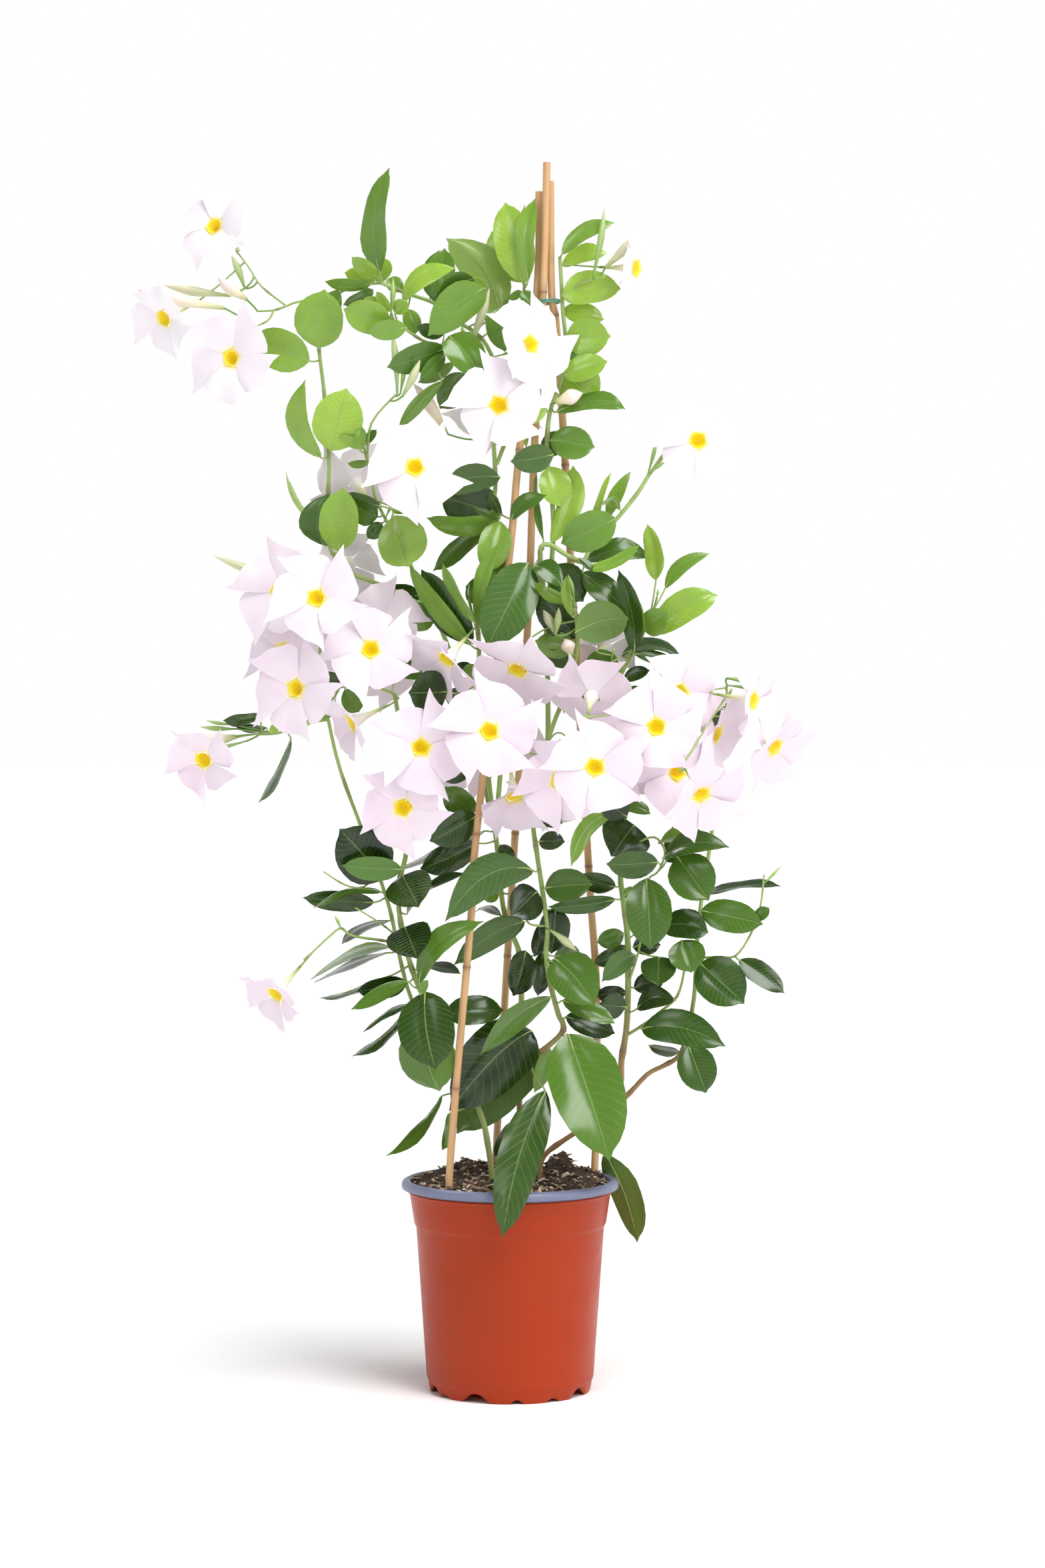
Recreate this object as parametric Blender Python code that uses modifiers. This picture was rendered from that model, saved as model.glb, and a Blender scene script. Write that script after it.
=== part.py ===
# Potted dipladenia on a three-cane tripod, in a two-tone nursery pot.
#
# Metres, +Z up. The origin is the centre of the pot's base on the floor, +X is to the right and +Y is
# away from the side that the plant shows best. The plant's own tables are in centimetres: a place is
# read on the upright plane through the pot's axis and then moved along the sight line of EYE by its depth
# (more depth is further back), so that it keeps its place in the front view.
#
# Each leafy stem, bloom, cane, the soil, the tie and the pot is one closed solid.
import math
import random

import bpy
import bmesh
from mathutils import Vector
from mathutils.bvhtree import BVHTree

for old in list(bpy.data.objects):
    bpy.data.objects.remove(old, do_unlink=True)

CM = 0.01
EYE = Vector((1.2, -340.0, 66.17))    # where the front view is taken from, cm
GAP = 0.035                           # clear gap between touching pieces, cm

# Driving dimensions, cm
POT_RIM_RADIUS = 10.55
POT_HEIGHT = 20.5
POT_SIDES = 32
SOIL_LEVEL = 20.0
CANE_RADIUS = 0.38
BLOOM_TUBE = 4.2                      # from the calyx to the rim of the throat
THROAT_RADIUS = 0.85
LEAF_THICKNESS = 0.09
PETIOLE_HALF_WIDTH = 0.11
SHORT_STALK = 1.2                     # a leaf nearer to its stem than this has no separate stalk
CRUMB_FACES = 16                      # a loose body with no more faces than this is a union's crumb
LONG_LEAF = 8.0                       # a longer blade has one more row across
STALK_RADIUS = 0.1


def seen(x, z, depth):
    """The place, in cm, that the front view sees at (x, z), at a depth behind the pot's axis."""
    on_plane = Vector((x, 0.0, z))
    return EYE + (on_plane - EYE) * (1.0 + depth / -EYE.y)


# Canes: (x, z, depth) from the foot up
CANES = {
    "cane_left": [(-5.95, 9.5, -4.8), (-5.95, 19.4, -4.8), (-5.35, 28, -4.4), (-4.75, 35, -4.0),
                  (-3.75, 46.3, -3.4), (-3.2, 54.5, -2.9), (-0.05, 81, -1.2), (0.8, 90, -0.6),
                  (2.6, 106.4, 0.35), (2.8, 115.9, 0.4)],
    "cane_right": [(6.6, 9.5, 3.2), (8.1, 19.6, 3.2), (8.4, 37.6, 2.8), (7.65, 50, 2.4), (5.7, 83, 1.2),
                   (5.3, 90.2, 0.9), (4.5, 102.6, 0.5), (4.0, 106.4, 0.35), (3.9, 116.9, 0.35)],
    "cane_back": [(-1.5, 9.5, 6.8), (-1.5, 19.6, 6.8), (-0.5, 38, 5.2), (1.63, 72.8, 2.0), (2.29, 89.9, 0.6),
                  (3.2, 106.4, -0.55), (3.55, 118.7, -0.65)],
}
TIE_CENTRE = (4.05, 105.0, 0.1)

# Stems. Each has runs of (radius, [(x, z, depth), ...]); a run after the first starts on an earlier one.
STEMS = {
    "stem_left": [
        (0.3, [(-1.75, 17.5, 0.3), (-1.75, 20.6, 0.3), (-2.2, 24, 0), (-2.8, 26.6, -0.4), (-4.6, 31, -1.2),
               (-7, 35.5, -2), (-8.9, 39.2, -2.6), (-10, 42.5, -2.8), (-10.7, 46, -2.4), (-10.8, 49, -2),
               (-10.0, 52.5, -1.4), (-9.8, 58, -1.2), (-10.6, 64, -1.6), (-11.2, 67.5, -2.6)]),
        (0.14, [(-11.2, 67.5, -2.6), (-13.2, 68.2, -3.4), (-15.6, 68.2, -3.8), (-17.4, 68.0, -4.2)]),
        (0.14, [(-9.8, 58, -1.2), (-8.0, 57.6, -3), (-7.0, 55.4, -3.6)]),
    ],
    "stem_left_outer": [
        (0.22, [(-5.6, 31.6, 0.2), (-7.6, 34.4, 0.4), (-9.6, 38, 0.2), (-10.7, 42, 0.2), (-11.5, 46, 0.2),
                (-12.4, 49, 0.4), (-14.2, 54, 1.2), (-16.4, 60, 1.4), (-17.6, 65, 1), (-18.4, 70, 0.6),
                (-18.2, 75, 0.6), (-18.6, 79.4, 0.4)]),
        (0.15, [(-17.6, 65, 1), (-20.2, 64.6, 0), (-22.4, 63.7, -1), (-24.6, 63.6, -1.8)]),
        (0.13, [(-11.05, 43.4, 0.2), (-13, 43.7, -2.2), (-15.4, 44.1, -3.4), (-16.4, 44.8, -3.8),
                (-17.4, 44.1, -4.2), (-18.6, 43, -4.6), (-20, 41.7, -5)]),
        (0.1, [(-11.2, 44.2, 0.2), (-12.6, 45.3, -2.4), (-15, 46.8, -3.8)]),
        (0.1, [(-12.8, 50.2, 0.6), (-14.2, 48.8, -3.2), (-16, 49, -3.9), (-18.1, 50.3, -4.4)]),
    ],
    "stem_center": [
        (0.3, [(1.0, 17.5, 4.2), (1.0, 20.6, 4.2), (0.9, 30, 3.4), (1.1, 38, 1.6), (0.9, 42.2, 1.2),
               (0.2, 44.2, 1), (-0.7, 47, 0.8), (-1.3, 53, 0.8), (-2.2, 60, 0.8), (-3, 66, 0), (-3, 71.8, -2.2),
               (-3.2, 74.3, -2.6)]),
        (0.13, [(-3, 68.4, -0.8), (-5, 67.6, -2), (-6.4, 67.6, -2.8)]),
    ],
    "stem_front": [
        (0.28, [(1.5, 31.6, 1.4), (3.2, 33, -0.6), (5.0, 34.6, -1), (5.1, 35.6, -1), (4.7, 36.4, -1.2),
                (4, 39, -1.4), (3.5, 42, -1.6), (3.55, 45, -1.6), (3.05, 49, -1.4), (2.6, 52, -1.2),
                (2.2, 55.6, -1), (2.8, 60, -1), (4.2, 64.6, -1.6), (5.2, 67, -2.4), (6.3, 70.4, -2.6),
                (6.5, 73.6, -3), (6.2, 75.8, -3.2)]),
        (0.12, [(3.55, 45, -1.6), (1.9, 45.2, -2.4), (1.3, 46.3, -2.8)]),
    ],
    "stem_right": [
        (0.32, [(8.6, 27.6, 2.2), (10.6, 29.4, 2), (10.8, 32, 1.6), (11.35, 36, 1.2), (11.4, 43.5, 0.8),
                (10.9, 48, 0.6), (10.7, 50, 0.6), (11, 56, 0.6), (10.3, 62, 0.2), (9.7, 67.4, -0.6),
                (10.4, 68.8, -0.8), (11.2, 70.4, -1), (11.9, 71.8, -1), (12.8, 73.4, -1), (13.8, 75.6, -1)]),
        (0.16, [(11.3, 34.4, 1.4), (13.2, 35.6, 0), (14.3, 36.5, -0.6), (16.2, 38.2, -1), (16.9, 40.8, -1.2)]),
        (0.13, [(11.4, 39.3, 1), (12.3, 42, -0.4), (12.7, 43.8, -0.8)]),
        (0.13, [(10.7, 50, 0.6), (12.2, 52.8, -1.6), (14.0, 53.6, -2), (15, 52.2, -2.2), (14.4, 50.4, -2.4),
                (13.6, 49.8, -2.4)]),
        (0.13, [(9.7, 67.4, -0.6), (9.3, 68.4, -1.6), (9.6, 69.8, -2), (9.9, 71.2, -2.2)]),
    ],
    "branch_right": [
        (0.27, [(2.9, 17.5, 1.2), (2.9, 20.6, 1.2), (3.3, 22.7, 1), (5.8, 24.6, 0.4), (8.4, 26.2, 0),
                (11, 28.2, -0.4), (13.3, 30.6, -0.8), (15, 31.5, -0.8), (16.5, 32.6, -0.8), (17.4, 35.6, -0.6),
                (17.9, 38.8, -0.4), (18.1, 43.2, 0), (18.6, 48, 0.8), (19.4, 53, 1.4), (20, 58, 1.6),
                (20.4, 62, 1.2)]),
        (0.12, [(18.05, 41.9, -0.1), (20, 42, -1.6), (21.8, 42.1, -2), (23.2, 44, -2.2), (24.2, 46.6, -2.4),
                (24.6, 50, -2.6)]),
        (0.14, [(20.4, 62, 1.2), (20.8, 65, 0.4), (21, 68.4, 0)]),
    ],
    "stem_left_tall": [
        (0.24, [(-1.9, 55, 1.9), (-3.2, 62, 2.2), (-5, 69, 1.6), (-7, 74.5, 0), (-8.5, 76, -0.4), (-12, 77.8, -1),
                (-15.3, 79.1, -1.4), (-16.4, 80.3, -1.4), (-17.4, 81.6, -1.2), (-17.6, 86, -0.6),
                (-17.5, 90.4, -0.4), (-17.9, 96, 0), (-18.3, 99.4, 0), (-18.5, 101.2, 0)]),
        (0.18, [(-8.5, 76, -0.4), (-9.6, 80, 1.4), (-12, 84.3, 0), (-13, 86.4, -1), (-13.4, 88.4, -1.4),
                (-14.4, 92.4, -1.4)]),
        (0.13, [(-13.8, 90, -1.4), (-13.4, 93.6, -3.4), (-10.9, 96.5, -4)]),
    ],
    "stem_top_left": [
        (0.24, [(-0.9, 55.5, 2.2), (-0.8, 62, 4.0), (-0.6, 70, 3.6), (-0.6, 78, 1.6), (-1.6, 84.6, 0.4), (-1.4, 88, 0.8),
                (-1.6, 93, 1.6), (-1.2, 98, 1.4), (-2.2, 101, 0.8), (-3.6, 102.5, 0.4), (-4.9, 103.3, 0),
                (-7.2, 105.1, -0.6), (-9, 105.8, -0.8), (-10.2, 106.2, -0.8), (-12.4, 107.1, -0.8)]),
        (0.17, [(-3.6, 102.5, 0.4), (-5.6, 101.2, -1.6), (-8, 101.4, -2.4), (-10, 102.6, -2.8),
                (-11.6, 103.8, -2.8)]),
        (0.14, [(-12.4, 107.1, -0.8), (-14.8, 106.9, 1), (-17, 106, 1.6), (-20.5, 105.3, 1), (-21.6, 104.9, 0.4),
                (-22.8, 104.5, 0), (-24.4, 104.4, -0.4)]),
        (0.1, [(-21.6, 104.9, 0.4), (-24.0, 106.8, 0.6), (-25.2, 108.6, 0.8), (-26.4, 110.2, 1)]),
        (0.1, [(-22.8, 104.5, 0), (-23.4, 103.5, -1.2), (-24.9, 102.8, -1.8)]),
    ],
    "stem_mid_right": [
        (0.26, [(3.2, 56.5, 0.2), (3.6, 62, 1.6), (3.6, 70, 1.4), (3.4, 76, 0.2), (2.9, 81.2, -1.9),
                (3.8, 81.9, -2.2), (5, 81.2, -2.2), (6.4, 80.4, -2.2), (7.2, 80.4, -2.2), (8, 82.2, -2.2),
                (9.3, 83.5, -2), (10.5, 84.6, -1.8), (12.4, 87, -1.6), (13.4, 88.6, -1.6), (14.9, 90.6, -1.6)]),
        (0.16, [(3.4, 76, 0.2), (2.6, 78.6, -2.6), (1.8, 79.9, -3.4)]),
    ],
    "stem_top_right": [
        (0.24, [(4.4, 76.6, 1.0), (4.2, 84, -0.9), (3.6, 90, -1.4), (3.8, 94.4, -1.8), (4.9, 97.6, -1.6),
                (5.4, 101, -1.2), (5.1, 104.4, -1), (4.9, 108, -0.8), (4.8, 109.6, -0.6)]),
        (0.13, [(5, 106, -0.9), (7, 107.1, -2.2), (8.8, 107.7, -2.6)]),
    ],
    "stem_top": [
        (0.2, [(-1.1, 89.6, 1.7), (0.2, 94, 2.4), (1.2, 100, 2.2), (1.2, 104, 1.8), (1.4, 107.2, 1.2)]),
    ],
}

# Leaves: base x, z; tip x, z; width; turn about the midrib (0 faces the viewer, 180 shows the underside);
# depth of the base from its stem; depth of the tip from the base; age from 0 (young) to 1 (old);
# and, where the midrib curves in the front view, its middle x, z.
LEAVES = {
    "stem_left": [
        (-6.6, 28.5, -11.95, 22.6, 3.0, 70, 0, -2, 0.3),
        (-5.9, 26.8, -6.55, 23.2, 2.0, 55, -1, -1, 0.2),
        (-6.3, 36.4, -0.6, 36.9, 3.2, 25, 1.6, 1, 0.5),
        (-8.25, 38.6, -7.2, 31.1, 5.4, 0, -3.4, -2, 0.7, -8.1, 34.8),
        (-8.0, 36.2, -6.8, 28.95, 5.4, 170, -1.2, -1, 0.4, -8.2, 32.4),
        (-8.8, 39.5, -2.6, 45.5, 2.4, 20, -1.5, -1.5, 0.4, -6.9, 43.3),
        (-8.3, 41.2, -4.8, 40.4, 2.4, 66, -2, -1, 0.9),
        (-10, 39.5, -14.9, 38.7, 2.2, 20, -1, -1, 0.9),
        (-9.9, 39.6, -15.35, 36.8, 2.6, 58, -2.4, -1.5, 0.2, -12.8, 38.9),
        (-9.8, 37.4, -14.2, 34.65, 2.0, 74, -1, -1, 0.6, -12.2, 36.7),
        (-9.9, 36.8, -15.3, 32.3, 2.6, 70, 0.6, 1, 0.7),
        (-13.2, 39.7, -18.4, 37.95, 2.0, 76, -1, 0, 0.7),
        (-8.7, 38.4, -8.0, 39.8, 0.9, 20, -4.2, -0.5, 0.2),
        (-10, 46.2, -4.2, 50.3, 3.0, 74, -1.6, -1, 0.8, -7.9, 48.2),
        (-10.2, 44.9, -9.0, 41.9, 4.4, 0, -1.2, -4.0, 0.8),
        (-10.4, 49.9, -8.9, 46.9, 4.6, 0, -1.0, -4.4, 0.8),
        (-10.5, 50.5, -16.3, 50.85, 2.4, 15, -2.4, -1, 0.3),
        (-16.0, 67.9, -14.6, 65.7, 2.2, 10, 1.6, 1, 0.3),
        (-17.0, 66.6, -18.9, 65.1, 1.6, 20, 2.2, 1, 0.4),
        (-16.0, 68.9, -19.8, 69.3, 1.8, 30, 2.0, 1, 0.9),
        (-18.6, 69.2, -18.3, 70.7, 1.5, 20, 3.0, 0, 0.3),
    ],
    "stem_left_outer": [
        (-11.7, 42.9, -19.3, 39.7, 3.0, 72, -2, -2, 0.4, -15.3, 42.8),
        (-11.8, 42.4, -18.95, 39.4, 2.4, 76, -0.4, -2, 0.9, -15.5, 41.7),
        (-13.2, 47.3, -20.1, 47.75, 2.1, 15, -1, -2, 0.8),
        (-12.5, 48.3, -19.0, 46.6, 2.4, 74, -2, -2, 0.4, -16, 48.8),
        (-11.8, 45.5, -16.3, 43.2, 2.4, 68, -0.8, 1, 0.8, -14.6, 45.0),
        (-12.1, 49.7, -16.5, 54.4, 5.4, 0, -3, -2, 0.9),
        (-21.2, 63.1, -24.3, 56.9, 2.6, 74, -1.4, -2, 0.8, -22.9, 60.1),
        (-24.2, 65.4, -27.8, 64.9, 1.8, 50, 0, -1, 0.8),
        (-23.6, 64.2, -26.8, 64.5, 1.2, 50, 1.4, 0, 1.0),
        (-22.5, 63.8, -23.1, 64.5, 1.2, 20, -1, 0, 0.1),
    ],
    "stem_center": [
        (2.1, 34.8, -5.9, 27, 6.5, 12, -2.2, -1.2, 1.0, -1.5, 32.4),
        (2.6, 33, -5.2, 24.8, 6.4, 170, -0.6, -2, 1.0, -1.4, 30.2),
        (0.5, 26, -1.55, 22.6, 2.0, 35, -2.6, -1, 0.9),
        (1.5, 42.6, 0.35, 38.2, 3.2, 30, -2.6, -1.5, 0.9),
        (3.1, 42.5, 2.7, 38.2, 2.2, 30, 1.2, 0, 0.9),
        (1.4, 45.4, -5.45, 41.2, 2.8, 20, -1.4, -1.5, 0.5, -2.0, 44.2),
        (2.6, 48.4, 0.1, 46.0, 3.6, 10, -2.2, -2, 0.9),
        (0.3, 51.3, -1.0, 52.9, 1.6, 20, -1.2, 0, 0.9),
        (-1.1, 48.3, -2.6, 47.6, 1.3, 20, -1, -0.5, 0.2),
        (-0.9, 46.0, -3.4, 46.3, 1.8, 70, -1, -1, 0.9, -2.3, 46.9),
        (-3.3, 53.0, -8.7, 50.5, 3.2, 25, -1.2, -1.4, 0.9),
        (-2.4, 54.2, -11.0, 50.2, 3.2, 72, -2, -2, 0.5, -6.8, 52.8),
        (-3.2, 55.7, -7.8, 53.2, 3.2, 15, -2.6, -1, 0.8),
        (-3.6, 55.8, -6.3, 58.5, 2.8, 15, -1.2, -1, 0.5),
        (-3.4, 60.6, -6.2, 58.9, 1.4, 20, -2, -1, 0.8),
        (-6.5, 70.2, -13.1, 70.75, 3.0, 25, -2.2, -2, 0.6),
        (-6.1, 67.7, -9.8, 67.6, 4.3, 10, -1.2, -2, 1.0),
        (-4.3, 67.7, -6.2, 67.2, 1.6, 30, -0.4, 0, 1.0),
        (-3.4, 69.5, -5.7, 69.5, 2.3, 10, 0.6, 0, 1.0),
        (-3.0, 69.8, -4.8, 69.2, 1.8, 15, -1.4, -0.5, 0.3),
        (-3.7, 72.4, -8.6, 79.5, 3.4, 12, -0.4, -1.5, 0.9, -6.4, 76.0),
        (-3.8, 72.2, -9.9, 80.0, 2.0, 30, -1.8, -1.5, 0.4, -6.9, 76.0),
        (-3.1, 74.1, -1.0, 82.2, 1.8, 40, -1.0, -1, 0.0, -2.4, 78.4),
        (-2.8, 74.0, -1.5, 79.4, 1.8, 30, 0.6, 0, 0.3),
        (-3.5, 74.4, -6.6, 80.1, 1.6, 50, -2.4, -1, 0.0, -5.0, 77.2),
        (-3.5, 74.8, -4.0, 78.1, 0.9, 40, -1.4, 0, 0.0),
        (-2.5, 77.2, -4.3, 77.9, 2.6, 10, 2.6, 0, 0.6),
        (-2.6, 72.2, -0.2, 71.3, 1.8, 20, -1.6, -0.5, 0.2),
    ],
    "stem_front": [
        (3.4, 29, -0.7, 14.7, 4.2, 12, -6.4, -4.6, 0.7, 0.6, 22.2),
        (5.6, 34.5, 9.7, 22.2, 6.9, 8, -4.6, -4.0, 0.4, 7.5, 28.9),
        (4.3, 41.8, 8.2, 37.2, 4.6, 10, -2.4, -2, 0.4, 6.2, 40.1),
        (3.9, 38.1, -2.85, 32.4, 3.0, 45, -2.2, -1, 0.4, 0, 36.2),
        (4.4, 46.8, 4.0, 42.3, 3.2, 20, 1.4, 0, 1.0),
        (3.3, 45.4, 2.4, 42.0, 1.8, 25, 2.4, 0, 1.0),
        (2.2, 50.4, -6.25, 45.4, 3.8, 15, -3.2, -2, 0.5, -2.4, 50.0),
        (3.4, 48.7, 8.0, 49.1, 3.2, 10, -1.6, -2, 0.5),
        (5.1, 37.8, 10.2, 35.6, 2.1, 25, -1.4, -1, 0.4),
        (5.4, 36.2, 10.2, 34.6, 2.6, 20, 0.8, 0.5, 1.0),
        (2.8, 53.2, 5.3, 53.2, 1.9, 20, -1.4, -1, 1.0),
        (2.7, 55.6, 5.1, 55.0, 1.7, 20, -1, 0, 0.9),
        (3.7, 33.4, 2.4, 28.8, 1.8, 30, 2.2, 0, 0.2),
        (5.2, 67.0, 4.2, 68.6, 1.4, 20, 1.2, 0, 1.0),
        (6.3, 68.2, 7.4, 64.4, 2.6, 15, 2.2, 0, 1.0),
        (6.3, 70.6, 3.0, 71.5, 1.9, 30, 1.0, 0, 0.7),
        (6.4, 72.9, 2.8, 77.5, 3.6, 10, 1.2, -0.5, 1.0),
        (6.3, 73.4, 11.5, 74.8, 4.0, 170, -1.0, -2, 0.4, 8.8, 74.5),
        (6.2, 72.0, 2.4, 72.6, 2.6, 170, 0.4, 1, 0.4),
        (6.2, 76.2, 2.2, 78.3, 2.2, 60, -0.8, -1, 0.4),
        (6.0, 75.0, 5.4, 78.9, 1.4, 50, -2.2, -0.5, 0.2),
    ],
    "stem_right": [
        (12.1, 42.2, 8.9, 39.6, 2.2, 20, -2.4, -0.6, 0.4, 10.5, 41.5),
        (11.4, 43.0, 8.1, 41.3, 1.8, 20, 1.2, 0, 0.7),
        (11.2, 37.2, 8.6, 37.4, 2.6, 20, -2.0, -1, 0.7),
        (11.2, 38.6, 8.3, 38.3, 2.0, 30, 1.2, 0, 1.0),
        (12.3, 37.0, 16.1, 37.8, 2.2, 20, -1.2, -1, 0.8, 14, 38.0),
        (12.0, 39.0, 15.0, 40.0, 2.2, 20, 0.6, 0, 1.0),
        (14.4, 42.0, 14.35, 39.2, 3.4, 0, -1.6, -3.0, 0.6),
        (16.6, 43.6, 17.6, 40.5, 3.6, 10, -1.6, -1, 0.5),
        (12.8, 35.0, 20.9, 33.35, 3.5, 12, -1.4, -2, 0.5, 16.5, 35.1),
        (13.2, 49.6, 13.6, 42.7, 4.4, 5, -2.0, -1.5, 0.5, 13.4, 46.2),
        (14.3, 51.2, 9.3, 51.0, 2.8, 20, -1.4, -1, 0.6),
        (12.0, 54.8, 9.8, 51.8, 5.0, 0, -1.0, -3.4, 0.9),
        (14.5, 45.0, 19.2, 44.35, 3.0, 15, -1, -1.6, 0.6, 17.3, 45.1),
        (16.2, 51.7, 19.25, 47.5, 4.4, 5, -1.2, -1.6, 0.5),
        (14.9, 51.6, 21.2, 52.75, 3.0, 70, -0.6, -2, 0.7, 17.5, 52.8),
        (14.6, 53.2, 18.8, 54.1, 2.4, 55, 0.8, 0, 0.2),
        (10.2, 48.8, 6.5, 49.9, 2.2, 30, -1.2, -1, 0.8),
        (11.1, 48.6, 12.0, 47.8, 1.3, 10, -2.4, 0, 0.0),
        (10.2, 47.6, 3.7, 46.8, 1.8, 30, -1.6, -1.4, 0.5),
        (9.6, 55.8, 5.95, 50.75, 2.0, 30, -3, -1.5, 0.1, 7.0, 54.4),
        (11.0, 44.3, 8.4, 43.4, 2.0, 20, -0.8, 0, 0.4),
        (11.9, 43.0, 14.6, 43.2, 2.1, 20, 1, 0, 1.0),
        (11.3, 55.6, 8.9, 57.4, 2.7, 15, -1.6, -0.6, 1.0),
        (10.9, 56.8, 13.6, 55.9, 1.7, 40, -1.8, -1, 0.3),
        (10.4, 70.9, 7.2, 69.8, 3.0, 15, 1.2, 0.5, 0.5),
        (11.0, 68.9, 13.5, 69.8, 1.5, 30, -1, -0.5, 1.0),
        (10.8, 71.2, 17.0, 70.5, 3.2, 66, 1.6, 1, 0.8, 14, 71.9),
        (12.0, 71.4, 16.6, 69.9, 2.0, 50, 2.8, 1, 0.9),
        (9.8, 67.0, 13.3, 67.4, 2.6, 60, -1.6, -1.5, 0.4),
        (9.2, 67.0, 6.2, 66.9, 2.4, 60, -2.4, -1.0, 0.5),
        (12.0, 71.6, 10.4, 79.5, 2.2, 20, -1.6, 0, 0.9, 11.9, 75.4),
        (12.6, 72.8, 11.8, 77.3, 1.8, 20, -1.0, -1, 0.2),
        (13.0, 73.6, 15.3, 75.4, 2.6, 10, -1.6, -1.5, 0.2),
        (13.7, 73.3, 20.1, 77.05, 3.1, 8, 0.4, 0, 0.3, 16.9, 75.9),
        (15.0, 77.7, 19.3, 81.1, 1.6, 30, 0.6, 0.5, 0.2, 16.8, 79.8),
        (14.1, 78.5, 13.2, 83.9, 2.2, 35, -0.8, 0, 0.2, 14.1, 81.2),
    ],
    "branch_right": [
        (9.2, 22.9, 12.4, 14.3, 3.8, 165, 1.6, 2.0, 0.5, 11.0, 18.6),
        (17.3, 33.4, 19.0, 28.8, 3.7, 5, -2.2, -1, 0.6),
        (18.4, 41.4, 22.7, 37.5, 4.6, 5, -1.6, -2, 0.6),
        (22.2, 41.7, 26.6, 38.5, 2.4, 25, -0.8, -1.4, 0.7),
        (18.5, 46.5, 24.5, 45.2, 3.2, 10, -2.6, -1.6, 0.5),
        (19.0, 48.1, 26.2, 49.0, 2.8, 72, 0, -1, 0.8),
        (23.8, 45.6, 25.1, 46.8, 1.4, 30, -0.6, 0, 0.4),
        (16.4, 32.8, 13.4, 33.4, 2.0, 60, 1.2, 0, 0.8),
    ],
    "stem_left_tall": [
        (-16.6, 81.3, -16.1, 87.4, 3.8, 5, -1.6, -1.5, 0.3, -16.5, 84.4),
        (-17.9, 81.8, -17.5, 86.9, 3.4, 25, 0.8, -0.5, 0.7, -18.6, 84.2),
        (-12.6, 85.6, -15.7, 86.9, 1.6, 35, 0.8, 0, 0.9),
        (-12.8, 84.6, -15.0, 85.5, 2.6, 10, 1.8, 0, 0.7),
        (-12.4, 84.0, -13.8, 82.5, 1.6, 20, 1.4, 0, 0.8),
        (-11.3, 85.0, -10.0, 86.6, 2.0, 15, 0.8, 0, 0.5),
        (-11.2, 84.7, -9.8, 79.7, 4.8, 172, -2.4, -2.6, 0.3),
        (-18.2, 83.0, -21.8, 88.9, 1.8, 50, 1.2, 0, 0.0),
        (-18.3, 90.3, -19.9, 97.8, 3.0, 45, -1.4, 0, 0.5, -20.3, 93.8),
        (-17.3, 91.0, -15.8, 97.0, 4.8, 3, -1.6, -1.4, 0.3),
        (-18.5, 100.9, -17.9, 106.5, 4.7, 5, -1.6, -1.6, 0.6, -18.4, 103.8),
        (-19.4, 99.6, -24.9, 102.0, 4.0, 10, -0.6, 0, 0.4),
        (-18.1, 101.3, -16.6, 106.7, 3.0, 40, 1.2, 0.5, 0.8),
        (-8.6, 77.0, -12.9, 77.1, 2.6, 25, 1.6, 0, 1.0),
        (-9.6, 76.9, -16.0, 75.2, 2.0, 35, -1.2, -1, 0.8, -13.4, 76.5),
        (-9.4, 76.4, -12.4, 75.4, 2.0, 20, 2.6, 0, 0.9),
        (-7.2, 75.2, -10.3, 74.7, 2.8, 10, -1.2, -1, 0.5),
        (-13.7, 89.8, -15.7, 89.7, 0.9, 30, -1.2, -1, 0.5),
        (-14.1, 91.4, -16.6, 92.4, 1.2, 30, -1.4, 0, 0.4),
        (-14.5, 91.0, -14.3, 93.3, 1.4, 30, -1, 0, 0.4),
        (-14.0, 91.6, -12.9, 93.0, 1.0, 30, 1.4, 0, 0.8),
    ],
    "stem_top_left": [
        (-11.6, 103.3, -16.1, 104.6, 3.2, 8, -1.6, -1, 0.6),
        (-10.0, 102.8, -13.8, 102.5, 2.0, 15, -2.4, -1, 0.1),
        (-12.6, 108.2, -11.8, 118.3, 3.4, 45, 0, 1, 0.7, -13.9, 113.0),
        (-12.7, 107.6, -15.3, 109.6, 1.7, 20, -1.4, -1, 0.5),
        (-13.0, 107.5, -16.0, 108.1, 1.8, 20, 1.0, 0, 0.2),
        (-11.9, 107.4, -10.3, 106.4, 1.6, 20, 1.2, 0, 0.4),
        (-12.2, 107.3, -12.9, 109.5, 2.6, 15, 1.4, 0.5, 0.5),
        (-13.4, 107.0, -17.9, 107.2, 1.6, 40, -0.6, -1, 0.3),
        (-13.2, 106.4, -16.1, 105.0, 1.8, 40, -0.2, -0.5, 0.9),
        (-11.9, 104.2, -14.1, 105.7, 1.8, 20, -0.8, 0, 0.4),
        (-11.5, 104.4, -12.9, 106.3, 1.2, 30, -1.6, 0, 0.2),
        (-11.1, 104.2, -9.9, 105.4, 1.6, 20, -0.8, 0, 0.5),
        (-9.9, 104.6, -9.2, 102.1, 1.8, 20, 1.2, 0, 0.3),
        (-10.4, 105.4, -5.3, 108.6, 2.2, 30, -2.0, -1.5, 0.4, -8.4, 107.6),
        (-2.4, 106.5, -7.9, 102.0, 3.8, 12, -3.4, -1.5, 0.6, -5.2, 105.1),
        (-3.4, 107.4, -7.5, 104.3, 2.6, 30, -2.6, -1, 0.9, -5.5, 106.9),
        (-6.4, 102.2, -9.0, 102.9, 1.6, 25, 1.2, 0, 1.0),
        (-7.1, 105.2, -6.3, 110.5, 2.9, 10, 1.2, 0.5, 0.9),
        (-7.7, 105.8, -6.9, 110.3, 2.2, 30, 2.4, 0.5, 0.7),
        (-1.0, 103.6, -6.2, 111.4, 4.2, 172, 1.2, 0, 0.1, -2.4, 108.4),
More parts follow.
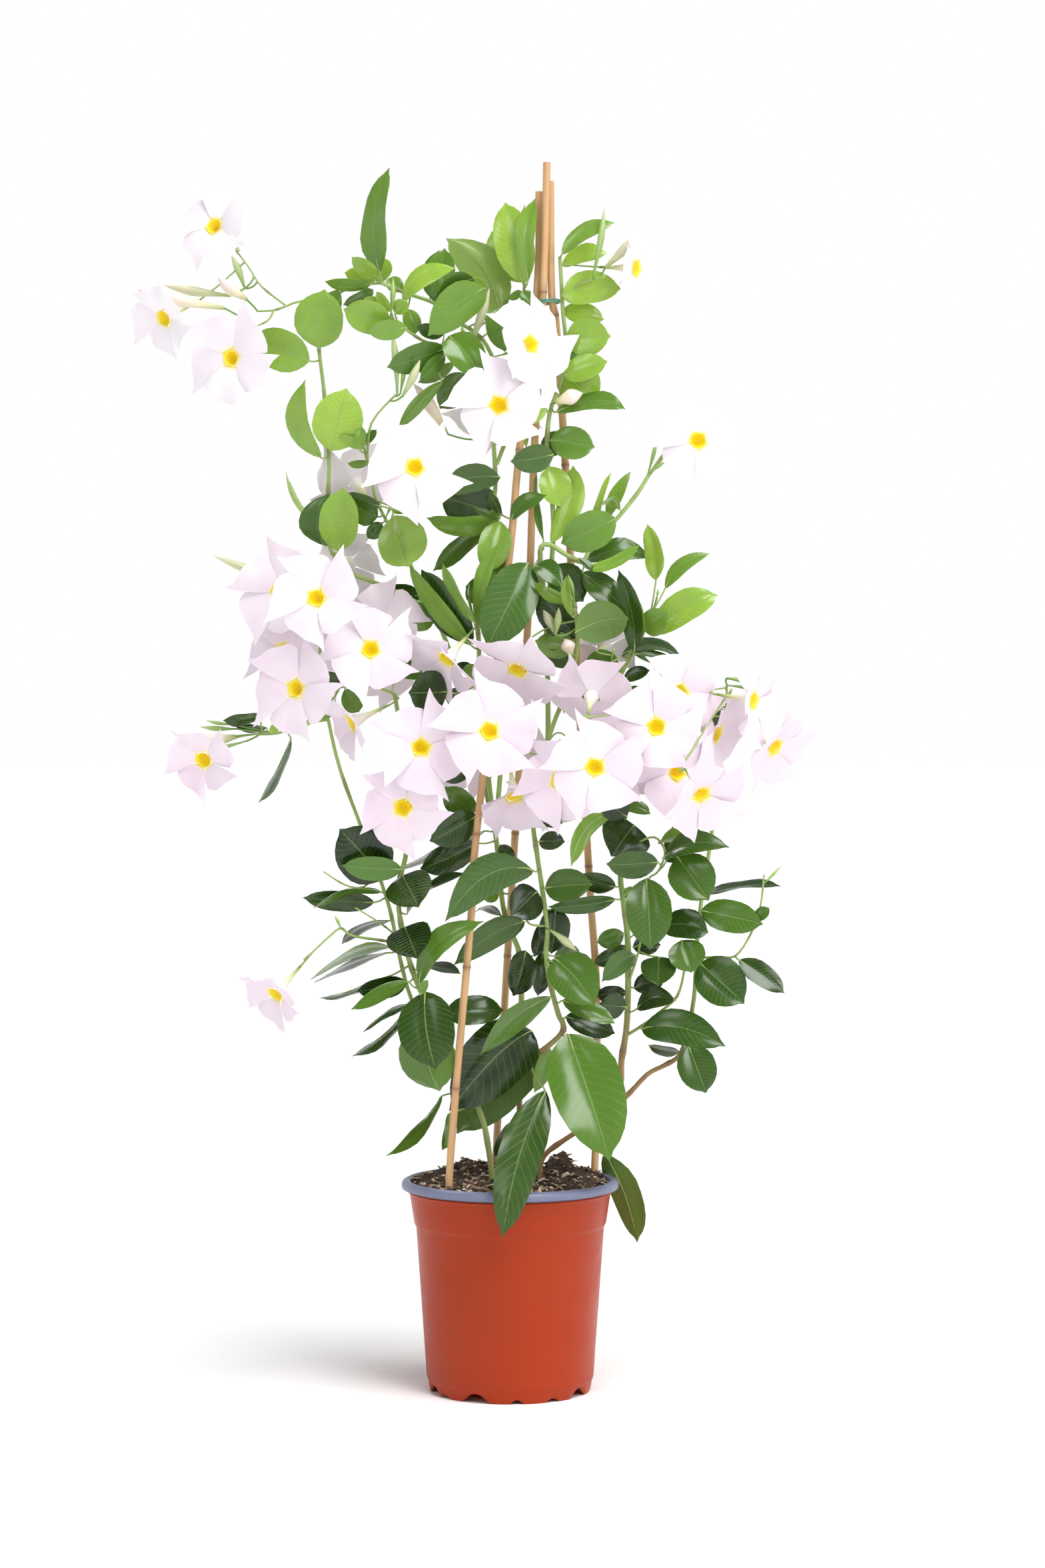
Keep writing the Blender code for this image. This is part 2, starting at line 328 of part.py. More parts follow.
        (-2.3, 106.8, -5.0, 108.2, 1.2, 30, -1, -1, 0.1),
        (-1.2, 104.6, -0.5, 100.5, 3.0, 12, -2.4, -1, 1.0),
        (-1.9, 104.4, -2.2, 103.3, 1.4, 20, -0.6, 0, 0.4),
        (-5.9, 102.0, -2.6, 97.8, 3.6, 15, -2.2, -1.5, 0.9, -4.4, 100.4),
        (-6.3, 100.8, -11.9, 99.0, 2.8, 15, -0.6, -1.4, 0.9),
        (-6.3, 100.2, -8.7, 97.9, 1.6, 20, -1.8, -1, 0.9),
        (-5.4, 99.4, -8.9, 97.5, 1.4, 30, 1.0, 0, 0.6),
        (-4.4, 98.4, -6.8, 95.0, 3.0, 10, 1.2, 0, 1.0),
        (-6.6, 97.6, -10.8, 93.0, 1.6, 35, 0.6, 0, 0.5, -9.0, 95.6),
        (-0.8, 84.9, -6.8, 86.6, 4.6, 8, 0.8, 1, 1.0),
        (-1.0, 88.4, -6.9, 87.0, 2.8, 15, -1.6, -1, 0.9, -4.0, 88.4),
        (-0.9, 84.7, -2.0, 87.1, 1.2, 40, -2.2, -0.5, 1.0),
        (-1.0, 84.6, -3.5, 85.5, 1.2, 50, -2.2, -1, 0.8),
        (-1.0, 84.4, -8.1, 84.5, 2.2, 25, -0.8, 0, 0.4, -4.6, 83.8),
        (-1.6, 84.0, -7.4, 79.3, 2.4, 40, -1.2, -1, 0.8, -5.0, 82.0),
        (-0.9, 84.1, -2.4, 79.2, 3.2, 10, -2.0, -1, 0.5),
        (0.1, 84.4, 3.5, 86.7, 1.8, 55, -3.2, -1, 0.8, 1.4, 85.8),
        (-0.2, 81.0, -2.6, 78.6, 1.4, 30, -2.6, 0, 0.7),
    ],
    "stem_mid_right": [
        (1.7, 80.1, -2.3, 71.9, 5.0, 8, -0.8, -1.5, 0.7, -0.2, 76.2),
        (2.3, 79.8, 5.1, 77.7, 2.2, 25, -1.2, -1, 0.8, 3.7, 79.3),
        (4.3, 79.9, 7.1, 76.4, 3.4, 10, 0.4, 0, 1.0),
        (10.2, 84.4, 4.9, 82.0, 3.8, 8, -0.6, 0.5, 0.6),
        (10.6, 85.3, 8.6, 85.6, 1.6, 60, -0.6, -0.5, 0.1, 9.8, 86.3),
        (9.4, 84.4, 11.6, 89.0, 1.6, 40, 2.4, 1, 0.0),
        (7.9, 83.0, 9.7, 88.9, 0.9, 40, -2.6, -0.5, 0.0),
        (7.5, 79.6, 12.5, 82.0, 2.0, 55, -1.6, -1, 0.2, 10.3, 80.0),
        (7.3, 80.3, 13.6, 80.7, 2.8, 68, 0.8, 0, 0.8, 10.5, 81.2),
        (6.7, 80.6, 8.0, 79.4, 1.0, 40, -1.4, -0.5, 0.9),
        (7.0, 79.2, 11.3, 75.6, 2.8, 20, 1.6, 0, 0.9),
        (4.0, 82.1, 6.0, 89.6, 2.6, 25, 3.6, 0.5, 0.3, 6.1, 86.0),
        (3.2, 82.4, 2.5, 88.9, 0.9, 50, 1.2, 0, 0.5),
    ],
    "stem_top_right": [
        (5.0, 109.9, 10.1, 113.0, 1.8, 30, -1.2, -0.5, 0.4, 7.2, 111.8),
        (5.0, 108.8, 9.4, 110.0, 2.0, 30, 0.8, -0.5, 0.4, 7.2, 109.9),
        (5.0, 105.9, 10.8, 106.6, 3.2, 8, -0.6, 0, 0.5, 7.6, 106.7),
        (5.1, 104.5, 9.1, 103.6, 2.2, 20, 0.8, 0, 0.5),
        (5.4, 101.8, 9.7, 102.0, 3.6, 5, -1.4, -1, 0.4),
        (5.3, 100.2, 8.2, 100.2, 1.8, 30, 0.9, 0, 0.8),
        (5.2, 98.2, 9.4, 99.6, 2.6, 20, -1.6, -1, 0.2),
        (5.0, 98.6, 8.5, 95.9, 4.2, 5, 0.6, 0, 0.4),
        (4.4, 94.7, 11.1, 95.05, 1.9, 25, -1.4, -1, 0.8, 8.4, 95.7),
        (3.9, 92.0, 8.2, 91.3, 3.2, 10, -0.6, -0.5, 0.7),
        (3.5, 90.4, 4.9, 92.9, 2.2, 15, -0.2, 0, 0.8),
        (4.2, 90.6, 0.05, 89.9, 2.8, 20, -1.8, -1, 0.9),
        (3.7, 89.4, 5.0, 85.5, 3.2, 15, 0.2, 0, 0.4),
        (3.5, 95.0, 1.4, 93.6, 1.1, 30, -1.6, -0.5, 0.4),
    ],
    "stem_top": [
        (1.4, 107.1, -0.5, 114.9, 3.8, 10, -0.8, 0, 0.1, 0.4, 111.2),
        (1.2, 107.2, -1.8, 112.1, 2.8, 20, 0.8, 0, 0.5, -0.6, 109.9),
        (1.7, 107.3, 2.4, 115.3, 2.0, 25, -1.6, 0, 0.1, 1.7, 111.6),
        (1.4, 107.0, 1.3, 114.7, 1.0, 40, 1.6, 0, 0.0),
        (1.1, 106.3, 2.4, 105.0, 1.4, 20, -2.6, -0.5, 0.9),
        (1.1, 106.3, -0.2, 105.6, 0.9, 30, -0.4, -0.5, 0.8),
        (0.4, 95.4, 1.6, 91.2, 1.4, 50, -2.2, -0.5, 0.3),
    ],
}

# Buds: base x, z; tip x, z; greatest radius; depth from the stem
BUDS = {
    "stem_left": [(-19.0, 65.1, -20.1, 64.4, 0.3, 1.6), (-6.9, 55.6, -7.6, 57.3, 0.2, -0.6)],
    "stem_left_outer": [(-26.6, 63.4, -30.7, 63.0, 0.6, 0), (-25.6, 62.9, -29.4, 62.1, 0.22, -0.6),
                        (-26.4, 64.1, -30.0, 64.3, 0.25, 0.6), (-26.8, 64.5, -29.4, 64.9, 0.18, 1.2),
                        (-18.8, 79.6, -20.7, 80.8, 0.2, -1), (-21.4, 78.4, -28.6, 80.8, 0.42, -1),
                        (-21.6, 78.6, -24.2, 80.6, 0.3, 0.4), (-16.4, 44.9, -17.0, 46.0, 0.16, 0)],
    "stem_center": [(-6.3, 67.3, -5.2, 65.9, 0.25, -0.8)],
    "stem_front": [(6.2, 76.4, 4.4, 78.7, 0.28, -0.6), (6.2, 76.6, 5.6, 79.0, 0.24, 0.4),
                   (4.6, 66.9, 4.8, 68.3, 0.16, -0.8), (5.3, 66.4, 5.2, 65.6, 0.16, -0.6),
                   (4.4, 73.2, 3.2, 75.6, 0.45, -0.2), (4.4, 73.2, 4.7, 75.8, 0.36, -0.8),
                   (5.9, 71.2, 5.3, 72.8, 0.7, -0.8), (3.9, 44.6, 6.4, 42.6, 0.4, -1.6)],
    "stem_right": [(9.8, 71.0, 10.1, 72.0, 0.14, -0.3), (14.2, 76.8, 14.3, 77.6, 0.12, -0.4)],
    "branch_right": [(21.0, 69.0, 24.6, 68.3, 0.35, -0.6), (21.0, 68.3, 23.8, 67.9, 0.18, 0.3),
                     (21.3, 65.9, 23.2, 64.3, 0.35, -0.8), (24.5, 49.0, 26.2, 50.8, 0.14, 0)],
    "stem_left_tall": [(-10.9, 96.6, -11.4, 102.4, 0.36, 0), (-10.6, 96.5, -10.2, 99.6, 0.22, 0.7),
                       (-10.4, 96.2, -8.7, 99.7, 0.42, -0.6), (-12.0, 84.6, -11.4, 86.0, 0.16, -0.8)],
    "stem_top_left": [(-6.1, 92.6, -9.3, 97.4, 0.62, -1.4), (-3.9, 101.1, -2.0, 106.6, 0.45, -1.0),
                      (-11.5, 104.1, -11.3, 107.6, 0.25, -1.0), (-4.4, 101.6, -4.7, 103.0, 0.2, -1.2),
                      (-25.4, 105.5, -28.2, 107.6, 0.62, -0.6), (-25.6, 106.6, -26.9, 109.8, 0.35, 0.4),
                      (-27.6, 104.7, -36.0, 106.5, 0.62, -0.6), (-26.4, 110.2, -26.8, 111.6, 0.16, 0),
                      (-27.0, 105.9, -33.4, 106.9, 0.45, 0.8)],
    "stem_mid_right": [(13.6, 88.9, 15.0, 89.9, 0.18, -0.6), (13.3, 88.7, 14.2, 92.4, 0.2, 0.6),
                       (14.9, 90.7, 15.8, 91.6, 0.16, 0)],
    "stem_top_right": [(8.0, 107.7, 9.1, 114.3, 0.32, 0.6), (4.4, 95.6, 7.0, 96.5, 0.75, -1.6),
                       (9.2, 108.6, 12.2, 111.8, 0.5, 0)],
}

# Blooms: stem it hangs from; throat x, z, depth; which way it faces in the front view (right, up), and 1
# toward the viewer or -1 away; radius; turn about its axis; flare of the petals in degrees (90 is flat)
BLOOMS = [
    ("stem_top_left", -28.7, 112.7, 0.0, -0.4, 0.3, 1, 4.1, 10, 84),
    ("stem_top_left", -27.1, 99.9, -4.5, -0.45, -0.05, 1, 4.6, 40, 82),
    ("stem_top_left", -1.1, 95.4, -7.0, 0.0, 0.0, 1, 4.5, 5, 88),
    ("stem_left_tall", -9.2, 89.4, -7.0, 0.06, 0.0, 1, 4.5, 25, 88),
    ("stem_top_left", 2.2, 101.3, -6.0, 0.62, 0.15, 1, 4.6, 50, 86),
    ("stem_mid_right", 18.2, 92.0, -4.0, 0.1, 0.05, 1, 4.3, 12, 88),
    ("stem_top_right", 12.4, 108.5, -3.0, 0.85, -0.1, 1, 3.9, 30, 76),
    ("stem_left_outer", -22.4, 77.4, -5.5, -0.38, 0.05, 1, 4.5, 0, 84),
    ("stem_left_outer", -18.8, 76.8, -7.5, -0.1, 0.1, 1, 4.4, 30, 86),
    ("stem_left_outer", -19.9, 73.6, -4.0, -0.35, -0.2, 1, 4.3, 60, 84),
    ("stem_left", -13.5, 71.8, -8.0, 0.05, 0.05, 1, 4.4, 15, 88),
    ("stem_left", -20.9, 68.0, -8.5, -0.45, 0.0, 1, 4.5, 45, 84),
    ("stem_left_outer", -29.8, 61.0, -4.0, -0.35, -0.35, 1, 3.5, 20, 74),
    ("stem_left", -8.6, 62.3, -8.0, 0.1, 0.0, 1, 4.5, 50, 88),
    ("stem_center", -2.0, 63.9, -10.0, 0.0, 0.1, 1, 4.9, 0, 88),
    ("stem_left", -10.4, 56.4, -6.0, 0.0, -0.2, 1, 4.2, 35, 82),
    ("stem_front", 4.8, 59.0, -7.5, -0.1, -0.15, 1, 4.2, 20, 84),
    ("stem_front", 8.2, 60.4, -10.0, 0.0, 0.0, 1, 4.6, 5, 86),
    ("stem_right", 11.2, 61.8, -6.5, -0.2, 0.1, 1, 4.2, 40, 84),
    ("stem_right", 14.2, 64.3, -8.6, 0.1, 0.05, 1, 4.4, 60, 87),
    ("branch_right", 16.6, 67.7, -5.4, 0.45, 0.25, 1, 4.3, 30, 84),
    ("branch_right", 16.3, 59.9, -7.6, 0.42, 0.0, 1, 4.4, 15, 84),
    ("stem_front", 0.6, 69.6, -6.0, -0.3, -0.7, 1, 4.6, 25, 80),
    ("stem_center", -6.3, 70.7, -6.5, -0.55, -0.62, 1, 3.9, 10, 62),
    ("stem_left", -15.6, 64.6, -5.5, -0.84, -0.4, 1, 3.4, 40, 66),
    ("stem_front", 0.4, 57.4, -6.0, 0.1, -0.8, 1, 4.0, 0, 56),
    ("stem_left_outer", -22.9, 38.2, -6.0, -0.55, -0.62, 1, 3.3, 20, 70),
    ("stem_right", 7.9, 67.4, -2.6, 0.1, 0.45, -1, 4.0, 30, 74),
    ("stem_left_tall", -15.0, 88.0, 1.0, -0.4, 0.5, -1, 4.2, 10, 80),
    ("stem_left_outer", -15.6, 80.0, 2.2, 0.1, -0.1, -1, 3.2, 20, 84),
    ("branch_right", 20.3, 63.5, -4.6, 0.84, -0.3, 1, 4.2, 40, 76),
    ("branch_right", 25.8, 62.2, -3.0, 0.6, -0.5, 1, 3.9, 0, 74),
    ("stem_top_left", -33.6, 103.6, -2.0, -0.6, -0.4, 1, 3.6, 30, 76),
    ("branch_right", 18.6, 57.6, -5.6, 0.35, -0.6, 1, 4.2, 25, 72),
    ("branch_right", 23.8, 66.8, -3.0, 0.84, -0.15, 1, 4.0, 50, 78),
    ("stem_left", -12.2, 74.6, -4.0, 0.2, 0.1, -1, 4.0, 5, 84),
    ("stem_left_outer", -22.2, 71.6, -3.6, -0.5, 0.1, 1, 4.2, 35, 84),
    ("stem_right", 9.2, 72.0, 1.2, 0.2, 0.1, -1, 3.2, 45, 80),
]

# Leaves and blooms that fill the back, where the front of the plant hides them
BACK_LEAVES = 10
BACK_SEED = 7
BACK_BLOOMS = [
    ("stem_center", -4.6, 62.0, 9.0, 0.2, 0.0, -1, 4.4, 10, 86),
    ("stem_front", 4.6, 59.0, 9.5, 0.1, 0.1, -1, 4.4, 40, 86),
    ("stem_left", -12.4, 70.8, 7.0, -0.3, 0.1, -1, 4.3, 20, 84),
    ("stem_right", 12.6, 61.4, 8.0, 0.3, 0.1, -1, 4.4, 0, 86),
    ("stem_top_left", -1.6, 95.4, 8.0, 0.0, 0.1, -1, 4.3, 30, 86),
]


def ball(columns, rows):
    """A closed ball whose points are then moved: rows of columns between two poles."""
    bm = bmesh.new()
    bmesh.ops.create_uvsphere(bm, u_segments=columns, v_segments=rows, radius=1.0)
    bm.verts.ensure_lookup_table()
    return bm


def row_and_angle(point, rows):
    """Which row of the ball a point is in, counted from the upper pole, and its angle around."""
    height = max(-1.0, min(1.0, point.z))
    row = round(math.acos(height) / math.pi * rows)
    return row, math.atan2(point.y, point.x)


def curve_through(start, middle, end, share):
    """A point on the smooth curve that passes through the middle at half way."""
    control = middle * 2.0 - (start + end) * 0.5
    return start * (1 - share) ** 2 + control * 2 * share * (1 - share) + end * share ** 2


def outward(bm):
    """All faces of a closed body turned to its outside."""
    if bm.calc_volume(signed=True) < 0:
        bmesh.ops.reverse_faces(bm, faces=bm.faces)


def frame_of(leaf, base, tip):
    """The leaf's side direction and its face direction."""
    along = (tip - base).normalized()
    sight = (EYE - base).normalized()
    side = along.cross(sight).normalized()
    face = side.cross(along).normalized()
    turn = math.radians(leaf[5])
    side_turned = side * math.cos(turn) + face * math.sin(turn)
    return side_turned, side_turned.cross(along).normalized()


def leaf_rows(leaf, start, base, middle, tip, pad):
    """Rows of a leaf from its stalk to its tip: centre, direction, half width, half thickness, lift."""
    width = leaf[4] / 2
    length = (tip - base).length
    thick = (0.8 + 0.4 * leaf[8]) * LEAF_THICKNESS / 2 + pad
    stalk = PETIOLE_HALF_WIDTH + pad if length > 3 else PETIOLE_HALF_WIDTH * 0.8 + pad
    along = (tip - base).normalized()
    leave = base - start
    rows = []
    if leave.length > SHORT_STALK:
        leave.normalize()
        rows.append((start, leave, stalk, stalk, 0.0))
        rows.append((base, (leave + along * 1.1).normalized(), stalk, stalk * 0.8, 0.0))
    else:
        rows.append((start, (tip - start).normalized(), stalk, stalk, 0.0))
    long_leaf = length > LONG_LEAF
    shares = [(0.2, 0.76), (0.5, 1.0), (0.8, 0.56)] if long_leaf else [(0.3, 0.93), (0.7, 0.78)]
    fold = 0.16 if long_leaf else 0.06
    for share, part in shares:
        centre = curve_through(base, middle, tip, share)
        rows.append((centre, along, width * part + pad, thick, width * part * fold))
    return rows


# Section of a short leaf: its two edges and the keel of its rib, as shares of the half width and thickness
KEEL_SECTION = [(1.0, 0.4), (-1.0, 0.4), (0.0, -1.5)]


def leaf_mesh(leaf, start, base, middle, tip, pad=0.0):
    """One leaf with its stalk: a folded blade, thick at the rib and thin at its edge."""
    side, face = frame_of(leaf, base, tip)
    blade = (tip - base).normalized()
    rows = leaf_rows(leaf, start, base, middle, tip, pad)
    last = len(rows) + 1
    sides = 4 if (tip - base).length > LONG_LEAF else 3
    bm = ball(sides, last)
    for vert in bm.verts:
        row, angle = row_and_angle(vert.co, last)
        around, up = KEEL_SECTION[round(angle / math.tau * 3) % 3] if sides == 3 else (math.cos(angle), math.sin(angle))
        if row == 0:
            vert.co = start - rows[0][1] * 0.04
            continue
        if row == last:
            vert.co = tip + (tip - base).normalized() * pad
            continue
        centre, along, half_width, half_thick, lift = rows[row - 1]
        swing = blade.rotation_difference(along)
        across, normal = swing @ side, swing @ face
        vert.co = centre + across * (half_width * around) + normal * (half_thick * up + lift * abs(around))
    outward(bm)
    return bm


def tube_mesh(points, radii, sides=5, pad=0.0):
    """A closed tube along points, with a radius at each; its ends are flat."""
    count = len(points)
    bm = ball(sides, count + 1)
    along = [points[min(i + 1, count - 1)] - points[max(i - 1, 0)] for i in range(count)]
    along = [step.normalized() for step in along]
    across = along[0].orthogonal().normalized()
    frames = []
    for step in along:
        across = (across - step * across.dot(step)).normalized()
        frames.append((across, step.cross(across)))
    for vert in bm.verts:
        row, angle = row_and_angle(vert.co, count + 1)
        if row == 0 or row == count + 1:
            end = 0 if row == 0 else count - 1
            vert.co = points[end] + along[end] * (-pad if end == 0 else pad)
            continue
        first, second = frames[row - 1]
        radius = radii[row - 1] + pad
        vert.co = points[row - 1] + (first * math.cos(angle) + second * math.sin(angle)) * radius
    outward(bm)
    return bm


# Edge of each petal from its notch: angle, share of the bloom's radius, rise along the axis
PETAL_EDGE = [(0.0, 0.6, 0.0), (22.0, 0.97, 0.16), (47.0, 1.0, -0.05)]
# Section of a bloom from its foot: distance along the axis, radius. The row of the petals' edge is None
BLOOM_SECTION = [(0.0, 0.14), (3.55, 0.66), None, (BLOOM_TUBE, 0.72)]


def bloom_axis(bloom):
    right, up, toward = bloom[4], bloom[5], bloom[6]
    depth = math.sqrt(max(0.0, 1.0 - right * right - up * up))
    return Vector((right, -toward * depth, up)).normalized()


def petal_place(bloom, turn_degrees, share, rise, pad):
    """A point of a petal's edge: its distance along the axis and from it."""
    petal = int(turn_degrees // 72)
    flare = math.radians(bloom[9] - 9.0 * math.sin(2.0 * petal + bloom[8]))
    length = share * bloom[7] - THROAT_RADIUS + pad
    return BLOOM_TUBE - 0.1 + length * math.cos(flare) + rise, THROAT_RADIUS + length * math.sin(flare)


def bloom_mesh(bloom, throat, pad=0.0):
    """One bloom: a slender tube that opens to a funnel, and five lopsided petals with a thin edge."""
    axis = bloom_axis(bloom)
    first = axis.cross(Vector((0, 0, 1))).normalized()
    second = axis.cross(first)
    foot = throat - axis * BLOOM_TUBE
    bm = ball(5, 5)
    rows = [(vert, *row_and_angle(vert.co, 5)) for vert in bm.verts]
    edge_row = {vert for vert, row, angle in rows if row == 3}

    def put(vert, degrees, along, out):
        turn = math.radians(degrees + bloom[8])
        vert.co = foot + axis * along + (first * math.cos(turn) + second * math.sin(turn)) * out

    degrees_of = {}
    for vert, row, angle in rows:
        degrees = round(math.degrees(angle) / 72) % 5 * 72.0
        if row == 0:
            vert.co = foot - axis * pad
        elif row == 5:
            vert.co = foot + axis * (BLOOM_TUBE - 1.2 - pad)
        elif row == 3:
            degrees_of[vert] = degrees
            put(vert, degrees, *petal_place(bloom, degrees, *PETAL_EDGE[0][1:], pad))
        else:
            along, out = BLOOM_SECTION[row - 1]
            middle = degrees + 36.0 if row < 3 else degrees
            put(vert, middle, along + (pad if row == 4 else 0.0), out + (pad if row < 3 else -pad))
    rim = [edge for edge in bm.edges if edge.verts[0] in edge_row and edge.verts[1] in edge_row]
    for edge in rim:
        low, high = sorted(edge.verts, key=lambda vert: degrees_of[vert])
        if degrees_of[high] - degrees_of[low] > 72.5:
            low = high
        start = degrees_of[low]
        anchor = edge.other_vert(low)
        for degrees, share, rise in PETAL_EDGE[:0:-1]:
            between = next(e for e in low.link_edges if e.other_vert(low) is anchor)
            new = bmesh.utils.edge_split(between, low, 0.5)[1]
            degrees_of[new] = start + degrees
            put(new, start + degrees, *petal_place(bloom, start + degrees, share, rise, pad))
            anchor = new
    for face in [face for face in bm.faces if len(face.verts) == 6]:
        corners = list(face.verts)
        turn = next(i for i in range(6) if corners[i] not in degrees_of and corners[i - 5] not in degrees_of)
        corners = corners[turn:] + corners[:turn]
        for a, b in ((0, 4), (1, 3), (0, 3)):
            other = bmesh.utils.face_split(face, corners[a], corners[b])[0]
            face = max(face, other, key=lambda side: len(side.verts))
    outward(bm)
    return bm


def tree_of(bm):
    return BVHTree.FromBMesh(bm)


def box_of(bm):
    low = Vector((min(v.co[i] for v in bm.verts) for i in range(3)))
    high = Vector((max(v.co[i] for v in bm.verts) for i in range(3)))
    return low, high


def folded(bm):
    """Whether a piece passes through itself."""
    flat_faces = bm.copy()
    bmesh.ops.triangulate(flat_faces, faces=flat_faces.faces)
    flat_faces.faces.ensure_lookup_table()
    tree = BVHTree.FromBMesh(flat_faces)
    found = False
    for i, j in tree.overlap(tree):
        first, second = flat_faces.faces[i], flat_faces.faces[j]
        if i < j and not set(first.verts) & set(second.verts):
            found = True
            break
    flat_faces.free()
    return found


class Placed:
    """A piece in its place, for the test of what it would cross."""

    def __init__(self, node, kind, bm):
        self.node = node
        self.kind = kind
        self.bm = bm
        self.tree = tree_of(bm)
        self.low, self.high = box_of(bm)


placed = []


def crosses(bm, node, kind, joins=("stem", "stalk")):
    """Whether a padded piece crosses anything in its place. It may join the named kinds of its own node."""
    low, high = box_of(bm)
    tree = tree_of(bm)
    for other in placed:
        if node == other.node and other.kind in joins:
            continue
        if any(low[i] > other.high[i] or high[i] < other.low[i] for i in range(3)):
            continue
        if tree.overlap(other.tree):
            return True
    return False


def settle_steps(reach, step):
    """0, then one step forward, one back, two forward and so on."""
    yield 0.0
    for i in range(1, reach + 1):
        yield -step * i
        yield step * i


def run_points(run):
    return [seen(*place) for place in run]


stem_samples = {}


def note_samples(node, points):
    """Points every 3 mm or so along a stem, where leaves and stalks may join it."""
    found = stem_samples.setdefault(node, [])
    for a, b in zip(points, points[1:]):
        count = max(2, int((b - a).length / 0.3))
        found.extend(a + (b - a) * (i / count) for i in range(count + 1))


def flat(point):
    """Where the front view sees a point: x and z on the upright plane through the pot's axis."""
    share = -EYE.y / (point.y - EYE.y)
    return EYE.x + (point.x - EYE.x) * share, EYE.z + (point.z - EYE.z) * share


used_joints = []


def joint_for(node, x, z):
    """The point of a stem that the front view sees nearest to (x, z), beside those already taken."""
    def far(point):
        px, pz = flat(point)
        crowd = sum(0.5 - (point - other).length for other in used_joints if (point - other).length < 0.5)
        return math.hypot(px - x, pz - z) + 1.6 * crowd
    return min(stem_samples[node], key=far)


def joint_near(node, place):
    """The point of a stem nearest to a place, beside those already taken."""
    def far(point):
        crowd = sum(0.5 - (point - other).length for other in used_joints if (point - other).length < 0.5)
        return (point - place).length + 1.6 * crowd
    return min(stem_samples[node], key=far)


pieces = {name: [] for name in STEMS}
missed = []
fused = []


# Stems that fork from another: they start a hair's breadth clear of it
FORKS = {"stem_left_outer": "stem_left", "stem_front": "stem_center", "stem_right": "branch_right",
         "stem_left_tall": "stem_center", "stem_top_left": "stem_center", "stem_mid_right": "stem_front",
         "stem_top_right": "stem_mid_right", "stem_top": "stem_top_left"}


def fork_chain(name):
    """The stems from a stem down to its root."""
    chain = [name]
    while chain[-1] in FORKS:
        chain.append(FORKS[chain[-1]])
    return chain


def forked(node, radius, points):
    """A forking stem's points, with its first one moved up to the trunk until the two nearly touch."""
    trunk = joint_near(FORKS[node], points[0])
    best = points
    for step in range(1, 100):
        tried = [points[0].lerp(trunk, step / 100)] + points[1:]
        taper = [radius * (1.0 - 0.3 * i / (len(tried) - 1)) for i in range(len(tried))]
        if crosses(tube_mesh(tried, taper, 5, GAP * 0.85), node, "stem"):
            break
        best = tried
    return best


def place_stems():
    order = sorted(STEMS, key=lambda name: len(fork_chain(name)))
    for node in order:
        for number, (radius, run) in enumerate(STEMS[node]):
            points = run_points(run)
            if number == 0 and node in FORKS:
                points = forked(node, radius, points)
            note_samples(node, points)
            taper = [radius * (1.0 - 0.3 * i / (len(points) - 1)) for i in range(len(points))]
            bm = tube_mesh(points, taper, 5)
            pieces[node].append(bm)
            placed.append(Placed(node, "stem", bm))


bloom_meshes = []


def stalk_ways(foot, axis, node):
    """Points of stalks that could carry a bloom: they leave along its tube and curve to the stem."""
    side = axis.cross(Vector((0, 0, 1))).normalized()
    up = side.cross(axis)
    near = joint_near(node, foot - axis * 2.0)
    for joint in (near, joint_near(node, near - Vector((0, 0, 3))), joint_near(node, near + Vector((0, 0, 3)))):
        for away in (0.0, 2.5, 5.0):
            for turn in range(0, 360, 60):
                swing = side * math.cos(math.radians(turn)) + up * math.sin(math.radians(turn))
                for bend in (1.6, 3.6):
                    middle = (foot - axis * bend) * 0.6 + joint * 0.4 + swing * away
                    leave = foot - axis * 0.5
                    yield [foot, leave, curve_through(leave, middle, joint, 0.5), joint]
                if away == 0.0:
                    break


def place_bloom(index, bloom):
    """A bloom in its place with the stalk that carries it, or moved in depth until both are clear."""
    name = f"bloom_{index:02d}"
    node = bloom[0]
    axis = bloom_axis(bloom)
    radii = [0.17, 0.13, STALK_RADIUS, STALK_RADIUS]
    for shift in settle_steps(9, 0.8):
        throat = seen(bloom[1], bloom[2], bloom[3] + shift)
        if crosses(bloom_mesh(bloom, throat, GAP), name, "bloom"):
            continue
        bm = bloom_mesh(bloom, throat)
        placed.append(Placed(name, "bloom", bm))
        for points in stalk_ways(throat - axis * (BLOOM_TUBE + GAP), axis, node):
            if crosses(tube_mesh(points, radii, 3, GAP * 0.9), node, "stalk"):
                continue
            stalk = tube_mesh(points, radii, 3)
            if folded(stalk):
                continue
            used_joints.append(points[-1])
            pieces[node].append(stalk)
            placed.append(Placed(node, "stalk", stalk))
            bloom_meshes.append((name, bm))
            return True
        placed.pop()
    missed.append((name, bloom[1], bloom[2]))
    return False


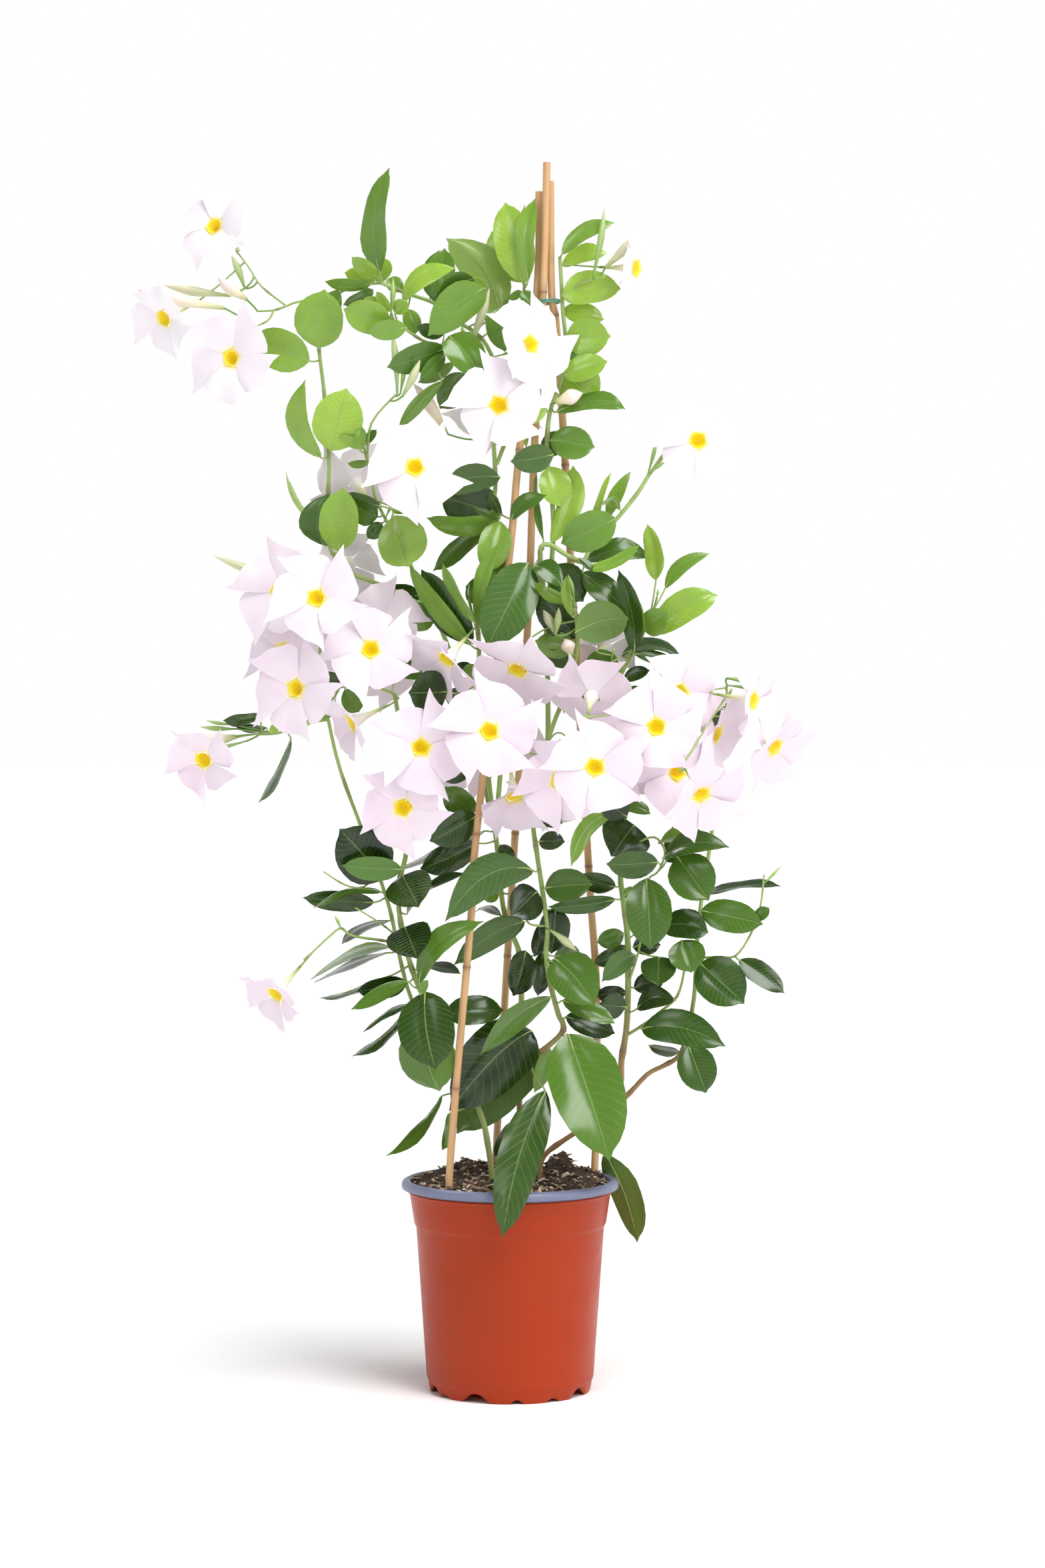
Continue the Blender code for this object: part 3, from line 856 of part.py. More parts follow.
def place_leaf(node, leaf):
    """A leaf in its place, or moved in depth or turned a little until it is clear of all the rest."""
    joint = joint_for(node, leaf[0], leaf[1])
    apart = ("stem", "stalk")
    tries = [(shift, 0, 1.0, apart) for shift in settle_steps(9, 0.5)]
    tries += [(shift, turn, 1.0, apart) for turn in (25, -25, 50) for shift in settle_steps(6, 0.5)]
    tries += [(shift, turn, 0.85, apart) for turn in (0, 35, -35) for shift in settle_steps(12, 0.5)]
    tries += [(shift, 0, 1.0, ("stem", "stalk", "leaf")) for shift in settle_steps(9, 0.5)]
    for shift, turn, size, joins in tries:
        shape = (*leaf[:4], leaf[4] * size, leaf[5] + turn, *leaf[6:])
        depth = joint.y + leaf[6] + shift
        base = seen(leaf[0], leaf[1], depth)
        tip = seen(leaf[2], leaf[3], depth + leaf[7])
        middle_seen = (leaf[9], leaf[10]) if len(leaf) > 9 else ((leaf[0] + leaf[2]) / 2, (leaf[1] + leaf[3]) / 2)
        middle = seen(*middle_seen, depth + leaf[7] * 0.4)
        side, face = frame_of(shape, base, tip)
        middle += face * (0.05 * (tip - base).length)
        if crosses(leaf_mesh(shape, joint, base, middle, tip, GAP), node, "leaf", joins):
            continue
        bm = leaf_mesh(shape, joint, base, middle, tip)
        if folded(bm):
            continue
        pieces[node].append(bm)
        placed.append(Placed(node, "leaf", bm))
        used_joints.append(joint)
        if "leaf" in joins:
            fused.append((node, leaf[0], leaf[1]))
        return True
    missed.append((node, leaf[0], leaf[1]))
    return False


def place_bud(node, bud):
    joint = joint_for(node, bud[0], bud[1])
    tries = [(shift, ("stem", "stalk")) for shift in settle_steps(6, 0.5)]
    tries += [(shift, ("stem", "stalk", "leaf")) for shift in settle_steps(6, 0.5)]
    for shift, joins in tries:
        depth = joint.y + bud[5] + shift
        base = seen(bud[0], bud[1], depth)
        tip = seen(bud[2], bud[3], depth)
        points = [joint, base, base + (tip - base) * 0.55, tip]
        radii = [0.09, 0.1, bud[4], 0.05]
        if (base - joint).length < 0.15:
            points = [joint] + points[2:]
            radii = [0.1] + radii[2:]
        sides = 4 if bud[4] > 0.3 else 3
        if crosses(tube_mesh(points, radii, sides, GAP), node, "leaf", joins):
            continue
        bm = tube_mesh(points, radii, sides)
        if folded(bm):
            continue
        used_joints.append(joint)
        pieces[node].append(bm)
        placed.append(Placed(node, "leaf", bm))
        return True
    missed.append((node, bud[0], bud[1]))
    return False


def canes():
    for name, run in CANES.items():
        bm = tube_mesh(run_points(run), [CANE_RADIUS] * len(run), 10)
        placed.append(Placed(name, "cane", bm))
        yield name, bm


def material(name, colour, rough, metal=0.0):
    finish = bpy.data.materials.new(name)
    finish.use_nodes = True
    shader = finish.node_tree.nodes["Principled BSDF"]
    shader.inputs["Base Color"].default_value = (*colour, 1.0)
    shader.inputs["Roughness"].default_value = rough
    shader.inputs["Metallic"].default_value = metal
    return finish


plant = bpy.data.collections.new("potted_dipladenia")
bpy.context.scene.collection.children.link(plant)
cutters = bpy.data.collections.new("cutters")
bpy.context.scene.collection.children.link(cutters)


def object_of(name, bm, collection, finish=None):
    """An object in metres from a mesh in centimetres."""
    bmesh.ops.scale(bm, vec=(CM, CM, CM), verts=bm.verts)
    mesh = bpy.data.meshes.new(name)
    bm.to_mesh(mesh)
    bm.free()
    thing = bpy.data.objects.new(name, mesh)
    collection.objects.link(thing)
    if finish:
        mesh.materials.append(finish)
    return thing


def smooth(thing, degrees=40):
    thing.data.shade_smooth()
    thing.data.set_sharp_from_angle(angle=math.radians(degrees))


def bodies_of(bm):
    """The separate bodies of a mesh, each as a set of faces that meet at edges, the largest first."""
    left = set(bm.faces)
    bodies = []
    while left:
        waiting = [left.pop()]
        body = set(waiting)
        while waiting:
            for edge in waiting.pop().edges:
                for face in edge.link_faces:
                    if face in left:
                        left.remove(face)
                        body.add(face)
                        waiting.append(face)
        bodies.append(body)
    return sorted(bodies, key=len, reverse=True)


def tidied(mesh):
    """Whether every edge has two faces, after crumbs that a union left loose are taken away."""
    bm = bmesh.new()
    bm.from_mesh(mesh)
    for body in bodies_of(bm)[1:]:
        if len(body) > CRUMB_FACES:
            bm.free()
            return False
        bmesh.ops.delete(bm, geom=list(body), context="FACES")
    good = all(len(edge.link_faces) == 2 for edge in bm.edges)
    bm.to_mesh(mesh)
    bm.free()
    return good


def joined(name, parts, finish):
    """Pieces that meet, made one closed body by one Boolean union."""
    whole = object_of(name, parts[0], plant, finish)
    if len(parts) == 1:
        return whole
    rest = bpy.data.collections.new(name + "_pieces")
    bpy.context.scene.collection.children.link(rest)
    for i, part in enumerate(parts[1:]):
        object_of(f"{name}_piece_{i}", part, rest)
    union = whole.modifiers.new("union", "BOOLEAN")
    union.operation = "UNION"
    union.operand_type = "COLLECTION"
    union.collection = rest
    union.use_self = True
    for solver in ("EXACT", "MANIFOLD"):
        union.solver = solver
        view = bpy.context.evaluated_depsgraph_get()
        mesh = bpy.data.meshes.new_from_object(whole.evaluated_get(view))
        if tidied(mesh):
            break
    whole.modifiers.clear()
    whole.data = mesh
    for thing in list(rest.objects):
        bpy.data.objects.remove(thing, do_unlink=True)
    bpy.data.collections.remove(rest)
    return whole


def pot_profile():
    """Half section of the pot, from the middle of its floor out, over the lip and down its outer side."""
    lip = POT_RIM_RADIUS
    top = POT_HEIGHT
    inside = [(0.0, 0.3), (5.2, 0.3), (5.5, 1.1), (7.9, 1.25), (8.95, 15.9), (9.5, 18.9), (9.7, top - 0.1)]
    rim = [(10.05, top), (lip - 0.1, top - 0.2), (lip, top - 0.5), (lip - 0.05, top - 0.85), (9.8, top - 0.95)]
    outside = [(9.68, 18.9), (9.3, 16.3), (9.12, 15.9), (8.1, 1.3), (7.95, 1.05), (7.75, 0.0)]
    under = [(7.5, 0.0), (7.4, 0.9), (5.8, 0.85), (5.4, 0.0), (0.0, 0.0)]
    return inside + rim + outside + under


def place_object(name, kind):
    """An object of the plant's collection, with its modifiers, noted for the crossing test."""
    view = bpy.context.evaluated_depsgraph_get()
    bm = bmesh.new()
    bm.from_object(plant.objects[name], view)
    bmesh.ops.scale(bm, vec=(1 / CM, 1 / CM, 1 / CM), verts=bm.verts)
    placed.append(Placed(name, kind, bm))


def turned(name, profile, steps, finish):
    """A turned solid: a half section on +X, spun by a Screw modifier."""
    mesh = bpy.data.meshes.new(name)
    bm = bmesh.new()
    ring = [bm.verts.new((r * CM, 0.0, z * CM)) for r, z in profile]
    for a, b in zip(ring, ring[1:]):
        bm.edges.new((a, b))
    bm.to_mesh(mesh)
    bm.free()
    thing = bpy.data.objects.new(name, mesh)
    plant.objects.link(thing)
    mesh.materials.append(finish)
    screw = thing.modifiers.new("turn", "SCREW")
    screw.steps = steps
    screw.render_steps = steps
    screw.use_merge_vertices = True
    screw.merge_threshold = 0.00005
    screw.use_normal_calculate = False
    return thing


def cutter(name, bm):
    thing = object_of(name, bm, cutters)
    thing.hide_render = True
    thing.display_type = "WIRE"
    return thing


def cut(thing, tool, name):
    hole = thing.modifiers.new(name, "BOOLEAN")
    hole.operation = "DIFFERENCE"
    hole.object = tool
    hole.solver = "EXACT"


# Notches in the pot's foot ring: angle from the front in degrees, half width in cm, height in cm
FOOT_NOTCHES = [(-25, 0.9, 0.75), (5, 0.35, 0.5), (58, 0.8, 0.75), (100, 0.9, 0.75), (145, 0.8, 0.7),
                (190, 0.9, 0.75), (235, 0.8, 0.7), (290, 0.9, 0.75)]


def make_pot(finish):
    pot = turned("pot", pot_profile(), POT_SIDES, finish)
    for i, (degrees, half_width, height) in enumerate(FOOT_NOTCHES):
        turn = math.radians(degrees - 90)
        out = Vector((math.cos(turn), math.sin(turn), 0.0))
        points = [out * 7.0 + Vector((0, 0, 0.0)), out * 8.4]
        bm = tube_mesh(points, [half_width, half_width], 8)
        for vert in bm.verts:
            vert.co.z *= height / half_width
        cut(pot, cutter(f"foot_notch_{i}", bm), f"notch_{i}")
    smooth(pot, 30)
    return pot


def soil_height(x, y):
    """Lumpy top of the soil, with a mound behind the branch and black lumps at the back."""
    lumps = 0.22 * math.sin(1.9 * x + 0.7) * math.sin(1.6 * y - 0.4) + 0.14 * math.sin(3.1 * x - 2.2 * y)
    mound = 1.3 * math.exp(-((x - 5.0) ** 2 + (y - 3.4) ** 2) / 2.6)
    heap = 0.5 * math.exp(-((x + 3.5) ** 2 + (y - 3.0) ** 2) / 5.0)
    return SOIL_LEVEL + lumps + mound + heap


def make_soil(finish):
    rows = [(5.13, 0.335), (5.43, 1.135), (7.86, 1.287), (8.912, 15.9), (9.46, 18.9), (9.57, 19.55)]
    top = [8.6, 5.8, 2.9]
    count = len(rows) + len(top) + 1
    bm = ball(POT_SIDES, count)
    for vert in bm.verts:
        row, angle = row_and_angle(Vector((vert.co.x, vert.co.y, -vert.co.z)), count)
        if row == 0:
            vert.co = Vector((0, 0, 0.335))
        elif row <= len(rows):
            radius, height = rows[row - 1]
            vert.co = Vector((radius * math.cos(angle), radius * math.sin(angle), height))
        else:
            radius = top[row - 1 - len(rows)] if row < count else 0.0
            x, y = radius * math.cos(angle), radius * math.sin(angle)
            fall = 0.35 if radius > 8 else 0.0
            vert.co = Vector((x, y, soil_height(x, y) - fall))
    outward(bm)
    soil = object_of("soil", bm, plant, finish)
    for name, run in CANES.items():
        points = run_points(run)[:3]
        bm = tube_mesh(points, [CANE_RADIUS + GAP * 1.1] * 3, 10, GAP)
        cut(soil, cutter(name + "_hole", bm), name + "_hole")
    for name, runs in STEMS.items():
        radius, run = runs[0]
        if run[0][1] > SOIL_LEVEL:
            continue
        points = run_points(run)[:4]
        bm = tube_mesh(points, [radius + GAP * 1.1] * 4, 6, GAP)
        cut(soil, cutter(name + "_hole", bm), name + "_hole")
    return soil


def make_tie(finish):
    """A loop of wire round the canes, with its twisted end at the right."""
    centre = seen(*TIE_CENTRE)
    points = []
    count = 18
    for i in range(count + 1):
        turn = math.tau * (i / count) * 0.965
        points.append(centre + Vector((-0.75 - 1.5 * math.cos(turn), -1.15 * math.sin(turn), 0.25 * math.sin(turn / 2))))
    return object_of("tie", tube_mesh(points, [0.09] * len(points), 5), plant, finish)


def covered_cells():
    """Squares of the front view, 4 mm wide, that the placed leaves and blooms cover."""
    cells = set()
    for piece in placed:
        if piece.kind not in ("leaf", "bloom"):
            continue
        for face in piece.bm.faces:
            corners = [flat(v.co) for v in face.verts]
            a, b, c = corners[0], corners[1], corners[2]
            for i in range(9):
                for j in range(9 - i):
                    u, v = i / 8, j / 8
                    x = a[0] + (b[0] - a[0]) * u + (c[0] - a[0]) * v
                    z = a[1] + (b[1] - a[1]) * u + (c[1] - a[1]) * v
                    cells.add((round(x / 0.4), round(z / 0.4)))
            if len(corners) == 4:
                a, b, c = corners[2], corners[3], corners[0]
                for i in range(9):
                    for j in range(9 - i):
                        u, v = i / 8, j / 8
                        x = a[0] + (b[0] - a[0]) * u + (c[0] - a[0]) * v
                        z = a[1] + (b[1] - a[1]) * u + (c[1] - a[1]) * v
                        cells.add((round(x / 0.4), round(z / 0.4)))
    return cells


def hidden_share(base, tip, width, cells):
    """How much of a leaf's outline in the front view lies behind what is there."""
    bx, bz = flat(base)
    tx, tz = flat(tip)
    length = math.hypot(tx - bx, tz - bz) or 1.0
    sx, sz = -(tz - bz) / length, (tx - bx) / length
    inside = 0
    tests = [(share, off) for share in (0.15, 0.4, 0.65, 0.9) for off in (-0.45, 0.0, 0.45)]
    for share, off in tests:
        reach = off * width * math.sin(math.pi * min(1.0, share + 0.08))
        x = bx + (tx - bx) * share + sx * reach
        z = bz + (tz - bz) * share + sz * reach
        if (round(x / 0.4), round(z / 0.4)) in cells:
            inside += 1
    return inside / len(tests)


def place_back_leaves():
    """Leaves on the back of the stems, drawn from a seed and kept where the front hides them."""
    draw = random.Random(BACK_SEED)
    cells = covered_cells()
    names = [name for name in STEMS if name not in ("stem_top",)]
    made = 0
    for _ in range(1600):
        if made >= BACK_LEAVES:
            break
        node = draw.choice(names)
        joint = draw.choice(stem_samples[node])
        length = draw.uniform(5.5, 8.5)
        width = length * draw.uniform(0.42, 0.55)
        swing = draw.uniform(-1.1, 1.1)
        rise = draw.uniform(-0.5, 0.6)
        age = draw.uniform(0.3, 1.0)
        turn = draw.uniform(-30, 30)
        if joint.z < 27:
            continue
        way = Vector((math.sin(swing), math.cos(swing), rise)).normalized()
        base = joint + way * 1.6
        tip = base + way * length
        if hidden_share(base, tip, width, cells) < 0.92:
            continue
        leaf = (*flat(base), *flat(tip), width, turn, 0, 0, age)
        side, face = frame_of(leaf, base, tip)
        middle = (base + tip) / 2 + Vector((0, 0, 0.06 * length))
        if crosses(leaf_mesh(leaf, joint, base, middle, tip, GAP), node, "leaf"):
            continue
        bm = leaf_mesh(leaf, joint, base, middle, tip)
        if folded(bm):
            continue
        used_joints.append(joint)
        pieces[node].append(bm)
        placed.append(Placed(node, "leaf", bm))
        made += 1
    return made


def build():
    terracotta = material("terracotta_plastic", (0.48, 0.11, 0.05), 0.42)
    earth = material("soil_dark", (0.045, 0.03, 0.02), 0.95)
    bamboo = material("bamboo", (0.6, 0.36, 0.18), 0.5)
    wire = material("tie_wire", (0.1, 0.36, 0.26), 0.4)
    green = material("stem_green", (0.13, 0.25, 0.05), 0.4)
    petal = material("petal_pale_pink", (0.88, 0.78, 0.86), 0.5)
    make_pot(terracotta)
    make_soil(earth)
    cane_meshes = list(canes())
    make_tie(wire)
    for name in ("pot", "soil", "tie"):
        place_object(name, name)
    place_stems()
    for index, bloom in enumerate(BLOOMS, start=1):
        place_bloom(index, bloom)
    for node, leaves in LEAVES.items():
        for leaf in leaves:
            place_leaf(node, leaf)
    for node, buds in BUDS.items():
        for bud in buds:
            place_bud(node, bud)
    for index, bloom in enumerate(BACK_BLOOMS, start=len(BLOOMS) + 1):
        place_bloom(index, bloom)
    place_back_leaves()
    for name, bm in cane_meshes:
        smooth(object_of(name, bm, plant, bamboo))
    for name, parts in pieces.items():
        joined(name, parts, green)
    for name, bm in bloom_meshes:
        object_of(name, bm, plant, petal)



build()
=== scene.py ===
import math
import random

import bpy
import bmesh
from mathutils import Matrix, Vector, noise
from mathutils.bvhtree import BVHTree


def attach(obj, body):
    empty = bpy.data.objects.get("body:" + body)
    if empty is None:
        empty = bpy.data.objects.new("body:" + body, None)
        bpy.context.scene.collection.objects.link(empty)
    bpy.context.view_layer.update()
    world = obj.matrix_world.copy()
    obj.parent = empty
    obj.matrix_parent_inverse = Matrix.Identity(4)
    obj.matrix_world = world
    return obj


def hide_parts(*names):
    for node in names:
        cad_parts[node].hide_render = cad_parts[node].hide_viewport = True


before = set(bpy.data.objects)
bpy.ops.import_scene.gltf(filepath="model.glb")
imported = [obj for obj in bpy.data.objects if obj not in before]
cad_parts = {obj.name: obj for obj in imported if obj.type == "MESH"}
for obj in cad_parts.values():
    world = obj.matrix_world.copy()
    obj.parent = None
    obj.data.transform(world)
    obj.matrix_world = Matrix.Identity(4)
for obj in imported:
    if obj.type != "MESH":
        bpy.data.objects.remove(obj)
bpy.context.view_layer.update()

CM = 0.01
EYE = Vector((1.2, -340.0, 66.17))    # where the front view is taken from, cm
GAP = 0.035                           # clear gap between touching solids, cm
SOLID_LEAF = 0.09                     # thickness of a leaf's solid
SOLID_THROAT = 0.85                   # radius of a solid's throat
PETIOLE_HALF_WIDTH = 0.11
SHORT_STALK = 1.2                     # a leaf nearer to its stem than this has no separate stalk
LONG_LEAF = 8.0                       # a longer blade has one more row across
STEM_TAPER = 0.3                      # how much thinner a stem is at its end
STEM_STEP = 0.3                       # places where a stem may carry something, cm apart
STEM_JOINTS = 4.6                     # from one swelling of a stem to the next
JOINT_ROOM = 0.5                      # joints nearer than this crowd each other
CROWDING = 1.6                        # how much farther off a crowded joint counts
LEAF_STEP = 0.5                       # how far a leaf or bud moves in depth at a time
BLOOM_STEP = 0.8                      # and a bloom
CELL = 0.4                            # squares of the front view, for what covers what
LEAF_THICKNESS = 0.045
PETAL_THICKNESS = 0.03
PETIOLE_RADIUS = 0.085
STALK_RADIUS = 0.1
CANE_RADIUS = 0.38
WIRE_RADIUS = 0.085
BLOOM_TUBE = 4.2                      # from the calyx to the rim of the throat
THROAT_RADIUS = 0.72
POT_RIM_RADIUS = 10.55
POT_HEIGHT = 20.5
FOOT_INSIDE = 7.3                     # the ring that the pot stands on: its inner radius and its middle
FOOT_RADIUS = 7.6
NOTCH_FROM = 0.9                      # the foot's notches reach up to this row of its wall
NOTCH_SPREAD = 1.75                   # the smooth notches are wider at the floor than the table says
LIP_FROM = 19.45                      # above this the pot is blue-grey
SOIL_LEVEL = 20.0
SOIL_FALL = 0.12                      # how much lower the soil is against the pot
SOIL_RADIUS = 9.55
SOIL_RINGS = 26
CRUMBS = 1100
FLOOR_RADIUS = 40.0                   # m
LENS = 80.68                          # mm, on a sensor 36 mm wide
SENSOR = 36.0
AIM = Vector((0.012, 0.0, 0.5877))    # what the camera points at, m
PLAIN = (0.0, 0.0, 0.0, 1.0)          # the tone of what has one plain finish

# Canes: points of the middle line in the front view (x, z) and their depth
CANES = {
    "cane_left": [(-5.95, 9.5, -4.8), (-5.95, 19.4, -4.8), (-5.35, 28, -4.4), (-4.75, 35, -4.0),
                  (-3.75, 46.3, -3.4), (-3.2, 54.5, -2.9), (-0.05, 81, -1.2), (0.8, 90, -0.6),
                  (2.6, 106.4, 0.35), (2.8, 115.9, 0.4)],
    "cane_right": [(6.6, 9.5, 3.2), (8.1, 19.6, 3.2), (8.4, 37.6, 2.8), (7.65, 50, 2.4), (5.7, 83, 1.2),
                   (5.3, 90.2, 0.9), (4.5, 102.6, 0.5), (4.0, 106.4, 0.35), (3.9, 116.9, 0.35)],
    "cane_back": [(-1.5, 9.5, 6.8), (-1.5, 19.6, 6.8), (-0.5, 38, 5.2), (1.63, 72.8, 2.0), (2.29, 89.9, 0.6),
                  (3.2, 106.4, -0.55), (3.55, 118.7, -0.65)],
}
TIE_CENTRE = (4.05, 105.0, 0.1)

# Stems: runs of (radius, [(x, z, depth), ...]); a run after the first starts on an earlier one
STEMS = {
    "stem_left": [
        (0.3, [(-1.75, 17.5, 0.3), (-1.75, 20.6, 0.3), (-2.2, 24, 0), (-2.8, 26.6, -0.4), (-4.6, 31, -1.2),
               (-7, 35.5, -2), (-8.9, 39.2, -2.6), (-10, 42.5, -2.8), (-10.7, 46, -2.4), (-10.8, 49, -2),
               (-10.0, 52.5, -1.4), (-9.8, 58, -1.2), (-10.6, 64, -1.6), (-11.2, 67.5, -2.6)]),
        (0.14, [(-11.2, 67.5, -2.6), (-13.2, 68.2, -3.4), (-15.6, 68.2, -3.8), (-17.4, 68.0, -4.2)]),
        (0.14, [(-9.8, 58, -1.2), (-8.0, 57.6, -3), (-7.0, 55.4, -3.6)]),
    ],
    "stem_left_outer": [
        (0.22, [(-5.6, 31.6, 0.2), (-7.6, 34.4, 0.4), (-9.6, 38, 0.2), (-10.7, 42, 0.2), (-11.5, 46, 0.2),
                (-12.4, 49, 0.4), (-14.2, 54, 1.2), (-16.4, 60, 1.4), (-17.6, 65, 1), (-18.4, 70, 0.6),
                (-18.2, 75, 0.6), (-18.6, 79.4, 0.4)]),
        (0.15, [(-17.6, 65, 1), (-20.2, 64.6, 0), (-22.4, 63.7, -1), (-24.6, 63.6, -1.8)]),
        (0.13, [(-11.05, 43.4, 0.2), (-13, 43.7, -2.2), (-15.4, 44.1, -3.4), (-16.4, 44.8, -3.8),
                (-17.4, 44.1, -4.2), (-18.6, 43, -4.6), (-20, 41.7, -5)]),
        (0.1, [(-11.2, 44.2, 0.2), (-12.6, 45.3, -2.4), (-15, 46.8, -3.8)]),
        (0.1, [(-12.8, 50.2, 0.6), (-14.2, 48.8, -3.2), (-16, 49, -3.9), (-18.1, 50.3, -4.4)]),
    ],
    "stem_center": [
        (0.3, [(1.0, 17.5, 4.2), (1.0, 20.6, 4.2), (0.9, 30, 3.4), (1.1, 38, 1.6), (0.9, 42.2, 1.2),
               (0.2, 44.2, 1), (-0.7, 47, 0.8), (-1.3, 53, 0.8), (-2.2, 60, 0.8), (-3, 66, 0),
               (-3, 71.8, -2.2), (-3.2, 74.3, -2.6)]),
        (0.13, [(-3, 68.4, -0.8), (-5, 67.6, -2), (-6.4, 67.6, -2.8)]),
    ],
    "stem_front": [
        (0.28, [(1.5, 31.6, 1.4), (3.2, 33, -0.6), (5.0, 34.6, -1), (5.1, 35.6, -1), (4.7, 36.4, -1.2),
                (4, 39, -1.4), (3.5, 42, -1.6), (3.55, 45, -1.6), (3.05, 49, -1.4), (2.6, 52, -1.2),
                (2.2, 55.6, -1), (2.8, 60, -1), (4.2, 64.6, -1.6), (5.2, 67, -2.4), (6.3, 70.4, -2.6),
                (6.5, 73.6, -3), (6.2, 75.8, -3.2)]),
        (0.12, [(3.55, 45, -1.6), (1.9, 45.2, -2.4), (1.3, 46.3, -2.8)]),
    ],
    "stem_right": [
        (0.32, [(8.6, 27.6, 2.2), (10.6, 29.4, 2), (10.8, 32, 1.6), (11.35, 36, 1.2), (11.4, 43.5, 0.8),
                (10.9, 48, 0.6), (10.7, 50, 0.6), (11, 56, 0.6), (10.3, 62, 0.2), (9.7, 67.4, -0.6),
                (10.4, 68.8, -0.8), (11.2, 70.4, -1), (11.9, 71.8, -1), (12.8, 73.4, -1), (13.8, 75.6, -1)]),
        (0.16, [(11.3, 34.4, 1.4), (13.2, 35.6, 0), (14.3, 36.5, -0.6), (16.2, 38.2, -1),
                (16.9, 40.8, -1.2)]),
        (0.13, [(11.4, 39.3, 1), (12.3, 42, -0.4), (12.7, 43.8, -0.8)]),
        (0.13, [(10.7, 50, 0.6), (12.2, 52.8, -1.6), (14.0, 53.6, -2), (15, 52.2, -2.2), (14.4, 50.4, -2.4),
                (13.6, 49.8, -2.4)]),
        (0.13, [(9.7, 67.4, -0.6), (9.3, 68.4, -1.6), (9.6, 69.8, -2), (9.9, 71.2, -2.2)]),
    ],
    "branch_right": [
        (0.27, [(2.9, 17.5, 1.2), (2.9, 20.6, 1.2), (3.3, 22.7, 1), (5.8, 24.6, 0.4), (8.4, 26.2, 0),
                (11, 28.2, -0.4), (13.3, 30.6, -0.8), (15, 31.5, -0.8), (16.5, 32.6, -0.8),
                (17.4, 35.6, -0.6), (17.9, 38.8, -0.4), (18.1, 43.2, 0), (18.6, 48, 0.8), (19.4, 53, 1.4),
                (20, 58, 1.6), (20.4, 62, 1.2)]),
        (0.12, [(18.05, 41.9, -0.1), (20, 42, -1.6), (21.8, 42.1, -2), (23.2, 44, -2.2), (24.2, 46.6, -2.4),
                (24.6, 50, -2.6)]),
        (0.14, [(20.4, 62, 1.2), (20.8, 65, 0.4), (21, 68.4, 0)]),
    ],
    "stem_left_tall": [
        (0.24, [(-1.9, 55, 1.9), (-3.2, 62, 2.2), (-5, 69, 1.6), (-7, 74.5, 0), (-8.5, 76, -0.4),
                (-12, 77.8, -1), (-15.3, 79.1, -1.4), (-16.4, 80.3, -1.4), (-17.4, 81.6, -1.2),
                (-17.6, 86, -0.6), (-17.5, 90.4, -0.4), (-17.9, 96, 0), (-18.3, 99.4, 0),
                (-18.5, 101.2, 0)]),
        (0.18, [(-8.5, 76, -0.4), (-9.6, 80, 1.4), (-12, 84.3, 0), (-13, 86.4, -1), (-13.4, 88.4, -1.4),
                (-14.4, 92.4, -1.4)]),
        (0.13, [(-13.8, 90, -1.4), (-13.4, 93.6, -3.4), (-10.9, 96.5, -4)]),
    ],
    "stem_top_left": [
        (0.24, [(-0.9, 55.5, 2.2), (-0.8, 62, 4.0), (-0.6, 70, 3.6), (-0.6, 78, 1.6), (-1.6, 84.6, 0.4),
                (-1.4, 88, 0.8), (-1.6, 93, 1.6), (-1.2, 98, 1.4), (-2.2, 101, 0.8), (-3.6, 102.5, 0.4),
                (-4.9, 103.3, 0),
                (-7.2, 105.1, -0.6), (-9, 105.8, -0.8), (-10.2, 106.2, -0.8), (-12.4, 107.1, -0.8)]),
        (0.17, [(-3.6, 102.5, 0.4), (-5.6, 101.2, -1.6), (-8, 101.4, -2.4), (-10, 102.6, -2.8),
                (-11.6, 103.8, -2.8)]),
        (0.14, [(-12.4, 107.1, -0.8), (-14.8, 106.9, 1), (-17, 106, 1.6), (-20.5, 105.3, 1),
                (-21.6, 104.9, 0.4), (-22.8, 104.5, 0), (-24.4, 104.4, -0.4)]),
        (0.1, [(-21.6, 104.9, 0.4), (-24.0, 106.8, 0.6), (-25.2, 108.6, 0.8), (-26.4, 110.2, 1)]),
        (0.1, [(-22.8, 104.5, 0), (-23.4, 103.5, -1.2), (-24.9, 102.8, -1.8)]),
    ],
    "stem_mid_right": [
        (0.26, [(3.2, 56.5, 0.2), (3.6, 62, 1.6), (3.6, 70, 1.4), (3.4, 76, 0.2), (2.9, 81.2, -1.9),
                (3.8, 81.9, -2.2), (5, 81.2, -2.2), (6.4, 80.4, -2.2), (7.2, 80.4, -2.2), (8, 82.2, -2.2),
                (9.3, 83.5, -2), (10.5, 84.6, -1.8), (12.4, 87, -1.6), (13.4, 88.6, -1.6),
                (14.9, 90.6, -1.6)]),
        (0.16, [(3.4, 76, 0.2), (2.6, 78.6, -2.6), (1.8, 79.9, -3.4)]),
    ],
    "stem_top_right": [
        (0.24, [(4.4, 76.6, 1.0), (4.2, 84, -0.9), (3.6, 90, -1.4), (3.8, 94.4, -1.8), (4.9, 97.6, -1.6),
                (5.4, 101, -1.2), (5.1, 104.4, -1), (4.9, 108, -0.8), (4.8, 109.6, -0.6)]),
        (0.13, [(5, 106, -0.9), (7, 107.1, -2.2), (8.8, 107.7, -2.6)]),
    ],
    "stem_top": [
        (0.2, [(-1.1, 89.6, 1.7), (0.2, 94, 2.4), (1.2, 100, 2.2), (1.2, 104, 1.8), (1.4, 107.2, 1.2)]),
    ],
}

YOUNG_STEM = "stem_left"              # still green at the soil

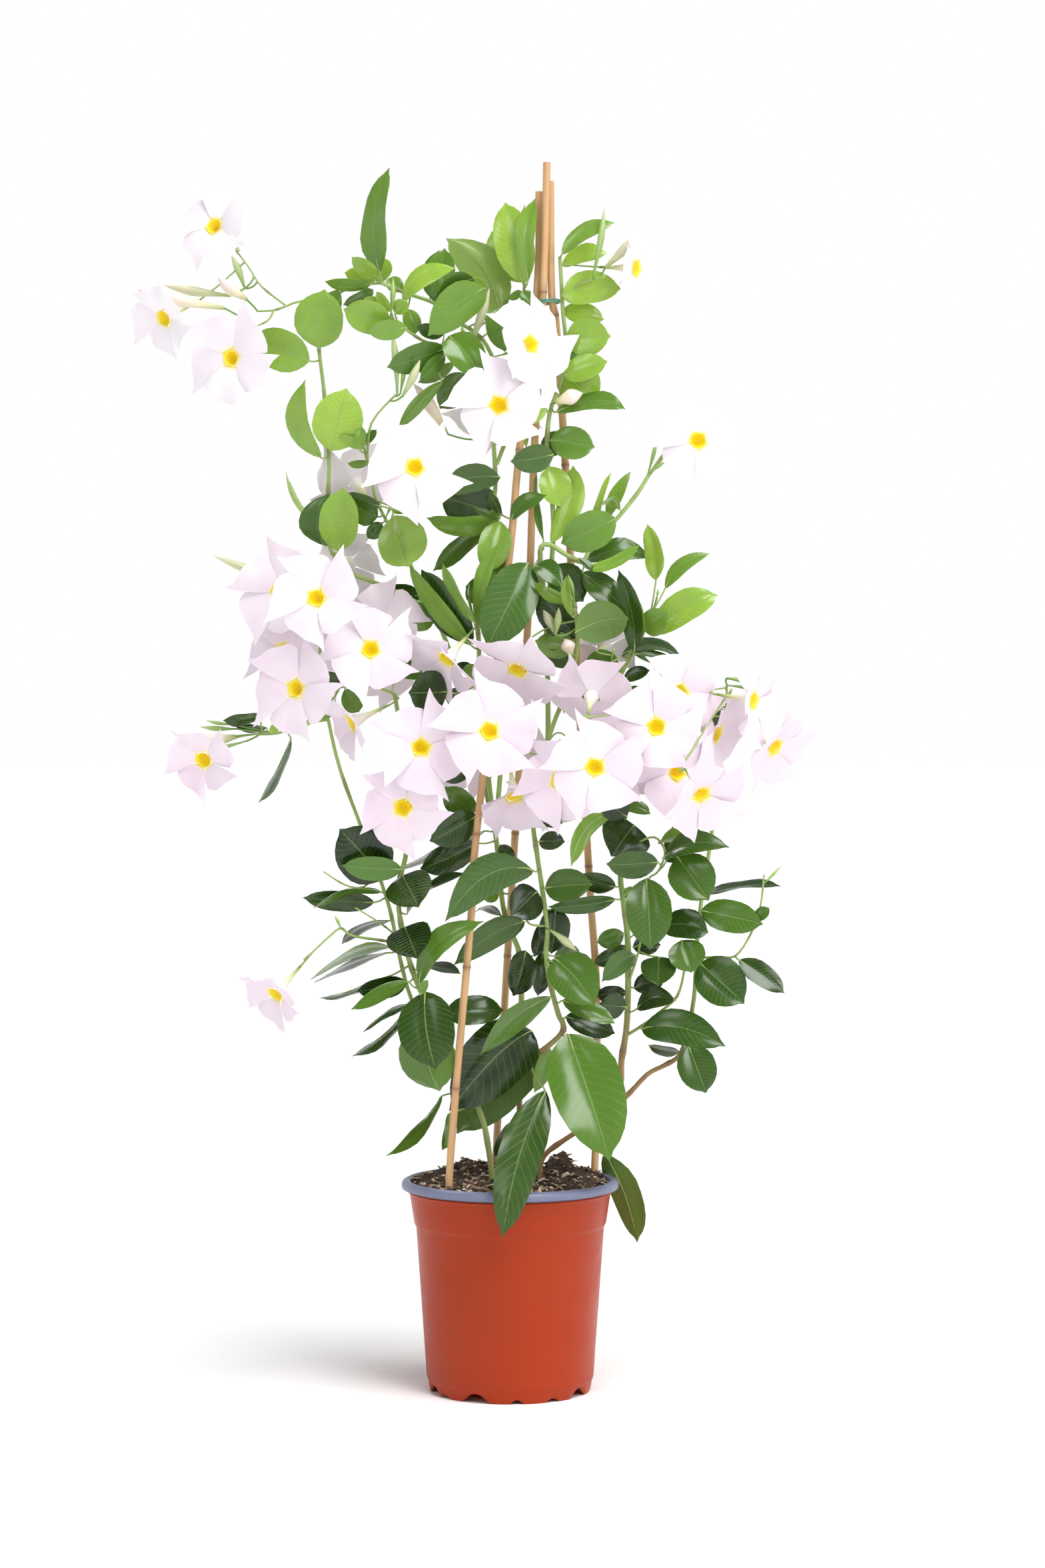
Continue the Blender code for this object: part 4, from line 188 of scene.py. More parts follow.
# Stems that fork from another: they start a hair's breadth clear of it
FORKS = {"stem_left_outer": "stem_left", "stem_front": "stem_center", "stem_right": "branch_right",
         "stem_left_tall": "stem_center", "stem_top_left": "stem_center", "stem_mid_right": "stem_front",
         "stem_top_right": "stem_mid_right", "stem_top": "stem_top_left"}

# Leaves: base x, z; tip x, z; width; turn about the midrib (0 faces the viewer, 180 shows the underside);
# depth of the base from its stem; depth of the tip from the base; age from 0 (young) to 1 (old), which also
# holds painted shade and light: darker for leaves in shade, lighter for backlit ones;
# and, where the midrib curves in the front view, its middle x, z.
LEAVES = {
    "stem_left": [
        (-6.6, 28.5, -11.95, 22.6, 3.0, 70, 0, -2, 0.3),
        (-5.9, 26.8, -6.55, 23.2, 2.0, 55, -1, -1, 0.2),
        (-6.3, 36.4, -0.6, 36.9, 3.2, 25, 1.6, 1, 0.5),
        (-8.25, 38.6, -7.2, 31.1, 5.4, 0, -3.4, -2, 0.7, -8.1, 34.8),
        (-8.0, 36.2, -6.8, 28.95, 5.4, 170, -1.2, -1, 0.4, -8.2, 32.4),
        (-8.8, 39.5, -2.6, 45.5, 2.4, 20, -1.5, -1.5, 0.4, -6.9, 43.3),
        (-8.3, 41.2, -4.8, 40.4, 2.4, 66, -2, -1, 0.9),
        (-10, 39.5, -14.9, 38.7, 2.2, 20, -1, -1, 0.9),
        (-9.9, 39.6, -15.35, 36.8, 2.6, 58, -2.4, -1.5, 0.2, -12.8, 38.9),
        (-9.8, 37.4, -14.2, 34.65, 2.0, 74, -1, -1, 0.6, -12.2, 36.7),
        (-9.9, 36.8, -15.3, 32.3, 2.6, 70, 0.6, 1, 0.7),
        (-13.2, 39.7, -18.4, 37.95, 2.0, 76, -1, 0, 0.7),
        (-8.7, 38.4, -8.0, 39.8, 0.9, 20, -4.2, -0.5, 0.2),
        (-10, 46.2, -4.2, 50.3, 3.0, 74, -1.6, -1, 0.8, -7.9, 48.2),
        (-10.2, 44.9, -9.0, 41.9, 4.4, 0, -1.2, -4.0, 0.8),
        (-10.4, 49.9, -8.9, 46.9, 4.6, 0, -1.0, -4.4, 0.8),
        (-10.5, 50.5, -16.3, 50.85, 2.4, 15, -2.4, -1, 0.3),
        (-16.0, 67.9, -14.6, 65.7, 2.2, 10, 1.6, 1, 0.3),
        (-17.0, 66.6, -18.9, 65.1, 1.6, 20, 2.2, 1, 0.4),
        (-16.0, 68.9, -19.8, 69.3, 1.8, 30, 2.0, 1, 0.9),
        (-18.6, 69.2, -18.3, 70.7, 1.5, 20, 3.0, 0, 0.3),
    ],
    "stem_left_outer": [
        (-11.7, 42.9, -19.3, 39.7, 3.0, 72, -2, -2, 0.4, -15.3, 42.8),
        (-11.8, 42.4, -18.95, 39.4, 2.4, 76, -0.4, -2, 0.9, -15.5, 41.7),
        (-13.2, 47.3, -20.1, 47.75, 2.1, 15, -1, -2, 0.8),
        (-12.5, 48.3, -19.0, 46.6, 2.4, 74, -2, -2, 0.4, -16, 48.8),
        (-11.8, 45.5, -16.3, 43.2, 2.4, 68, -0.8, 1, 0.8, -14.6, 45.0),
        (-12.1, 49.7, -16.5, 54.4, 5.4, 0, -3, -2, 0.9),
        (-21.2, 63.1, -24.3, 56.9, 2.6, 74, -1.4, -2, 0.8, -22.9, 60.1),
        (-24.2, 65.4, -27.8, 64.9, 1.8, 50, 0, -1, 0.8),
        (-23.6, 64.2, -26.8, 64.5, 1.2, 50, 1.4, 0, 1.0),
        (-22.5, 63.8, -23.1, 64.5, 1.2, 20, -1, 0, 0.1),
    ],
    "stem_center": [
        (2.1, 34.8, -5.9, 27, 6.5, 12, -2.2, -1.2, 1.0, -1.5, 32.4),
        (2.6, 33, -5.2, 24.8, 6.4, 170, -0.6, -2, 1.0, -1.4, 30.2),
        (0.5, 26, -1.55, 22.6, 2.0, 35, -2.6, -1, 0.9),
        (1.5, 42.6, 0.35, 38.2, 3.2, 30, -2.6, -1.5, 0.9),
        (3.1, 42.5, 2.7, 38.2, 2.2, 30, 1.2, 0, 0.9),
        (1.4, 45.4, -5.45, 41.2, 2.8, 20, -1.4, -1.5, 0.5, -2.0, 44.2),
        (2.6, 48.4, 0.1, 46.0, 3.6, 10, -2.2, -2, 0.9),
        (0.3, 51.3, -1.0, 52.9, 1.6, 20, -1.2, 0, 0.9),
        (-1.1, 48.3, -2.6, 47.6, 1.3, 20, -1, -0.5, 0.2),
        (-0.9, 46.0, -3.4, 46.3, 1.8, 70, -1, -1, 0.9, -2.3, 46.9),
        (-3.3, 53.0, -8.7, 50.5, 3.2, 25, -1.2, -1.4, 0.9),
        (-2.4, 54.2, -11.0, 50.2, 3.2, 72, -2, -2, 0.5, -6.8, 52.8),
        (-3.2, 55.7, -7.8, 53.2, 3.2, 15, -2.6, -1, 0.8),
        (-3.6, 55.8, -6.3, 58.5, 2.8, 15, -1.2, -1, 0.5),
        (-3.4, 60.6, -6.2, 58.9, 1.4, 20, -2, -1, 0.8),
        (-6.5, 70.2, -13.1, 70.75, 3.0, 25, -2.2, -2, 0.6),
        (-6.1, 67.7, -9.8, 67.6, 4.3, 10, -1.2, -2, 1.0),
        (-4.3, 67.7, -6.2, 67.2, 1.6, 30, -0.4, 0, 1.0),
        (-3.4, 69.5, -5.7, 69.5, 2.3, 10, 0.6, 0, 1.0),
        (-3.0, 69.8, -4.8, 69.2, 1.8, 15, -1.4, -0.5, 0.3),
        (-3.7, 72.4, -8.6, 79.5, 3.4, 12, -0.4, -1.5, 0.9, -6.4, 76.0),
        (-3.8, 72.2, -9.9, 80.0, 2.0, 30, -1.8, -1.5, 0.4, -6.9, 76.0),
        (-3.1, 74.1, -1.0, 82.2, 1.8, 40, -1.0, -1, 0.0, -2.4, 78.4),
        (-2.8, 74.0, -1.5, 79.4, 1.8, 30, 0.6, 0, 0.3),
        (-3.5, 74.4, -6.6, 80.1, 1.6, 50, -2.4, -1, 0.0, -5.0, 77.2),
        (-3.5, 74.8, -4.0, 78.1, 0.9, 40, -1.4, 0, 0.0),
        (-2.5, 77.2, -4.3, 77.9, 2.6, 10, 2.6, 0, 0.6),
        (-2.6, 72.2, -0.2, 71.3, 1.8, 20, -1.6, -0.5, 0.2),
    ],
    "stem_front": [
        (3.4, 29, -0.7, 14.7, 4.2, 12, -6.4, -4.6, 0.7, 0.6, 22.2),
        (5.6, 34.5, 9.7, 22.2, 6.9, 8, -4.6, -4.0, 0.4, 7.5, 28.9),
        (4.3, 41.8, 8.2, 37.2, 4.6, 10, -2.4, -2, 0.4, 6.2, 40.1),
        (3.9, 38.1, -2.85, 32.4, 3.0, 45, -2.2, -1, 0.4, 0, 36.2),
        (4.4, 46.8, 4.0, 42.3, 3.2, 20, 1.4, 0, 1.0),
        (3.3, 45.4, 2.4, 42.0, 1.8, 25, 2.4, 0, 1.0),
        (2.2, 50.4, -6.25, 45.4, 3.8, 15, -3.2, -2, 0.5, -2.4, 50.0),
        (3.4, 48.7, 8.0, 49.1, 3.2, 10, -1.6, -2, 0.5),
        (5.1, 37.8, 10.2, 35.6, 2.1, 25, -1.4, -1, 0.4),
        (5.4, 36.2, 10.2, 34.6, 2.6, 20, 0.8, 0.5, 1.0),
        (2.8, 53.2, 5.3, 53.2, 1.9, 20, -1.4, -1, 1.0),
        (2.7, 55.6, 5.1, 55.0, 1.7, 20, -1, 0, 0.9),
        (3.7, 33.4, 2.4, 28.8, 1.8, 30, 2.2, 0, 0.2),
        (5.2, 67.0, 4.2, 68.6, 1.4, 20, 1.2, 0, 1.0),
        (6.3, 68.2, 7.4, 64.4, 2.6, 15, 2.2, 0, 1.0),
        (6.3, 70.6, 3.0, 71.5, 1.9, 30, 1.0, 0, 0.7),
        (6.4, 72.9, 2.8, 77.5, 3.6, 10, 1.2, -0.5, 1.0),
        (6.3, 73.4, 11.5, 74.8, 4.0, 170, -1.0, -2, 0.4, 8.8, 74.5),
        (6.2, 72.0, 2.4, 72.6, 2.6, 170, 0.4, 1, 0.4),
        (6.2, 76.2, 2.2, 78.3, 2.2, 60, -0.8, -1, 0.4),
        (6.0, 75.0, 5.4, 78.9, 1.4, 50, -2.2, -0.5, 0.2),
    ],
    "stem_right": [
        (12.1, 42.2, 8.9, 39.6, 2.2, 20, -2.4, -0.6, 0.4, 10.5, 41.5),
        (11.4, 43.0, 8.1, 41.3, 1.8, 20, 1.2, 0, 0.7),
        (11.2, 37.2, 8.6, 37.4, 2.6, 20, -2.0, -1, 0.7),
        (11.2, 38.6, 8.3, 38.3, 2.0, 30, 1.2, 0, 1.0),
        (12.3, 37.0, 16.1, 37.8, 2.2, 20, -1.2, -1, 0.8, 14, 38.0),
        (12.0, 39.0, 15.0, 40.0, 2.2, 20, 0.6, 0, 1.0),
        (14.4, 42.0, 14.35, 39.2, 3.4, 0, -1.6, -3.0, 0.6),
        (16.6, 43.6, 17.6, 40.5, 3.6, 10, -1.6, -1, 0.5),
        (12.8, 35.0, 20.9, 33.35, 3.5, 12, -1.4, -2, 0.5, 16.5, 35.1),
        (13.2, 49.6, 13.6, 42.7, 4.4, 5, -2.0, -1.5, 0.5, 13.4, 46.2),
        (14.3, 51.2, 9.3, 51.0, 2.8, 20, -1.4, -1, 0.6),
        (12.0, 54.8, 9.8, 51.8, 5.0, 0, -1.0, -3.4, 0.9),
        (14.5, 45.0, 19.2, 44.35, 3.0, 15, -1, -1.6, 0.6, 17.3, 45.1),
        (16.2, 51.7, 19.25, 47.5, 4.4, 5, -1.2, -1.6, 0.5),
        (14.9, 51.6, 21.2, 52.75, 3.0, 70, -0.6, -2, 0.7, 17.5, 52.8),
        (14.6, 53.2, 18.8, 54.1, 2.4, 55, 0.8, 0, 0.2),
        (10.2, 48.8, 6.5, 49.9, 2.2, 30, -1.2, -1, 0.8),
        (11.1, 48.6, 12.0, 47.8, 1.3, 10, -2.4, 0, 0.0),
        (10.2, 47.6, 3.7, 46.8, 1.8, 30, -1.6, -1.4, 0.5),
        (9.6, 55.8, 5.95, 50.75, 2.0, 30, -3, -1.5, 0.1, 7.0, 54.4),
        (11.0, 44.3, 8.4, 43.4, 2.0, 20, -0.8, 0, 0.4),
        (11.9, 43.0, 14.6, 43.2, 2.1, 20, 1, 0, 1.0),
        (11.3, 55.6, 8.9, 57.4, 2.7, 15, -1.6, -0.6, 1.0),
        (10.9, 56.8, 13.6, 55.9, 1.7, 40, -1.8, -1, 0.3),
        (10.4, 70.9, 7.2, 69.8, 3.0, 15, 1.2, 0.5, 0.5),
        (11.0, 68.9, 13.5, 69.8, 1.5, 30, -1, -0.5, 1.0),
        (10.8, 71.2, 17.0, 70.5, 3.2, 66, 1.6, 1, 0.8, 14, 71.9),
        (12.0, 71.4, 16.6, 69.9, 2.0, 50, 2.8, 1, 0.9),
        (9.8, 67.0, 13.3, 67.4, 2.6, 60, -1.6, -1.5, 0.4),
        (9.2, 67.0, 6.2, 66.9, 2.4, 60, -2.4, -1.0, 0.5),
        (12.0, 71.6, 10.4, 79.5, 2.2, 20, -1.6, 0, 0.9, 11.9, 75.4),
        (12.6, 72.8, 11.8, 77.3, 1.8, 20, -1.0, -1, 0.2),
        (13.0, 73.6, 15.3, 75.4, 2.6, 10, -1.6, -1.5, 0.2),
        (13.7, 73.3, 20.1, 77.05, 3.1, 8, 0.4, 0, 0.3, 16.9, 75.9),
        (15.0, 77.7, 19.3, 81.1, 1.6, 30, 0.6, 0.5, 0.2, 16.8, 79.8),
        (14.1, 78.5, 13.2, 83.9, 2.2, 35, -0.8, 0, 0.2, 14.1, 81.2),
    ],
    "branch_right": [
        (9.2, 22.9, 12.4, 14.3, 3.8, 165, 1.6, 2.0, 0.2, 11.0, 18.6),
        (17.3, 33.4, 19.0, 28.8, 3.7, 5, -2.2, -1, 0.6),
        (18.4, 41.4, 22.7, 37.5, 4.6, 5, -1.6, -2, 0.6),
        (22.2, 41.7, 26.6, 38.5, 2.4, 25, -0.8, -1.4, 0.7),
        (18.5, 46.5, 24.5, 45.2, 3.2, 10, -2.6, -1.6, 0.5),
        (19.0, 48.1, 26.2, 49.0, 2.8, 72, 0, -1, 0.8),
        (23.8, 45.6, 25.1, 46.8, 1.4, 30, -0.6, 0, 0.4),
        (16.4, 32.8, 13.4, 33.4, 2.0, 60, 1.2, 0, 0.8),
    ],
    "stem_left_tall": [
        (-16.6, 81.3, -16.1, 87.4, 3.8, 5, -1.6, -1.5, 0.3, -16.5, 84.4),
        (-17.9, 81.8, -17.5, 86.9, 3.4, 25, 0.8, -0.5, 0.7, -18.6, 84.2),
        (-12.6, 85.6, -15.7, 86.9, 1.6, 35, 0.8, 0, 0.9),
        (-12.8, 84.6, -15.0, 85.5, 2.6, 10, 1.8, 0, 0.7),
        (-12.4, 84.0, -13.8, 82.5, 1.6, 20, 1.4, 0, 0.8),
        (-11.3, 85.0, -10.0, 86.6, 2.0, 15, 0.8, 0, 0.5),
        (-11.2, 84.7, -9.8, 79.7, 4.8, 172, -2.4, -2.6, 0.3),
        (-18.2, 83.0, -21.8, 88.9, 1.8, 50, 1.2, 0, 0.0),
        (-18.3, 90.3, -19.9, 97.8, 3.0, 45, -1.4, 0, 0.5, -20.3, 93.8),
        (-17.3, 91.0, -15.8, 97.0, 4.8, 3, -1.6, -1.4, 0.3),
        (-18.5, 100.9, -17.9, 106.5, 4.7, 5, -1.6, -1.6, 0.6, -18.4, 103.8),
        (-19.4, 99.6, -24.9, 102.0, 4.0, 10, -0.6, 0, 0.4),
        (-18.1, 101.3, -16.6, 106.7, 3.0, 40, 1.2, 0.5, 0.8),
        (-8.6, 77.0, -12.9, 77.1, 2.6, 25, 1.6, 0, 1.0),
        (-9.6, 76.9, -16.0, 75.2, 2.0, 35, -1.2, -1, 0.8, -13.4, 76.5),
        (-9.4, 76.4, -12.4, 75.4, 2.0, 20, 2.6, 0, 0.9),
        (-7.2, 75.2, -10.3, 74.7, 2.8, 10, -1.2, -1, 0.5),
        (-13.7, 89.8, -15.7, 89.7, 0.9, 30, -1.2, -1, 0.5),
        (-14.1, 91.4, -16.6, 92.4, 1.2, 30, -1.4, 0, 0.4),
        (-14.5, 91.0, -14.3, 93.3, 1.4, 30, -1, 0, 0.4),
        (-14.0, 91.6, -12.9, 93.0, 1.0, 30, 1.4, 0, 0.8),
    ],
    "stem_top_left": [
        (-11.6, 103.3, -16.1, 104.6, 3.2, 8, -1.6, -1, 0.6),
        (-10.0, 102.8, -13.8, 102.5, 2.0, 15, -2.4, -1, 0.1),
        (-12.6, 108.2, -11.8, 118.3, 3.4, 45, 0, 1, 0.7, -12.78, 113.0),
        (-12.7, 107.6, -15.3, 109.6, 1.7, 20, -1.4, -1, 0.5),
        (-13.0, 107.5, -16.0, 108.1, 1.8, 20, 1.0, 0, 0.2),
        (-11.9, 107.4, -10.3, 106.4, 1.6, 20, 1.2, 0, 0.4),
        (-12.2, 107.3, -12.9, 109.5, 2.6, 15, 1.4, 0.5, 0.5),
        (-13.4, 107.0, -17.9, 107.2, 1.6, 40, -0.6, -1, 0.3),
        (-13.2, 106.4, -16.1, 105.0, 1.8, 40, -0.2, -0.5, 0.9),
        (-11.9, 104.2, -14.1, 105.7, 1.8, 20, -0.8, 0, 0.4),
        (-11.5, 104.4, -12.9, 106.3, 1.2, 30, -1.6, 0, 0.2),
        (-11.1, 104.2, -9.9, 105.4, 1.6, 20, -0.8, 0, 0.5),
        (-9.9, 104.6, -9.2, 102.1, 1.8, 20, 1.2, 0, 0.3),
        (-10.4, 105.4, -5.3, 108.6, 2.2, 30, -2.0, -1.5, 0.4, -8.4, 107.6),
        (-2.4, 106.5, -7.9, 102.0, 3.8, 12, -3.4, -1.5, 0.6, -5.2, 105.1),
        (-3.4, 107.4, -7.5, 104.3, 2.6, 30, -2.6, -1, 0.9, -5.5, 106.9),
        (-6.4, 102.2, -9.0, 102.9, 1.6, 25, 1.2, 0, 1.0),
        (-7.1, 105.2, -6.3, 110.5, 2.9, 10, 1.2, 0.5, 0.9),
        (-7.7, 105.8, -6.9, 110.3, 2.2, 30, 2.4, 0.5, 0.7),
        (-1.0, 103.6, -6.2, 111.4, 4.2, 172, 1.2, 0, 0.1, -2.4, 108.4),
        (-2.3, 106.8, -5.0, 108.2, 1.2, 30, -1, -1, 0.1),
        (-1.2, 104.6, -0.5, 100.5, 3.0, 12, -2.4, -1, 1.0),
        (-1.9, 104.4, -2.2, 103.3, 1.4, 20, -0.6, 0, 0.4),
        (-5.9, 102.0, -2.6, 97.8, 3.6, 15, -2.2, -1.5, 0.9, -4.4, 100.4),
        (-6.3, 100.8, -11.9, 99.0, 2.8, 15, -0.6, -1.4, 0.9),
        (-6.3, 100.2, -8.7, 97.9, 1.6, 20, -1.8, -1, 0.9),
        (-5.4, 99.4, -8.9, 97.5, 1.4, 30, 1.0, 0, 0.6),
        (-4.4, 98.4, -6.8, 95.0, 3.0, 10, 1.2, 0, 1.0),
        (-6.6, 97.6, -10.8, 93.0, 1.6, 35, 0.6, 0, 0.5, -9.0, 95.6),
        (-0.8, 84.9, -6.8, 86.6, 4.6, 8, 0.8, 1, 1.0),
        (-1.0, 88.4, -6.9, 87.0, 2.8, 15, -1.6, -1, 0.9, -4.0, 88.4),
        (-0.9, 84.7, -2.0, 87.1, 1.2, 40, -2.2, -0.5, 1.0),
        (-1.0, 84.6, -3.5, 85.5, 1.2, 50, -2.2, -1, 0.8),
        (-1.0, 84.4, -8.1, 84.5, 2.2, 25, -0.8, 0, 0.4, -4.6, 83.8),
        (-1.6, 84.0, -7.4, 79.3, 2.4, 40, -1.2, -1, 0.8, -5.0, 82.0),
        (-0.9, 84.1, -2.4, 79.2, 3.2, 10, -2.0, -1, 0.5),
        (0.1, 84.4, 3.5, 86.7, 1.8, 55, -3.2, -1, 0.8, 1.4, 85.8),
        (-0.2, 81.0, -2.6, 78.6, 1.4, 30, -2.6, 0, 0.7),
    ],
    "stem_mid_right": [
        (1.7, 80.1, -2.3, 71.9, 5.0, 8, -0.8, -1.5, 0.7, -0.2, 76.2),
        (2.3, 79.8, 5.1, 77.7, 2.2, 25, -1.2, -1, 0.8, 3.7, 79.3),
        (4.3, 79.9, 7.1, 76.4, 3.4, 10, 0.4, 0, 1.0),
        (10.2, 84.4, 4.9, 82.0, 3.8, 8, -0.6, 0.5, 0.6),
        (10.6, 85.3, 8.6, 85.6, 1.6, 60, -0.6, -0.5, 0.1, 9.8, 86.3),
        (9.4, 84.4, 11.6, 89.0, 1.6, 40, 2.4, 1, 0.0),
        (7.9, 83.0, 9.7, 88.9, 0.9, 40, -2.6, -0.5, 0.0),
        (7.5, 79.6, 12.5, 82.0, 2.0, 55, -1.6, -1, 0.2, 10.3, 80.0),
        (7.3, 80.3, 13.6, 80.7, 2.8, 68, 0.8, 0, 0.8, 10.5, 81.2),
        (6.7, 80.6, 8.0, 79.4, 1.0, 40, -1.4, -0.5, 0.9),
        (7.0, 79.2, 11.3, 75.6, 2.8, 20, 1.6, 0, 0.9),
        (4.0, 82.1, 6.0, 89.6, 2.6, 25, 3.6, 0.5, 0.3, 6.1, 86.0),
        (3.2, 82.4, 2.5, 88.9, 0.9, 50, 1.2, 0, 0.5),
    ],
    "stem_top_right": [
        (5.0, 109.9, 10.1, 113.0, 1.8, 30, -1.2, -0.5, 0.4, 7.2, 111.8),
        (5.0, 108.8, 9.4, 110.0, 2.0, 30, 0.8, -0.5, 0.4, 7.2, 109.9),
        (5.0, 105.9, 10.8, 106.6, 3.2, 8, -0.6, 0, 0.5, 7.6, 106.7),
        (5.1, 104.5, 9.1, 103.6, 2.2, 20, 0.8, 0, 0.5),
        (5.4, 101.8, 9.7, 102.0, 3.6, 5, -1.4, -1, 0.4),
        (5.3, 100.2, 8.2, 100.2, 1.8, 30, 0.9, 0, 0.8),
        (5.2, 98.2, 9.4, 99.6, 2.6, 20, -1.6, -1, 0.2),
        (5.0, 98.6, 8.5, 95.9, 4.2, 5, 0.6, 0, 0.4),
        (4.4, 94.7, 11.1, 95.05, 1.9, 25, -1.4, -1, 0.8, 8.4, 95.7),
        (3.9, 92.0, 8.2, 91.3, 3.2, 10, -0.6, -0.5, 0.7),
        (3.5, 90.4, 4.9, 92.9, 2.2, 15, -0.2, 0, 0.8),
        (4.2, 90.6, 0.05, 89.9, 2.8, 20, -1.8, -1, 0.9),
        (3.7, 89.4, 5.0, 85.5, 3.2, 15, 0.2, 0, 0.4),
        (3.5, 95.0, 1.4, 93.6, 1.1, 30, -1.6, -0.5, 0.4),
    ],
    "stem_top": [
        (1.4, 107.1, -0.5, 114.9, 3.8, 10, -0.8, 0, 0.1, 0.4, 111.2),
        (1.2, 107.2, -1.8, 112.1, 2.8, 20, 0.8, 0, 0.5, -0.6, 109.9),
        (1.7, 107.3, 2.4, 115.3, 2.0, 25, -1.6, 0, 0.1, 1.7, 111.6),
        (1.4, 107.0, 1.3, 114.7, 1.0, 40, 1.6, 0, 0.0),
        (1.1, 106.3, 2.4, 105.0, 1.4, 20, -2.6, -0.5, 0.9),
        (1.1, 106.3, -0.2, 105.6, 0.9, 30, -0.4, -0.5, 0.8),
        (0.4, 95.4, 1.6, 91.2, 1.4, 50, -2.2, -0.5, 0.3),
    ],
}

# Buds: base x, z; tip x, z; greatest radius; depth from the stem
BUDS = {
    "stem_left": [(-19.0, 65.1, -20.1, 64.4, 0.3, 1.6), (-6.9, 55.6, -7.6, 57.3, 0.2, -0.6)],
    "stem_left_outer": [(-26.6, 63.4, -30.7, 63.0, 0.6, 0), (-25.6, 62.9, -29.4, 62.1, 0.22, -0.6),
                        (-26.4, 64.1, -30.0, 64.3, 0.25, 0.6), (-26.8, 64.5, -29.4, 64.9, 0.18, 1.2),
                        (-18.8, 79.6, -20.7, 80.8, 0.2, -1), (-21.4, 78.4, -28.6, 80.8, 0.42, -1),
                        (-21.6, 78.6, -24.2, 80.6, 0.3, 0.4), (-16.4, 44.9, -17.0, 46.0, 0.16, 0)],
    "stem_center": [(-6.3, 67.3, -5.2, 65.9, 0.25, -0.8)],
    "stem_front": [(6.2, 76.4, 4.4, 78.7, 0.28, -0.6), (6.2, 76.6, 5.6, 79.0, 0.24, 0.4),
                   (4.6, 66.9, 4.8, 68.3, 0.16, -0.8), (5.3, 66.4, 5.2, 65.6, 0.16, -0.6),
                   (4.4, 73.2, 3.2, 75.6, 0.45, -0.2), (4.4, 73.2, 4.7, 75.8, 0.36, -0.8),
                   (5.9, 71.2, 5.3, 72.8, 0.7, -0.8), (3.9, 44.6, 6.4, 42.6, 0.4, -1.6)],
    "stem_right": [(9.8, 71.0, 10.1, 72.0, 0.14, -0.3), (14.2, 76.8, 14.3, 77.6, 0.12, -0.4)],
    "branch_right": [(21.0, 69.0, 24.6, 68.3, 0.35, -0.6), (21.0, 68.3, 23.8, 67.9, 0.18, 0.3),
                     (21.3, 65.9, 23.2, 64.3, 0.35, -0.8), (24.5, 49.0, 26.2, 50.8, 0.14, 0)],
    "stem_left_tall": [(-10.9, 96.6, -11.4, 102.4, 0.36, 0), (-10.6, 96.5, -10.2, 99.6, 0.22, 0.7),
                       (-10.4, 96.2, -8.7, 99.7, 0.42, -0.6), (-12.0, 84.6, -11.4, 86.0, 0.16, -0.8)],
    "stem_top_left": [(-6.1, 92.6, -9.3, 97.4, 0.62, -1.4), (-3.9, 101.1, -2.0, 106.6, 0.45, -1.0),
                      (-11.5, 104.1, -11.3, 107.6, 0.25, -1.0), (-4.4, 101.6, -4.7, 103.0, 0.2, -1.2),
                      (-25.4, 105.5, -28.2, 107.6, 0.62, -0.6), (-25.6, 106.6, -26.9, 109.8, 0.35, 0.4),
                      (-27.6, 104.7, -36.0, 106.5, 0.62, -0.6), (-26.4, 110.2, -26.8, 111.6, 0.16, 0),
                      (-27.0, 105.9, -33.4, 106.9, 0.45, 0.8)],
    "stem_mid_right": [(13.6, 88.9, 15.0, 89.9, 0.18, -0.6), (13.3, 88.7, 14.2, 92.4, 0.2, 0.6),
                       (14.9, 90.7, 15.8, 91.6, 0.16, 0)],
    "stem_top_right": [(8.0, 107.7, 9.1, 114.3, 0.32, 0.6), (4.4, 95.6, 7.0, 96.5, 0.75, -1.6),
                       (9.2, 108.6, 12.2, 111.8, 0.5, 0)],
}

